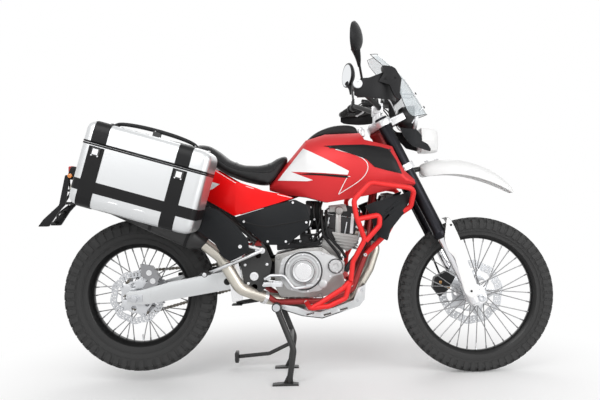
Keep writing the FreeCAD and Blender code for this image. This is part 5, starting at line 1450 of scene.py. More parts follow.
    def mirrors(self) -> None:
        """Pear-shaped mirrors on bent stalks, each with its glass."""
        shape = Shape()
        start = bar_point(-235) + Vector((-2, 0, 18))
        stalk = curve_through([start, start + Vector((0, -22, 26)), (268, -330, 1336), (262, -368, 1380)], 5)
        shape.use(BLACK_METAL).tube(stalk, 5, 14)
        shape.turned([(0, 0), (0, 9), (16, 9), (18, 6.5), (26, 6.5), (26, 0)], start - Vector((0, 0, 2)),
                     (0.1, -0.2, 1), 6)
        shape.use(PLASTIC).tube(curve_through([(250, -386, 1384), (261, -364, 1350), (267, -338, 1322)], 5),
                                lambda share: 20 - 14 * share ** 0.7, 16)
        head = Vector((243, -390, 1413))
        turned = Matrix.Rotation(radians(-15), 3, "Z")
        rings = []
        for depth, share in ((-2, 0.97), (2, 1.0), (7, 1.0), (13, 0.93), (20, 0.8), (27, 0.6), (32, 0.36),
                             (34, 0.1)):
            ring = []
            for turn in turns(40):
                across, up = cos(turn), sin(turn)
                wide = 84 * share * (1 - 0.1 * (1 - up))
                ring.append(head + turned @ Vector((depth + 3 * share * up, wide * across,
                                                    (74 if up > 0 else 50) * share * up)))
            rings.append(ring)
        shape.loft(rings)
        glass = [head + turned @ Vector((-2.8 + 2.7 * sin(a), 76 * (0.9 + 0.1 * sin(a)) * cos(a),
                                         (66 if sin(a) > 0 else 44) * sin(a)))
                 for a in turns(40)]
        back = [point + turned @ Vector((1.6, 0, 0)) for point in glass]
        shape.use(MIRROR_GLASS).loft([glass, back])
        for corner in shape.mirrored().mesh.verts:
            if corner.co.y > 0:
                corner.co.x += 29 * min(1.0, max(0.0, corner.co.z - 1270) / 80)
        shape.piece("mirror_pair", "steering", ["mirrors"], sharp=42)

    def lamp(self) -> None:
        """The round headlamp: rim, lens, reflector, bucket and bracket."""
        way = Vector((0.96, 0, -0.1)).normalized()
        centre = Vector((506, 0, 1150))
        shape = Shape().use(BLACK_METAL)
        shape.turned([(-40, 0), (-40, 34), (-28, 46), (0, 56), (28, 60), (28, 56), (0, 52), (-30, 30),
                      (-30, 0)], centre, way, 56)
        shape.use(SATIN).turned([(26, 57), (26, 63), (30, 66), (38, 66), (43, 64), (44, 60), (40, 57)],
                                centre, way, 56, ring=True)
        shape.use(REFLECTOR).turned([(-24, 0), (-23, 14), (-10, 34), (12, 48), (34, 57), (34, 59), (10, 51),
                                     (-12, 37), (-27, 0)], centre, way, 56)
        shape.turned([(-22, 0), (-22, 7), (-2, 7), (2, 4), (2, 0)], centre, way, 20)
        shape.use(LENS).turned([(36, 0), (37, 20), (35, 42), (33, 58), (30.5, 58), (31.5, 42), (33.5, 20),
                                (33, 0)], centre, way, 56)
        shape.use(BLACK_METAL).plate([(410, 1124), (482, 1156), (476, 1170), (402, 1136)], -88, 88)
        shape.piece("headlamp", "steering", ["headlight"], bevel=0.5, sharp=40)

    def mask(self) -> None:
        """The pale mask round the lamp and the dark beak below it."""
        shape = Shape().use(CHARCOAL)
        cheek = [(463, 1098), (536, 1091), (571, 1050), (601, 1003), (597, 993), (556, 1006), (514, 1019),
                 (478, 1060)]
        for side in SIDES:
            shape.plate(rounded(cheek, 4), *span(side, 80, 88))
        for corner in shape.mesh.verts:
            corner.co.y *= 1 - 0.28 * max(0.0, (corner.co.x - 500) / 100) ** 1.4
        nose = [(-70, 1094), (70, 1094), (78, 1040), (58, 996), (30, 986), (-30, 986), (-58, 996),
                (-78, 1040)]
        rings = []
        for x, share, z in ((560, 1.0, 4), (592, 0.96, 2), (616, 0.82, 0), (634, 0.6, -2), (640, 0.4, -3)):
            rings.append([(x, y * share, 1040 + (up - 1040) * (0.65 + 0.35 * share) + z) for y, up in nose])
        shape.use(WHITE).loft(rings)
        shape.piece("lamp_mask", "steering", ["headlight_mask"], bevel=1.2, sharp=40)

    def screen(self) -> None:
        """The clear curved screen with its dark edge, on four bolts."""
        rows = [((388, 1440), 62, 26), ((410, 1420), 92, 32), ((443, 1388), 112, 34), ((491, 1341), 129, 40),
                ((524, 1296), 134, 46), ((552, 1245), 134, 52), ((574, 1210), 126, 56),
                ((588, 1186), 116, 57), ((602, 1164), 94, 50)]
        grid = []
        steps = 16
        for (x, z), half, sweep in rows:
            line = []
            for index in range(steps + 1):
                share = -1 + 2 * index / steps
                back = sweep * share * share * 1.6 + 2
                line.append(Vector((x - back, half * share, z - back * 0.25)))
            grid.append(line)
        points = [point for line in grid for point in line]
        width = steps + 1
        faces = [(r * width + c, r * width + c + 1, (r + 1) * width + c + 1, (r + 1) * width + c)
                 for r in range(len(rows) - 1) for c in range(steps)]
        Shape().use(GLASS).add(points, faces).piece("windscreen", "steering", ["screen"], wall=2.6, sharp=70,
                                                    levels=1)
        edge = grid[0] + [line[-1] for line in grid[1:]] + list(reversed(grid[-1]))[1:]
        edge += [line[0] for line in reversed(grid[1:-1])]
        loop = [point + Vector((-1.4, 0, 0)) for point in edge + edge[:1]]
        trim = Shape().use(TRIM_BLACK).tube(loop, 1.3, 6)
        trim.tube([line[steps // 2] + Vector((-3.4, 0, -0.6)) for line in grid], 1.4, 6)
        for side in SIDES:
            trim.bolt((541, side * 50, 1252), (0.9, 0, 0.4), 6, 3)
            trim.bolt((576, side * 52, 1190), (0.9, 0, 0.4), 6, 3)
            trim.use(STEEL).tube(bent([(462, side * 50, 1250), (500, side * 50, 1252),
                                       (536, side * 50, 1250)], 20), 4, 10)
            trim.tube([(520, side * 62, 1120), (548, side * 56, 1160), (572, side * 52, 1188)], 3.6, 10)
            trim.use(TRIM_BLACK)
        trim.piece("screen_edge_and_stays", "steering", sharp=50)

    def instruments(self) -> None:
        """The instrument housing with its round dial and its display."""
        shape = Shape().use(PLASTIC)
        shape.plate(rounded([(398, 1212), (408, 1268), (452, 1300), (478, 1262), (470, 1220), (440, 1205)],
                            12), -78, 78)
        shape.block((428, -16, 1146), (450, 16, 1214))
        facing = Vector((-0.97, 0, 0.2)).normalized()
        shape.use(BLACK_METAL).turned([(-2, 24), (-2, 34), (5, 33), (5, 28)], (404, 30, 1240), facing, 40,
                                      ring=True)
        shape.use(DIAL).turned(oblong(-1, 2.5, 0, 30), (404, 30, 1240), facing, 40)
        shape.block((398.5, -64, 1222), (401, -10, 1256))
        shape.piece("instrument_cluster", "steering", ["instruments"], bevel=2.0)

    def build(self) -> None:
        """Builds everything round the handlebar."""
        self.handlebar()
        self.levers()
        self.hand_guards()
        self.mirrors()
        self.lamp()
        self.mask()
        self.screen()
        self.instruments()


# Bodywork

@dataclass
class Tank:
    """The faceted tank with its trim and its pad."""

    stations: tuple[tuple[float, float, float, float, float], ...] = (
        (-118, 72, 868, 838, 40), (-40, 118, 955, 815, 62), (47, 158, 1053, 803, 84),
        (132, 188, 1076, 778, 96), (297, 188, 1078, 803, 104), (417, 184, 1028, 828, 128),
        (466, 180, 910, 834, 150), (509, 172, 868, 842, 150))

    def section(self, x: float, half: float, top: float, bottom: float, shoulder: float) -> list[Triple]:
        """One section of the tank's skin, from the right lower edge over the top.

        Args:
            x: Where the section lies.
            half: Its half width.
            top: Its top.
            bottom: Its lower edge.
            shoulder: Half the width of its top face.

        Returns:
            The section's points.
        """
        high = top - bottom
        side = [(half * 0.86, bottom), (half * 0.97, bottom + high * 0.2), (half, bottom + high * 0.42),
                (half * 0.985, bottom + high * 0.6), (half * 0.92, top - high * 0.22),
                ((half * 0.92 + shoulder) / 2 + 3, top - high * 0.08), (shoulder, top), (shoulder * 0.5, top)]
        return [(x, -y, z) for y, z in side] + [(x, 0, top)] + [(x, y, z) for y, z in reversed(side)]

    def body(self) -> bpy.types.Object:
        """The painted shell of the tank, notched for the fork.

        Returns:
            The tank's object.
        """
        rings = [self.section(*values) for values in self.stations]
        room = Shape().use(TANK_RED).loft([[fork_point(ahead, y, up) for ahead, up in
                                            ((-142.4, 200), (436, 200), (436, 1200), (-142.4, 1200))]
                                           for y in (-150, 150)])
        return Shape().use(TANK_RED).loft(rings).piece("tank_shell", "chassis", ["fuel_tank"], bevel=5.0,
                                                       segments=3, sharp=28, room=room)

    def pad(self) -> None:
        """The black pad over the tank's back, with its clasp."""
        line = [(50, 1060), (78, 1084), (108, 1102), (159, 1121), (222, 1127), (268, 1120), (280, 1100),
                (280, 1078)]
        rings = []
        for index, (x, z) in enumerate(line):
            half = (46, 56, 61, 62, 61, 58, 52, 46)[index]
            floor = 1062 if x > 90 else 1058 + (x - 50) * 0.05
            rings.append([(x, -half, floor), (x, -half, z - 12), (x, -half * 0.86, z - 3), (x, 0, z),
                          (x, half * 0.86, z - 3), (x, half, z - 12), (x, half, floor), (x, 0, floor)])
        Shape().use(VINYL).loft(rings).piece("tank_top_pad", "chassis", ["tank_pad"], levels=2, sharp=80)
        clasp = [(285, 1070), (285, 1108), (298, 1113), (312, 1100), (313, 1070)]
        Shape().use(SATIN).plate(clasp, -34, 34).piece("tank_pad_clasp", "chassis", bevel=3.0)

    def build(self) -> None:
        """Builds the tank and all that lies on it."""
        skin = surface_of(self.body())
        self.pad()
        self.trim(skin)

    def trim(self, skin: BVHTree) -> None:
        """The white graphic, the black inset and the pale lines on both sides.

        Args:
            skin: The tank's surface in millimetres.
        """
        inset = [(124, 1021), (200, 1023), (291, 1022), (360, 1012), (400, 1000), (430, 950), (452, 892),
                 (390, 908), (336, 924), (302, 958), (240, 982), (183, 1003)]
        graphic = [(34, 1016), (130, 963), (226, 910), (220, 894), (100, 906), (-22, 916), (73, 876),
                   (50, 872), (-80, 880), (-60, 904)]
        wedge = [(220, 890), (222, 880), (100, 895), (10, 903), (60, 906)]
        pale = [[(172, 1004), (239, 984), (287, 961), (306, 935), (301, 903), (268, 866), (180, 812)],
                [(181, 815), (217, 881), (231, 886)]]
        for side in SIDES:
            word = "left" if side > 0 else "right"
            drape(Shape().use(TRIM_BLACK), inset, skin, side, 3.2, 9).piece(
                f"tank_inset_{word}", "chassis", ["tank_panels"] if side < 0 else [], sharp=40)
            marks = drape(Shape().use(TRIM_WHITE), graphic, skin, side, 3.0, 8)
            drape(marks.use(TRIM_BLACK), wedge, skin, side, 3.0, 8).piece(f"tank_graphic_{word}", "chassis",
                                                                          sharp=40)
            lines = Shape().use(TRIM_WHITE)
            for line in pale:
                drape(lines, ribbon([point.to_tuple() for point in curve_through(line, 4)], 3.0), skin, side,
                      2.0, 9)
            lines.use(BLACK_METAL)
            for x, z in ((150, 1014), (404, 996), (441, 906)):
                y = skin_depth(skin, x, z, side)
                lines.bolt((x, y + side * 2, z), (0, side, 0), 5, 3.4)
            lines.piece(f"tank_lines_{word}", "chassis", sharp=40)


def surface_of(made: bpy.types.Object) -> BVHTree:
    """A searchable surface of a finished piece, in millimetres."""
    points = [corner.co / MM for corner in made.data.vertices]
    return BVHTree.FromPolygons(points, [tuple(face.vertices) for face in made.data.polygons])


def skin_depth(skin: BVHTree, x: float, z: float, side: int) -> float:
    """How far across a side surface lies at a place, or at the nearest place of it.

    Args:
        skin: The surface in millimetres.
        x: The place's x.
        z: Its z.
        side: -1 for the right, 1 for the left.

    Returns:
        The surface's y.
    """
    hit = skin.ray_cast(Vector((x, side * 600, z)), Vector((0, -side, 0)))[0]
    return (hit or skin.find_nearest(Vector((x, side * 150, z)))[0]).y


def ribbon(line: Outline, width: float) -> list[Pair]:
    """The outline of a stripe along a line.

    Args:
        line: The stripe's middle line.
        width: Its width.

    Returns:
        The outline.
    """
    path = [Vector(point) for point in line]
    left, right = [], []
    for index, here in enumerate(path):
        way = (path[min(index + 1, len(path) - 1)] - path[max(index - 1, 0)]).normalized()
        across = Vector((-way.y, way.x)) * (width / 2)
        left.append(tuple(here + across))
        right.append(tuple(here - across))
    return left + list(reversed(right))


def drape(shape: Shape, outline: Outline, skin: BVHTree, side: int, lift: float, step: float) -> Shape:
    """Lays a flat outline on a side surface as a thin panel.

    Args:
        shape: The mesh it is added to.
        outline: Its (x, z) corners.
        skin: The surface in millimetres.
        side: -1 for the right, 1 for the left.
        lift: How far it stands out.
        step: The spacing of its inner points.

    Returns:
        The shape itself.
    """
    edge: list[Vector] = []
    for start, end in zip(outline, [*outline[1:], outline[0]]):
        a, b = Vector(start), Vector(end)
        pieces = max(1, int((b - a).length / step))
        edge += [a.lerp(b, index / pieces) for index in range(pieces)]
    count = len(edge)
    loop = [tuple(point) for point in edge]
    low_x, high_x = min(x for x, _ in loop), max(x for x, _ in loop)
    low_z, high_z = min(z for _, z in loop), max(z for _, z in loop)
    inner = []
    x = low_x + step / 2
    while x < high_x:
        z = low_z + step / 2
        while z < high_z:
            point = Vector((x, z))
            if inside(point, loop) and min((point - corner).length for corner in edge) > step * 0.6:
                inner.append(point)
            z += step
        x += step
    edges = [(index, (index + 1) % count) for index in range(count)]
    corners, _, faces = delaunay_2d_cdt(edge + inner, edges, [], 1, 1e-4)[:3]
    depths = [skin_depth(skin, x, z, side) for x, z in corners]
    outer, under = ([(x, y + side * out, z) for (x, z), y in zip(corners, depths)] for out in (lift, -1))
    return shape.thick(outer, under, faces)


@dataclass
class Seat:
    """The stepped two-up seat."""

    stations: tuple[tuple[float, float, float, float], ...] = (
        (-460, 94, 1054, 1022), (-420, 112, 1050, 1000), (-379, 126, 1042, 974), (-335, 136, 1012, 940),
        (-298, 140, 979, 914), (-262, 142, 962, 897), (-225, 142, 950, 884), (-160, 132, 947, 868),
        (-110, 112, 960, 864), (-84, 96, 984, 900), (-62, 84, 998, 934), (-38, 70, 1000, 972))
    shrink: float = 3.0
    swell: float = 7.0

    def shell(self) -> Shape:
        """The padding's shape before it swells."""
        shape = Shape().use(VINYL)
        rings = []
        for x, half, top, bottom in self.stations:
            half, top, bottom = half - self.shrink, top - self.shrink, bottom + self.shrink
            low = min(bottom, top - 24)
            rings.append([(x, -half, low), (x, -half, top - 26), (x, -half * 0.9, top - 10),
                          (x, -half * 0.7, top - 3), (x, 0, top), (x, half * 0.7, top - 3),
                          (x, half * 0.9, top - 10), (x, half, top - 26), (x, half, low), (x, 0, low)])
        return shape.loft(rings)

    def build(self) -> None:
        """Builds the cushion by a short cloth simulation, then its seams."""
        made = self.shell().plain("seat_cushion")
        voxels = made.modifiers.new("Voxels", "REMESH")
        voxels.mode, voxels.voxel_size = "VOXEL", 0.007
        settle(made)
        self.inflate(made)
        smooth = made.modifiers.new("Ease", "CORRECTIVE_SMOOTH")
        smooth.iterations, smooth.use_only_smooth = 12, True
        round_off = made.modifiers.new("Round", "SUBSURF")
        round_off.levels = round_off.render_levels = 1
        settle(made)
        finished(made, "chassis", ["seat"], 70)
        self.seams(surface_of(made))

    def inflate(self, made: bpy.types.Object) -> None:
        """Swells the cushion as upholstery does.

        Args:
            made: The cushion's object.
        """
        rest = [corner.co.copy() for corner in made.data.vertices]
        cloth = made.modifiers.new("Cloth", "CLOTH")
        cloth.settings.use_pressure = True
        cloth.settings.uniform_pressure_force = 4
        cloth.settings.effector_weights.gravity = 0
        cloth.settings.tension_stiffness = cloth.settings.compression_stiffness = 15
        cloth.settings.quality = 5
        first, last = 1, 20
        cloth.point_cache.frame_start, cloth.point_cache.frame_end = first, last
        scene = bpy.context.scene
        for number in range(first, last + 1):
            scene.frame_set(number)
        shown = made.evaluated_get(bpy.context.evaluated_depsgraph_get())
        moved = [corner.co.copy() for corner in shown.data.vertices]
        made.modifiers.clear()
        for corner, start, end in zip(made.data.vertices, rest, moved):
            shift = end - start
            if shift.length > self.swell * MM:
                shift.length = self.swell * MM
            corner.co = start + shift
        scene.frame_set(first)

    def seams(self, skin: BVHTree) -> None:
        """Piping along both upper edges and across the step.

        Args:
            skin: The cushion's surface in millimetres.
        """
        shape = Shape().use(VINYL)
        for side in SIDES:
            line = []
            for x, half, top, _ in self.stations[1:-1]:
                start = Vector((x, side * half * 0.9, top + 60))
                hit = skin.ray_cast(start, Vector((0, 0, -1)))[0]
                if hit:
                    line.append(hit)
            if len(line) > 3:
                shape.tube(curve_through(line, 4), 2.2, 8)
        for x, half, top in ((-262, 128, 962), (-118, 104, 958)):
            line = []
            for index in range(13):
                hit = skin.ray_cast(Vector((x, half * (-1 + index / 6), top + 80)), Vector((0, 0, -1)))[0]
                if hit:
                    line.append(hit)
            if len(line) > 3:
                shape.tube(curve_through(line, 3), 2.2, 8)
        shape.piece("seat_piping", "chassis", sharp=60)


@dataclass
class SidePanels:
    """Red panels under the seat and dark ones below them."""

    y: float = 150.0
    wall: float = 5.0
    tuck: float = 42.0

    def upper(self) -> None:
        """The red panels, tapered inwards at the back, with a white wedge."""
        outline = [(-394, 889), (-363, 945), (-262, 882), (-190, 856), (-147, 838), (-60, 820), (-10, 802),
                   (-140, 766), (-269, 731), (-330, 768), (-405, 812)]
        shape = Shape().use(PANEL_RED)
        shape.plate(rounded(outline, 7), -self.y - self.wall, -self.y)
        self.bend(shape)
        self.crease(shape)
        shape.turned(oblong(90, 120, 0, 8), (-300, 0, 848), (0, -1, 0), 16)
        wedge = Shape().use(TRIM_WHITE)
        wedge.plate([(-398, 872), (-372, 884), (-330, 870), (-362, 850), (-400, 838)],
                    -self.y - self.wall - 1.2, -self.y - self.wall + 1)
        wedge.plate(ribbon([(-360, 938), (-262, 875), (-190, 849), (-100, 824), (-20, 803)], 2.4),
                    -self.y - self.wall - 1.0, -self.y - self.wall + 1)
        self.bend(wedge)
        shape.mirrored().piece("rear_side_panels", "chassis", ["side_panels"], bevel=2.4, segments=3,
                               sharp=35)
        wedge.mirrored().piece("side_panel_trim", "chassis", sharp=40)

    def bend(self, shape: Shape) -> None:
        """Brings a panel's back inwards.

        Args:
            shape: The panel on the right side.
        """
        for corner in shape.mesh.verts:
            back = max(0.0, -250 - corner.co.x) / 170
            corner.co.y += self.tuck * min(1.0, back)

    def crease(self, shape: Shape) -> None:
        """Lifts the panel's middle into a soft crease.

        Args:
            shape: The panel on the right side.
        """
        for corner in shape.mesh.verts:
            height = 731 + (corner.co.x + 269) * 0.34
            share = max(0.0, 1 - abs(corner.co.z - height - 60) / 60)
            corner.co.y -= 2.5 * share

    def lower(self) -> None:
        """The dark panels with a black strip of painted shade along their groove, and bolts."""
        outline = [(-8, 796), (40, 772), (56, 713), (50, 672), (-48, 600), (-138, 604), (-238, 694),
                   (-266, 727), (-140, 762)]
        shape = Shape().use(CHARCOAL).plate(rounded(outline, 9), -self.y - self.wall, -self.y)
        groove = curve_through([(-222, 702), (-140, 682), (-60, 690), (48, 708)], 6)
        # The black ribbon is painted shade: it stands for the dark of the groove, which is not cut into the
        # panel.
        shape.use(TRIM_BLACK).plate(ribbon([(point.x, point.y) for point in groove], 7),
                                    -self.y - self.wall - 0.8, -self.y - self.wall + 1)
        shape.use(SATIN)
        shape.bolts(((-16, 782), (40, 696), (-50, 616), (-128, 618), (-228, 706)), -self.y - self.wall, -1,
                    5.4, 3.4)
        shape.mirrored().piece("frame_side_panels", "chassis", ["lower_panels"], bevel=1.8, sharp=35)

    def build(self) -> None:
        """Builds the panels of both sides."""
        self.upper()
        self.lower()


# Engine, exhaust and frame

@dataclass
class Engine:
    """The engine's castings, covers, hoses and bolts."""

    case_half: float = 112.0
    barrel_half: float = 78.0

    def crankcase(self) -> None:
        """The crankcase halves with ribs and bosses."""
        case = [(-100, 556), (10, 580), (107, 585), (182, 519), (208, 400), (91, 366), (-80, 372),
                (-104, 420)]
        shape = Shape().use(CAST).plate(rounded(case, 12), -self.case_half, 82)
        shape.use(CAST_DARK).plate([(-40, 396), (60, 396), (120, 420), (130, 520), (60, 556), (-40, 550)], 82,
                                   112)
        shape.use(CAST)
        for index in range(7):
            x = -80 + 30 * index
            shape.plate([(x, 360), (x + 5, 360), (x + 14, 400), (x + 8, 400)], -104, 104)
        for x, z in ((-88, 545), (-94, 420), (96, 374), (196, 410), (176, 512), (104, 578)):
            shape.bolt((x * 0.97, -self.case_half, z), (0, -1, 0), 8, 6)
        shape.piece("crankcase", "chassis", ["engine_crankcase"], bevel=2.0)

    def cylinder(self) -> None:
        """The leaning cylinder: base, barrel, head and cam cover."""
        shape = Shape()
        half = self.barrel_half
        layers = [(CAST, [(107, 585), (112, 626), (200, 590), (184, 523)], half),
                  (CAST_DARK, [(112, 628), (120, 672), (228, 640), (202, 592)], 74),
                  (CAST_DARK, [(119, 674), (130, 728), (276, 700), (250, 634)], half),
                  (CAST_DARK, [(131, 730), (136, 752), (213, 766), (282, 750), (277, 702)], 70)]
        for finish, outline, wide in layers:
            shape.use(finish).plate(rounded(outline, 5), -wide, wide)
        for index in range(4):
            z = 594 + index * 9
            x = 106 + index * 1.6
            shape.use(CAST).plate([(x, z), (x + 94, z - 36), (x + 95, z - 32), (x + 1, z + 4)], -80, 80)
        shape.plate(rounded([(150, 650), (264, 630), (268, 596), (214, 560), (176, 596)], 6), -84, 84)
        for index in range(5):
            shape.plate([(158 + 3 * index, 640 - 13 * index), (262 + index, 624 - 13 * index),
                         (262 + index, 620 - 13 * index), (158 + 3 * index, 636 - 13 * index)], -88, 88)
        shape.plate(rounded([(142, 736), (146, 764), (214, 770), (222, 738)], 5), -84, 84)
        shape.plate([(166, 644), (190, 640), (194, 728), (172, 730)], -82, 82)
        shape.use(SATIN).plate([(230, 640), (244, 638), (252, 726), (240, 728)], -84, 84)
        for x in (128, 206, 266):
            shape.use(STEEL).tube([(x, -80, 690 - x * 0.3), (x + 13, -80, 752 - x * 0.3)], 3.2, 8)
        shape.use(CAST).turned([(64, 0), (64, 19), (84, 19), (86, 16), (96, 15), (97, 0)], (186, 0, 742),
                               (0, -1, 0), 28)
        for x, z in ((140, 742), (206, 756), (268, 738), (136, 690), (262, 668)):
            shape.use(SATIN).bolt((x, -72 if z > 730 else -half, z), (0, -1, 0), 6, 5)
        for side in SIDES:
            shape.use(HOSE).tube(bent([(186, side * 40, 716), (170, side * 60, 730), (150, side * 62, 742)],
                                      10), 5, 10)
        shape.piece("cylinder_and_head", "chassis", ["engine_cylinder"], bevel=1.6)

    def covers(self) -> None:
        """The right cover with its round clutch cap, and the left covers."""
        right = [(-70, 540), (-30, 560), (10, 572), (90, 572), (150, 548), (200, 520), (196, 470), (150, 462),
                 (120, 430), (96, 400), (20, 392), (-50, 410), (-86, 470)]
        shape = Shape().use(COVER).plate(rounded(right, 14, 4), -146, -112.3)
        shape.use(CAST).plate(rounded([(x * 1.02, 480 + (z - 480) * 1.03) for x, z in right], 14, 4), -122,
                              -114)
        clutch, starter = (21, 0, 487), (161, 0, 505)
        shape.use(COVER).turned([(140, 0), (140, 82), (152, 80), (157, 76), (158, 70), (154, 66), (154, 58),
                                 (160, 54), (164, 50), (165, 44), (163, 40), (163, 0)], clutch, (0, -1, 0),
                                72)
        shape.use(POLISHED).turned([(163, 0), (163, 36), (164.6, 35), (164.6, 0)], clutch, (0, -1, 0), 64)
        shape.use(SATIN)
        for turn in turns(6, 0.5):
            shape.bolt((clutch[0] + 72 * cos(turn), -157, clutch[2] + 72 * sin(turn)), (0, -1, 0), 4.4, 3)
        shape.use(COVER).turned([(140, 0), (140, 31), (152, 30), (156, 26), (156, 12), (153, 10), (153, 0)],
                                starter, (0, -1, 0), 40)
        shape.turned([(140, 0), (140, 20), (150, 19), (152, 15), (152, 0)], (104, 0, 430), (0, -1, 0), 32)
        # Thin dark rings at the edges of the clutch cap and the starter cap: painted shade of the grooves
        # round them.
        for along, radius, place in ((158, 83, clutch), (165.4, 49, clutch), (155, 32, starter)):
            shape.use(CAST_DARK).turned([(along - 20, radius - 2.4), (along, radius - 2.4), (along, radius),
                                         (along - 20, radius)], place, (0, -1, 0), 64, ring=True)
        shape.use(SATIN)
        for turn in (0.7, 2.8, 4.9):
            shape.bolt((starter[0] + 26 * cos(turn), -154, starter[2] + 26 * sin(turn)), (0, -1, 0), 3.6, 3)
        for x, z in ((-72, 520), (-26, 552), (50, 566), (110, 560), (176, 528), (188, 478), (140, 462),
                     (104, 418), (40, 400), (-30, 410), (-76, 466)):
            shape.bolt((x * 0.98, -146, z), (0, -1, 0), 5, 5)
        left = [(-60, 556), (60, 560), (130, 520), (140, 440), (80, 396), (-40, 396), (-50, 430)]
        shape.use(COVER).plate(rounded(left, 12, 4), 112.3, 146)
        shape.turned([(140, 0), (140, 68), (154, 66), (159, 60), (160, 52), (157, 46), (157, 0)],
                     (40, 0, 480), (0, 1, 0), 64)
        for turn in (0.3, 1.4, 2.4, 3.5, 4.5, 5.5):
            shape.use(SATIN).bolt((40 + 58 * cos(turn), 158, 480 + 58 * sin(turn)), (0, 1, 0), 4.4, 3)
        shape.piece("engine_side_covers", "chassis", ["engine_covers"], bevel=1.6)

    def details(self) -> None:
        """Hoses and wires along the engine's right side."""
        shape = Shape().use(HOSE)
        for shift in (0, 18):
            shape.tube(bent([(128 - shift, -98, 745), (125 - shift, -118, 700), (130 - shift, -124, 636),
                             (190 - shift, -132, 570 - shift * 0.6), (206 - shift, -136, 538 - shift * 0.6)],
                            34), 6.5, 14)
        shape.tube(bent([(-40, -92, 700), (-10, -104, 660), (40, -112, 640), (90, -100, 640),
                         (118, -84, 668)], 30), 5, 12)
        shape.tube(bent([(-86, -100, 640), (-40, -112, 612), (20, -118, 600), (86, -112, 606),
                         (116, -92, 640)], 30), 4, 12)
        shape.use(STEEL)
        for place, way in (((126, -98, 728), (0, -0.2, 1)), ((196, -130, 546), (0.5, 0, -1)),
                           ((-36, -93, 696), (0.6, 0, -1))):
            shape.turned(oblong(0, 8, 7, 9), place, way, 20, ring=True)
        shape.use(CAST_DARK).plate(rounded([(-150, 770), (-20, 786), (60, 770), (60, 720), (30, 700),
                                            (-120, 690)], 10), -66, 66)
        shape.use(PLASTIC).plate(rounded([(-70, 700), (40, 706), (60, 660), (40, 640), (-60, 634)], 10), -58,
                                 58)
        shape.plate(rounded([(40, 790), (104, 786), (112, 742), (96, 700), (50, 700)], 10), -58, 58)
        shape.use(HOSE).turned([(-30, 0), (-30, 34), (34, 30), (34, 0)], (92, 0, 690), (1, 0, 0), 32)
        shape.use(CAST_DARK).plate(rounded([(-92, 572), (-92, 606), (96, 622), (106, 592), (20, 584)], 8),
                                   -72, 72)
        shape.turned(oblong(-78, 78, 0, 24), (34, 0, 632), (0, 1, 0), 32)
        for x, lean, radius in ((66, 12, 5), (82, -8, 7), (98, 6, 4.5), (112, -12, 6)):
            shape.use(HOSE).tube(curve_through([(x, -58, 786), (x + lean, -72, 730), (x - lean, -84, 660),
                                                (x + lean - 8, -92, 606)], 5), radius, 12)
        for x, z in ((62, 760), (76, 706), (58, 668), (84, 646), (40, 652), (94, 618), (12, 612), (-40, 604),
                     (70, 624)):
            shape.use(STEEL).bolt((x, -90 if z < 720 else -62, z), (0, -1, 0), 5, 4)
        shape.piece("hoses_and_intake", "chassis", bevel=1.0, sharp=45)

    def radiator(self) -> None:
        """The finned radiator between its tanks, the hose and the side fins."""
        shape = Shape().use(BLACK_METAL)
        frame_side = [(326, 606), (358, 598), (420, 798), (388, 808)]
        for side in SIDES:
            low, high = span(side, 138, 118)
            shape.plate(rounded(frame_side, 6), low, high)
        shape.plate([(334, 612), (352, 606), (412, 792), (394, 798)], -118, 118)
        for share in (0.0, 1.0):
            x, z = 342 + 62 * share, 604 + 196 * share
            shape.plate([(x - 13, z + 1), (x + 14, z - 5), (x + 18, z + 8), (x - 9, z + 15)], -122, 122)
        for index in range(28):
            share = (index + 0.5) / 28
            x, z = 355 + 56 * share, 612 + 180 * share
            shape.plate([(x - 2, z), (x + 3, z - 1), (x + 3.6, z + 1), (x - 1.4, z + 2)], -117, 117)
        shape.use(HOSE).tube(bent([(345, -112, 630), (296, -124, 606), (250, -126, 540), (216, -128, 500),
                                   (205, -134, 480)], 22), 12, 18)
        shape.piece("radiator_core", "chassis", ["radiator"], bevel=0.8)
        outline = [(448, 806), (502, 824), (457, 727), (397, 655), (383, 609), (341, 631), (310, 729),
                   (290, 760), (330, 776)]
        fin = Shape().use(CHARCOAL).plate(rounded(outline, 7), -182, -168)
        for index in range(3):
            fin.plate(rounded([(340 + 18 * index, 668 + 34 * index), (352 + 18 * index, 662 + 34 * index),
                               (400 + 22 * index, 716 + 28 * index), (388 + 22 * index, 724 + 28 * index)],
                              3), -186, -181)
        fin.plate([(356, 690), (376, 690), (386, 720), (366, 720)], -169, -138.3)
        fin.mirrored().piece("radiator_fins", "chassis", ["radiator_shrouds"], bevel=1.6)

    def build(self) -> None:
        """Builds the engine."""
        self.crankcase()
        self.cylinder()
        self.covers()
        self.details()
        self.radiator()


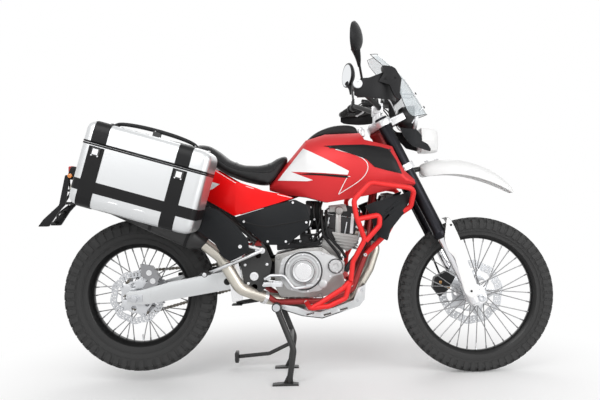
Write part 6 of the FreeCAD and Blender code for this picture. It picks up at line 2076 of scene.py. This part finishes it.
@dataclass
class Exhaust:
    """Header pipes, silencer and heat shield."""

    pipe: float = 19.0

    def pipes(self) -> None:
        """The twin headers into one rising pipe, with clamps."""
        shape = Shape().use(EXHAUST)
        for side in SIDES:
            path = [(252, side * 34, 640), (318, side * 40, 636), (348, side * 46, 570),
                    (316, side * 50, 480),
                    (236, side * 54, 352), (120, -20 + side * 22, 322), (-60, -60 + side * 20, 352)]
            shape.tube(bent(path, 42), self.pipe, 24)
            shape.turned(oblong(0, 9, 19, 27), (256, side * 34, 640), (1, 0, -0.05), 32, ring=True)
        shape.tube(bent([(-40, -60, 350), (-130, -100, 366), (-250, -167, 420), (-330, -167, 560),
                         (-430, -160, 640)], 60), 26, 28)
        shape.use(SATIN)
        for place, way in (((-150, -112, 374), (-0.8, -0.4, 0.35)), ((-410, -161, 622), (-0.78, 0, 0.62))):
            shape.turned(oblong(-8, 8, 26, 29), place, way, 32, ring=True)
        shape.piece("header_pipes", "chassis", ["exhaust_pipes"], sharp=45)
        chamber = Shape().use(POLISHED)
        chamber.plate(rounded([(-289, 516), (-259, 533), (-246, 470), (-242, 368), (-289, 357), (-296, 430)],
                              8), -137, -132)
        chamber.piece("pipe_cover", "chassis", bevel=2.0)

    def silencer(self) -> None:
        """The silencer: cone, round can, bands and outlet."""
        foot = Vector((-440, -160, 640))
        way = (Vector((-980, -160, 900)) - Vector((-430, -160, 640))).normalized()
        shape = Shape().use(BLACK_METAL)
        shape.turned([(-56, 26), (-54, 28), (0, 49), (4, 50), (536, 50), (540, 48), (540, 30), (536, 26)],
                     foot, way, 56)
        shape.use(TRIM_BLACK)
        for along in (16, 180, 500):
            shape.turned(oblong(along, along + 14, 50, 51.6), foot, way, 56, ring=True)
        shape.use(EXHAUST).turned([(530, 18), (530, 24), (568, 24), (570, 22), (570, 18)], foot, way, 40,
                                  ring=True)
        shape.piece("silencer_can", "chassis", ["silencer"], sharp=40)

    def shield(self) -> None:
        """The dark angled shield with its bolt and raised edge."""
        outline = [(-409, 787), (-326, 759), (-262, 702), (-206, 633), (-202, 582), (-285, 541), (-320, 569),
                   (-343, 617), (-425, 684), (-444, 711)]
        shape = Shape().use(CHARCOAL).plate(rounded(outline, 10), -228, -224)
        ridge = [(-392, 770), (-326, 742), (-276, 694), (-226, 630), (-224, 596), (-284, 562), (-306, 584),
                 (-330, 630), (-412, 694), (-424, 712)]
        shape.plate(rounded(ridge, 8), -230, -227)
        for x, z in ((-320, 580), (-411, 678)):
            shape.turned(oblong(167, 225, 0, 8), (x, 0, z), (0, -1, 0), 20)
        shape.use(SATIN).bolt((-240, -230, 604), (0, -1, 0), 8, 4)
        shape.piece("pipe_shield", "chassis", ["heat_shield"], bevel=1.5)

    def build(self) -> None:
        """Builds the exhaust."""
        self.pipes()
        self.silencer()
        self.shield()


@dataclass
class Chassis:
    """Frame tubes, guards, swingarm, shock, pegs and controls."""

    bar: float = 11.0

    def frame_tubes(self) -> None:
        """The painted frame with its cradle, backbone and pivot plates."""
        shape = Shape().use(FRAME_RED)
        low, high = fork_point(-64.4, 0, 670.5), fork_point(-64.4, 0, 855.9)
        shape.turned([(0, 15), (0, 28), (6, 31), (16, 31), (20, 28), (165, 28), (169, 31), (180, 31),
                      (185.4, 28), (185.4, 15)], low, FORK_UP, 40)
        back = low.lerp(high, 0.6)
        shape.tube(bent([back, (210, 0, 905), (-80, 0, 800), (-170, 0, 640)], 70), 24, 24)
        for side in SIDES:
            start = fork_point(-78.4, side * 10, 700.5)
            shape.tube(bent([start, (352, side * 46, 850), (306, side * 96, 575), (232, side * 118, 398),
                             (120, side * 118, 352), (-98, side * 118, 352), (-196, side * 118, 420)], 40),
                       13, 18)
            shape.tube([(-170, 0, 650), (-170, side * 150, 600)], 16, 18)
            shape.tube([(-190, side * 118, 424), (-190, side * 150, 424)], 13, 18)
        shape.tube([(-140, -149.7, 700), (-140, 149.7, 700)], 7, 12)
        shape.tube([(-190, -138, 470), (-190, 138, 470)], 9, 16)
        plate = [(-249, 533), (-190, 616), (-146, 612), (-112, 530), (-132, 431), (-158, 402), (-231, 417)]
        hole = circle(14, -172, 560, 20)
        for side in SIDES:
            inner, outer = span(side, 138, 150)
            shape.use(BLACK_METAL).plate(rounded(plate, 10), inner, outer, [hole])
            shape.use(SATIN).turned([(0, 0), (0, 19), (5, 18), (6, 12), (3, 11), (3, 0)],
                                    (-190, side * 150, 470), (0, side, 0), 28)
            shape.bolts(((-216, 440), (-150, 430), (-134, 520), (-186, 596), (-228, 520)), side * 150, side,
                        6, 4)
        shape.piece("frame_tubes", "chassis", ["frame"], bevel=0.0, sharp=45)

    def rear_rails(self) -> None:
        """The black rails that carry the seat, the luggage and the tail."""
        shape = Shape().use(BLACK_METAL)
        for side in SIDES:
            y = side * 92
            shape.tube(bent([(-110, side * 26, 800), (-160, y, 826), (-420, y, 868), (-760, y, 940)], 40), 11,
                       18)
            shape.tube(bent([(-176, side * 128, 618), (-250, y, 680), (-500, y, 884)], 60), 11, 18)
        for x, z in ((-420, 868), (-756, 939)):
            shape.tube([(x, -92, z), (x, 92, z)], 9, 16)
        shape.piece("rear_rails", "chassis", ["subframe"], sharp=60)

    def guard_bars(self) -> None:
        """The bright red guard bars on both sides, with clamps."""
        shape = Shape().use(GUARD_RED)
        runs = [([(222, -190, 446), (232, -194, 525), (284, -206, 618), (248, -240, 718), (238, -245, 785),
                  (310, -245, 858), (494, -233, 828), (484, -186, 752), (425, -156, 712), (385, -150, 640),
                  (292, -112, 548)], 30),
                ([(256, -232, 706), (350, -214, 722), (346, -212, 676), (288, -206, 612)], 16),
                ([(228, -118, 420), (220, -190, 449), (198, -192, 372), (125, -192, 340), (46, -188, 332),
                  (30, -128, 352)], 20),
                ([(216, -190, 440), (188, -190, 414), (84, -190, 350), (56, -190, 336)], 14)]
        for line, radius in runs:
            shape.tube(bent(line, radius, 6), self.bar, 24)
        shape.use(SATIN)
        for place in ((292, -112, 548), (228, -118, 420), (30, -128, 352)):
            shape.bolt((place[0], place[1] - 6, place[2]), (0, -1, 0), 8, 12)
        shape.mirrored().piece("guard_bars", "chassis", ["crash_bars"], sharp=60)

    def skid(self) -> None:
        """The bent aluminium plate with slots and bolts."""
        shape = Shape().use(SKID)
        under = [(-77, 319), (11, 289), (99, 276), (180, 301), (261, 326), (284, 354), (291, 420)]
        inner = [(287, 420), (280, 356), (258, 330), (178, 305), (98, 280.5), (12, 293), (-77, 323)]
        shape.plate(under + inner, -122, 122)
        side_outline = under + [(256, 404), (236, 352), (160, 326), (89, 304), (39, 310), (-10, 330),
                                (-77, 341)]
        slots = [ribbon([(x, z), (x + 34, z + 8)], 7) for x, z in ((30, 294), (104, 290), (176, 311))]
        for side in SIDES:
            low, high = span(side, 118, 122)
            shape.plate(side_outline, low, high, [rounded(slot, 3) for slot in slots])
            shape.use(STEEL).bolts(((-60, 328), (256, 352), (272, 396)), side * 122, side, 6, 4)
            shape.use(SKID)
        for index in range(4):
            y = -75 + 50 * index
            shape.plate([(262, 330), (280, 352), (278, 354), (260, 332)], y - 10, y + 10)
        shape.piece("belly_plate", "chassis", ["skid_plate"], bevel=1.2, sharp=35)

    def rear_arm(self) -> None:
        """The box-section swingarm with its adjusters, axle and guide."""
        outline = [(-172, 488), (-208, 498), (-300, 492), (-420, 476), (-560, 452), (-681, 420), (-745, 415),
                   (-745, 361), (-661, 359), (-300, 414), (-205, 444), (-172, 452)]
        hole = circle(15, -308, 448)
        shape = Shape()
        for side in SIDES:
            low, high = span(side, 104, 134)
            shape.use(ARM_SILVER).plate(rounded(outline, 10), low, high)
            # A black disc on the outer face where the hole is: painted shade for the dark inside of the hole,
            # as the arm itself is not cut.
            face = span(side, 133.6, 135.2)
            shape.use(TRIM_BLACK).plate(hole, *face)
            shape.use(ARM_SILVER).plate(rounded([(-352, 476), (-560, 446), (-640, 420), (-640, 376),
                                                 (-352, 420)], 8), *span(side, 133.6, 136.4))
            shape.use(STEEL).bolts(((-728, 386), (-690, 386)), side * 137, side, 5, 4)
            shape.use(STEEL).turned([(134, 0), (134, 19), (139, 19), (139, 15), (148, 14), (148, 0)],
                                    (-710.8, 0, 385.4), (0, side, 0), 6)
            shape.plate(rounded([(-742, 372), (-742, 400), (-676, 402), (-676, 370)], 4),
                        *span(side, 134, 137.4))
            shape.tube([(-742, side * 119, 388), (-752, side * 119, 388)], 5, 6)
            shape.turned(oblong(70.8, 103.6, 11, 16), (-710.8, 0, 385.4), (0, side, 0), 24, ring=True)
        shape.use(STEEL).tube([(-710.8, -130, 385.4), (-710.8, 130, 385.4)], 9.6, 20)
        shape.use(ARM_SILVER).turned(oblong(-124, 124, 0, 22), (-232, 0, 462), segments=32)
        shape.turned(oblong(-137, 137, 10, 20), (-190, 0, 470), segments=32, ring=True)
        shape.use(PLASTIC).plate(rounded([(-560, 470), (-250, 512), (-236, 506), (-236, 498), (-560, 456)],
                                         3), 84, 110)
        shape.piece("swinging_arm", "chassis", ["swingarm"], bevel=2.2, segments=3, sharp=38)

    def shock(self) -> None:
        """The shock absorber: spring, collars and shaft."""
        low, high = Vector((-240, 0, 488)), Vector((-190, 0, 650))
        way = (high - low).normalized()
        length = (high - low).length
        shape = Shape().use(STEEL).turned(oblong(4, length - 6, 0, 12), low, way, 24)
        shape.use(BLACK_METAL).turned(oblong(length * 0.16, length * 0.2, 12, 33), low, way, 32, ring=True)
        shape.turned(oblong(length * 0.78, length * 0.84, 12, 33), low, way, 32, ring=True)
        side = way.cross(Vector((0, 1, 0))).normalized()
        other = way.cross(side)
        coil, steps, total = [], 16, 96
        for index in range(total + 1):
            turn = 2 * pi * index / steps
            along = length * (0.22 + 0.54 * index / total)
            coil.append(low + way * along + side * (27 * cos(turn)) + other * (27 * sin(turn)))
        shape.use(SPRING).tube(coil, 5.4, 10)
        shape.piece("shock_absorber", "chassis", ["shock"], sharp=50)

    def pegs(self) -> None:
        """Rider and passenger pegs with their hangers and teeth."""
        shape = Shape()
        for side in SIDES:
            y = side * 205
            for line, radius in ((((-322, 634), (-160, 590)), 6.5), (((-150, 583), (-380, 494)), 7.5),
                                 (((-320, 640), (-332, 604)), 5.5)):
                shape.use(PEG).tube([(line[0][0], y, line[0][1]), (line[1][0], y, line[1][1])], radius, 14)
            shape.turned([(0, 0), (0, 13), (12, 13), (14, 11), (14, 0)], (-150, side * 196, 583),
                         (0, side, 0), 28)
            shape.turned(oblong(0, 56, 0, 8), (-172, side * 149.8, 584), (0, side, 0), 20)
            shape.tube(bent([(-384, side * 204, 496), (-384, side * 288, 496)], 4), 8.5, 16)
            shape.use(BLACK_METAL).tube(bent([(-362, side * 214, 498), (-362, side * 282, 498),
                                              (-404, side * 282, 494), (-404, side * 214, 494),
                                              (-362, side * 214, 498)], 10), 4.2, 10)
            for index in range(9):
                shape.use(RUBBER).turned(oblong(0, 5, 8.6, 11), (-384, side * (218 + 7.5 * index), 496),
                                         (0, side, 0), 18, ring=True)
        shape.piece("passenger_foot_pegs", "chassis", ["passenger_pegs"], bevel=0.5, sharp=45)
        rider = Shape()
        for side in SIDES:
            low, high = span(side, 150, 184)
            rider.use(PEG).plate(rounded([(-150, 428), (-150, 446), (-78, 446), (-70, 440), (-78, 428)], 4),
                                 low, high)
            low, high = span(side, 180, 250)
            for x in (-111, -70):
                rider.block((x, low, 434), (x + 4, high, 452))
            for index in range(8):
                y = side * (182 + 9 * index)
                rider.block((-109, min(y, y + side * 3.4), 438), (-68, max(y, y + side * 3.4), 452))
            low, high = span(side, 247, 250)
            rider.block((-111, low, 434), (-66, high, 452))
        rider.piece("rider_foot_pegs", "chassis", ["rider_pegs"], bevel=0.8)

    def controls(self) -> None:
        """Brake pedal with its tread plate, and the gear lever."""
        shape = Shape().use(PEG)
        pedal = [(-146, -169, 458), (-118, -170, 474), (-62, -172, 472), (-20, -176, 416), (48, -176, 424)]
        shape.tube(bent(pedal, 22), 6.6, 14)
        shape.plate(rounded([(30, 426), (34, 433), (62, 434), (62, 426)], 2), -190, -162)
        shape.turned(oblong(0, 24, 0, 10), (-128, -150, 462), (0, -1, 0), 20)
        gear = [(-36, 166, 440), (-10, 168, 438), (60, 178, 424), (96, 196, 424), (98, 222, 426)]
        shape.tube(bent(gear, 14), 6.2, 14)
        shape.turned(oblong(0, 24, 0, 8.5), (-30, 148, 440), (0, 1, 0), 20)
        shape.use(RUBBER).turned(oblong(0, 24, 6, 10), (98, 200, 425.4), (0.05, 1, 0), 20, ring=True)
        shape.piece("pedal_and_gear_lever", "chassis", ["foot_controls"], bevel=0.5, sharp=50)

    def build(self) -> None:
        """Builds the running gear."""
        self.frame_tubes()
        self.guard_bars()
        self.skid()
        self.rear_arm()
        self.shock()
        self.pegs()
        self.controls()
        self.rear_rails()
        dress("sprocket_cover", PLASTIC)
        dress("rear_caliper", CALIPER)
        pins = Shape().use(SATIN)
        for x, z in ((-652, 492), (-636, 456)):
            pins.turned([(-1, 0), (-1, 13), (4, 12), (4, 7), (2, 6), (2, 0)], (x, -103.7, z), (0, -1, 0), 24)
        pins.piece("rear_caliper_bolts", "chassis", sharp=40)
        dress("stand_shaft", STEEL)


@dataclass
class Luggage:
    """Aluminium cases on side hoops, with the carrier plate."""

    length: float = 495.0
    height: float = 335.0
    seam: float = 247.0
    inner: float = 236.0
    outer: float = 470.0
    corner: float = 34.0

    def place(self) -> Matrix:
        """The tilted frame of a case, at its rear lower inner corner."""
        return Matrix.Translation((-882.8, 0, 804.9)) @ Matrix.Rotation(radians(16.8), 4, "Y")

    def ring(self, grow: float, z: float, corner: float) -> list[Vector]:
        """A rounded rectangle round the case on the right side.

        Args:
            grow: How far it lies outside the case's walls.
            z: Its height in the case's frame.
            corner: The radius of its outer corners.

        Returns:
            The ring in the row frame.
        """
        low, high = -grow, self.length + grow
        near, far = -self.inner, -(self.outer + grow)
        flat = rounded(oblong(low, high, near, far), corner, 6)
        return [self.place() @ Vector((x, y, z)) for x, y in flat]

    def skin(self, shape: Shape, finish: Finish, *parts: Triple) -> None:
        """Adds a loft through rings, each given as its growth, height and corner radius."""
        shape.use(finish).loft([self.ring(*part) for part in parts])

    def shell(self) -> Shape:
        """The lower case: walls, floor, rim, bands and beads.

        Returns:
            The mesh on the right side.
        """
        c, seam = self.corner, self.seam
        shape = Shape()
        self.skin(shape, CASE, (-34, 0.6, c), (-22, 3, c), (-12, 8, c), (-5, 17, c), (-1, 28, c), (0, 42, c),
                  (0, seam - 4, c), (0, seam, c), (-2.2, seam, c - 2), (-2.2, 44, c - 2), (-14, 12, c - 2),
                  (-34, 5, c - 2))
        self.skin(shape, TRIM_BLACK, (0.0, seam - 7, c), (1.8, seam - 6, c), (1.8, seam - 1, c),
                  (-2.0, seam, c))
        self.skin(shape, TRIM_BLACK, (0.0, 62, c), (1.2, 63, c), (1.2, 104, c), (0.0, 105, c))
        for share in (0.36, 0.57):
            line = [self.place() @ Vector((self.length * share + x, -self.outer + 1.4 - lower, z))
                    for x, lower, z in ((-24, -6, 14), (-24, 0, 46), (24, 0, 46), (24, -6, 14))]
            shape.use(CASE).tube(bent(line, 12), 3.0, 8)
        return shape

    def straps(self, shape: Shape, path: Outline) -> None:
        """Black straps that wrap the outer wall.

        Args:
            shape: The mesh they are added to.
            path: Their section, as (outwards from the wall, up) pairs.
        """
        place = self.place()
        section = [(self.outer + out + 1.8, z) for out, z in path]
        section += [(self.outer + out - 1.6, z - (1.6 if out < -10 and z > 200 else 0)) for out,
                    z in reversed(path)]
        for ends in ((34, 94), (self.length - 130, self.length - 74)):
            shape.use(TRIM_BLACK).loft([[place @ Vector((x, -out, z)) for out, z in section] for x in ends])

    def latches(self, shape: Shape) -> None:
        """A latch block on each strap, below the seam.

        Args:
            shape: The mesh they are added to.
        """
        place = self.place()
        for middle in (64, self.length - 102):
            shape.use(BLACK_METAL).block((middle - 17, -self.outer - 7, self.seam - 46),
                                         (middle + 17, -self.outer - 1, self.seam - 12), place)
            shape.use(SATIN).block((middle - 11, -self.outer - 10, self.seam - 40),
                                   (middle + 11, -self.outer - 6, self.seam - 18), place)
            for x in (-12, 12):
                shape.bolt(place @ Vector((middle + x, -self.outer - 7, self.seam - 44)), (0, -1, 0), 3, 2)

    def lid(self) -> Shape:
        """The lid: a crowned shell with straps, beads and the arched handle.

        Returns:
            The mesh on the right side.
        """
        c, seam, high = self.corner, self.seam, self.height
        shape = Shape()
        self.skin(shape, CASE, (-2.2, seam + 1, c - 2), (0, seam + 1, c), (0, high - 40, c),
                  (-1, high - 28, c),
                  (-5, high - 16, c), (-13, high - 7, c), (-24, high - 2, c), (-40, high, c * 0.8))
        self.skin(shape, TRIM_BLACK, (0, seam + 1, c), (1.8, seam + 2, c), (1.8, seam + 7, c),
                  (0, seam + 8, c))
        self.straps(shape,
                    [(0, self.seam + 4), (0, high - 40), (-1, high - 27), (-5, high - 15), (-13, high - 5.5),
                     (-24, high), (-40, high + 2), (-120, high + 2)])
        place = self.place()
        for index in range(5):
            x = self.length * (index + 0.5) / 5
            line = [place @ Vector((x + along, -self.outer + back, high + 0.4))
                    for along, back in ((-28, 34), (-28, 84), (28, 84), (28, 34))]
            shape.use(CASE).tube(bent(line, 12), 2.2, 8)
        middle = -(self.inner + self.outer) / 2
        grip = [(70, 0), (96, 15), (160, 24), (245, 27), (330, 24), (394, 15), (420, 0)]
        rail = [place @ Vector((x, middle, high + up)) for x, up in grip]
        shape.use(PLASTIC).tube(curve_through(rail, 5), lambda share: 9 + 3 * sin(pi * share), 14, 0.7)
        for x in (76, 245, 414):
            lift = 22 if x == 245 else 8
            shape.use(BLACK_METAL).block((x - 14, middle - 15, high - 1), (x + 14, middle + 15, high + lift),
                                         place)
            for y in (-9, 9):
                shape.use(SATIN).bolt(place @ Vector((x - 8, middle + y, high + lift)), (0.29, 0, 0.96), 3.4,
                                      2)
        return shape

    def cases(self) -> None:
        """Both cases, each a shell and a lid."""
        for side in SIDES:
            word = "left" if side > 0 else "right"
            shell = self.shell()
            self.straps(shell, [(0, self.seam - 10), (0, 42), (-1, 27), (-5, 15.5), (-12, 7), (-22, 1.6),
                                (-34, -1.2), (-90, -1.4)])
            self.latches(shell)
            lid = self.lid()
            for made, name, body, node in ((shell, f"case_{word}", "chassis", f"pannier_shell_{word}"),
                                           (lid, f"case_lid_{word}", f"lid_{word}", f"pannier_lid_{word}")):
                if side > 0:
                    made.flipped()
                made.piece(name, body, [node], bevel=0.0, sharp=38)

    def rack(self) -> None:
        """The side hoops and the carrier plate on its posts."""
        shape = Shape().use(BLACK_METAL)
        for side in SIDES:
            y = side * 227.5
            path = [(-450, side * 95, 874), (-450, y, 874), (-470, y, 745), (-800, y, 845), (-740, y, 936),
                    (-740, side * 95, 936)]
            shape.tube(bent(path, 26), 8, 16)
            for x in (-700, -520):
                foot = 872 + (-420 - x) * 72 / 340
                shape.turned(oblong(0, 1001 - foot, 0, 9), (x, side * 92, foot), (0, 0, 1), 20)
        holes = [circle(4.25, -620 + a * 80, b * 60, 20) for a in SIDES for b in SIDES]
        slots = [rounded([(low, y - 7), (high, y - 7), (high, y + 7), (low, y + 7)], 6)
                 for low, high in ((-740, -660), (-590, -500)) for y in (-36, 0, 36)]
        shape.plate(rounded([(-770, -100), (-470, -100), (-470, 100), (-770, 100)], 22, 5), 1000, 1008,
                    holes + slots, "XY")
        shape.piece("carrier", "chassis", ["luggage_rack"], bevel=0.8, sharp=40)

    def build(self) -> None:
        """Builds the luggage."""
        self.cases()
        self.rack()


@dataclass
class Tail:
    """Rear mudguard, plate bracket and lamps."""

    half: float = 70.0

    def build(self) -> None:
        """Builds the tail: trough, bracket with its lattice, lamp and indicators."""
        shape = Shape().use(PLASTIC)
        path = [(-470, 852, 60), (-700, 905, 64), (-950, 960, 60), (-1002, 972, 46), (-1014, 946, 44),
                (-1010, 925, 46)]
        rings = []
        for x, z, half in path:
            rings.append([(x, -half, z - 34), (x, -half, z - 8), (x, -half * 0.8, z), (x, half * 0.8, z),
                          (x, half, z - 8), (x, half, z - 34), (x + 4, half - 4, z - 34),
                          (x + 4, half - 4, z - 10), (x + 4, -half + 4, z - 10), (x + 4, -half + 4, z - 34)])
        shape.loft(rings)
        side = [(-470, 850), (-700, 900), (-960, 950), (-1010, 930), (-1010, 912), (-800, 878), (-640, 802),
                (-480, 790)]
        for across in SIDES:
            shape.plate(rounded(side, 8), *sorted((across * 60, across * 66)))
        plate = [(-1016, 930), (-998, 930), (-1020, 800), (-1052, 767), (-1095, 705), (-1141, 706),
                 (-1117, 737), (-1046, 799)]
        for across in SIDES:
            shape.plate(rounded(plate, 5), *sorted((across * 66, across * 80)))
        for x, z, dx, dz in ((-1016, 914, 16, 12), (-1028, 858, 14, 10), (-1042, 800, 16, 12),
                             (-1084, 760, 16, 12), (-1126, 712, 20, 10)):
            shape.block((x, -self.half, z), (x + dx, self.half, z + dz))
        for start, end in (((-1016, 908), (-1036, 808)), ((-1058, 796), (-1118, 722))):
            for across in SIDES:
                shape.tube([(start[0] + 8, across * 60, start[1]), (end[0] + 8, -across * 60, end[1])], 5, 8)
        shape.block((-620, -94, 874), (-584, 94, 902))
        shape.use(LAMP_RED).plate(rounded([(-1014, 942), (-1014, 970), (-990, 972), (-984, 942)], 6), -40, 40)
        for across in SIDES:
            shape.use(PLASTIC).tube([(-996, across * 60, 926), (-992, across * 84, 926)], 6, 12)
            shape.use(AMBER).turned([(0, 0), (0, 10), (8, 10), (10, 6), (10, 0)], (-992, across * 82, 926),
                                    (0, across, 0), 20)
        shape.piece("tail_and_plate_bracket", "chassis", ["tail"], bevel=1.5, sharp=38)


@dataclass
class Stands:
    """The centre stand that carries the motorcycle, and the folded side stand."""

    pivot: Triple = (-98.0, 152.0, 335.0)

    def centre(self) -> None:
        """Two legs with curved feet, the brace and the tread lever."""
        shape = Shape().use(BLACK_METAL)
        x, y, z = self.pivot
        for side in SIDES:
            shape.tube(bent([(x, side * y, z), (-28, side * y, 150), (-52, side * y, 5)], 60), 13, 18)
            shape.turned(oblong(-15, 15, 10.6, 20), (x, side * y, z), segments=32, ring=True)
            foot = [(-123, 0), (-123, 6), (-100, 8), (-60, 10), (-30, 8), (-11, 6), (-11, 0)]
            shape.plate(foot, *sorted((side * (y - 20), side * (y + 20))))
            shape.plate([(-78, 6), (-34, 6), (-36, 46), (-60, 40)], *sorted((side * (y - 3), side * (y + 3))))
        shape.tube([(-40, -y, 178), (-40, y, 178)], 11, 16)
        shape.tube(bent([(-38, y, 120), (-150, y + 14, 66), (-300, y + 18, 54)], 40), 9, 14)
        shape.plate(rounded(oblong(-312, -296, 28, 78), 3), y - 2, y + 43)
        for index in range(5):
            shape.block((-314, y + 1 + 9 * index, 34), (-311.6, y + 6 + 9 * index, 72))
        shape.piece("main_stand", "centre_stand", ["centre_stand"], bevel=1.0, sharp=45)

    def side(self) -> None:
        """The side stand with its foot and its spring."""
        shape = Shape().use(BLACK_METAL)
        pivot = Vector((-10, 158, 345))
        shape.tube(bent([pivot, (-98, 190, 334), (-306, 250, 298)], 60), 11, 18)
        shape.turned(oblong(-15, 15, 8.7, 17), pivot, segments=32, ring=True)
        shape.plate(rounded([(-330, 288), (-330, 294), (-318, 296), (-288, 296), (-280, 290), (-280, 288)],
                            2), 228, 274)
        shape.use(STEEL).tube([(-40, 172, 330), (-150, 204, 310)], 5, 12)
        shape.piece("prop_stand", "side_stand", ["side_stand"], bevel=0.8, sharp=45)

    def build(self) -> None:
        """Builds both stands."""
        self.centre()
        self.side()


# Studio

@dataclass
class Studio:
    """Floor, background, lamps and camera."""

    eye: Triple = (0.015, -3.0, 0.7796)
    lens: float = 39.8
    roll: float = 1.52
    shift: float = 0.005

    @staticmethod
    def seen(graph: Graph) -> bpy.types.NodeSocket:
        """A socket that is 1 for camera, glossy and transmission rays.

        Args:
            graph: The tree it is added to.

        Returns:
            The socket.
        """
        ray = graph.add("ShaderNodeLightPath").outputs
        first = graph.add("ShaderNodeMath", {0: ray["Is Camera Ray"], 1: ray["Is Glossy Ray"]},
                          operation="MAXIMUM")
        return graph.add("ShaderNodeMath", {0: first.outputs[0], 1: ray["Is Transmission Ray"]},
                         operation="MAXIMUM").outputs[0]

    def floor(self) -> None:
        """A pale floor that fades into the white background."""
        half = 30.0
        data = bpy.data.meshes.new("floor")
        data.from_pydata([(-half, -half, 0), (half, -half, 0), (half, half, 0), (-half, half, 0)], [],
                         [(0, 1, 2, 3)])
        made = bpy.data.objects.new("floor", data)
        bpy.context.scene.collection.objects.link(made)
        surface = bpy.data.materials.new("studio_floor")
        surface.use_nodes = True
        graph = Graph(surface.node_tree)
        shader = graph.fill(graph.tree.nodes["Principled BSDF"], {"Base Color": (0.93, 0.93, 0.93, 1),
                                                                  "Roughness": 0.75})
        glow = graph.add("ShaderNodeEmission", {"Strength": 1.0})
        place = graph.add("ShaderNodeTexCoord")
        reach = graph.add("ShaderNodeVectorMath", {0: place.outputs["Object"]}, operation="LENGTH")
        fade = graph.add("ShaderNodeMapRange",
                         {"From Min": 0.45, "From Max": 1.7, "Value": reach.outputs["Value"]},
                         interpolation_type="SMOOTHSTEP")
        share = graph.add("ShaderNodeMath", {0: fade.outputs["Result"], 1: self.seen(graph)},
                          operation="MULTIPLY")
        mix = graph.add("ShaderNodeMixShader",
                        {0: share.outputs[0], 1: shader.outputs[0], 2: glow.outputs[0]})
        graph.fill(graph.tree.nodes["Material Output"], {"Surface": mix.outputs[0]})
        data.materials.append(surface)

    def world(self) -> None:
        """White to the camera and in reflections, dimmer as a light."""
        world = bpy.data.worlds.new("studio")
        world.use_nodes = True
        graph = Graph(world.node_tree)
        level = graph.add("ShaderNodeMapRange", {"To Min": 0.5, "To Max": 1.0, "Value": self.seen(graph)})
        graph.fill(graph.tree.nodes["Background"],
                   {"Color": (1, 1, 1, 1), "Strength": level.outputs["Result"]})
        bpy.context.scene.world = world

    def lamp(self, name: str, place: Triple, size: float, power: float) -> None:
        """One soft area lamp aimed at the motorcycle.

        Args:
            name: Its name.
            place: Where it hangs, in metres.
            size: Its side.
            power: Its power in watts.
        """
        light = bpy.data.lights.new(name, "AREA")
        light.shape, light.size, light.energy = "SQUARE", size, power
        made = bpy.data.objects.new(name, light)
        made.location = place
        aim = Vector((0, 0, 0.6)) - Vector(place)
        made.rotation_euler = aim.to_track_quat("-Z", "Y").to_euler()
        bpy.context.scene.collection.objects.link(made)

    def camera(self) -> None:
        """The camera at the photograph's place and angle."""
        data = bpy.data.cameras.new("camera")
        data.lens, data.sensor_width, data.shift_y = self.lens, 36, self.shift
        made = bpy.data.objects.new("camera", data)
        roll = radians(self.roll)
        turn = Matrix(((cos(roll), sin(roll), 0), (0, 0, -1), (-sin(roll), cos(roll), 0)))
        made.matrix_world = Matrix.Translation(self.eye) @ turn.to_4x4()
        bpy.context.scene.collection.objects.link(made)
        bpy.context.scene.camera = made

    def build(self) -> None:
        """Builds the studio."""
        self.floor()
        self.world()
        self.lamp("key", (-1.2, -3.2, 3.0), 2.6, 78)
        self.lamp("fill", (2.4, -2.8, 1.4), 2.2, 54)
        self.lamp("back", (0.4, 3.0, 3.0), 2.6, 30)
        self.camera()
        bpy.context.scene.view_settings.view_transform = "Standard"


def main() -> None:
    """Builds the motorcycle and its studio in order."""
    wheels()
    LOG.info("wheels")
    for part in (Drive(), Fork(), Cockpit(), Tank(), Seat(), SidePanels(), Engine(), Exhaust(), Chassis(),
                 Luggage(), Tail(), Stands(), Studio()):
        part.build()
        LOG.info(type(part).__name__.lower())


if __name__ == "__main__":
    main()
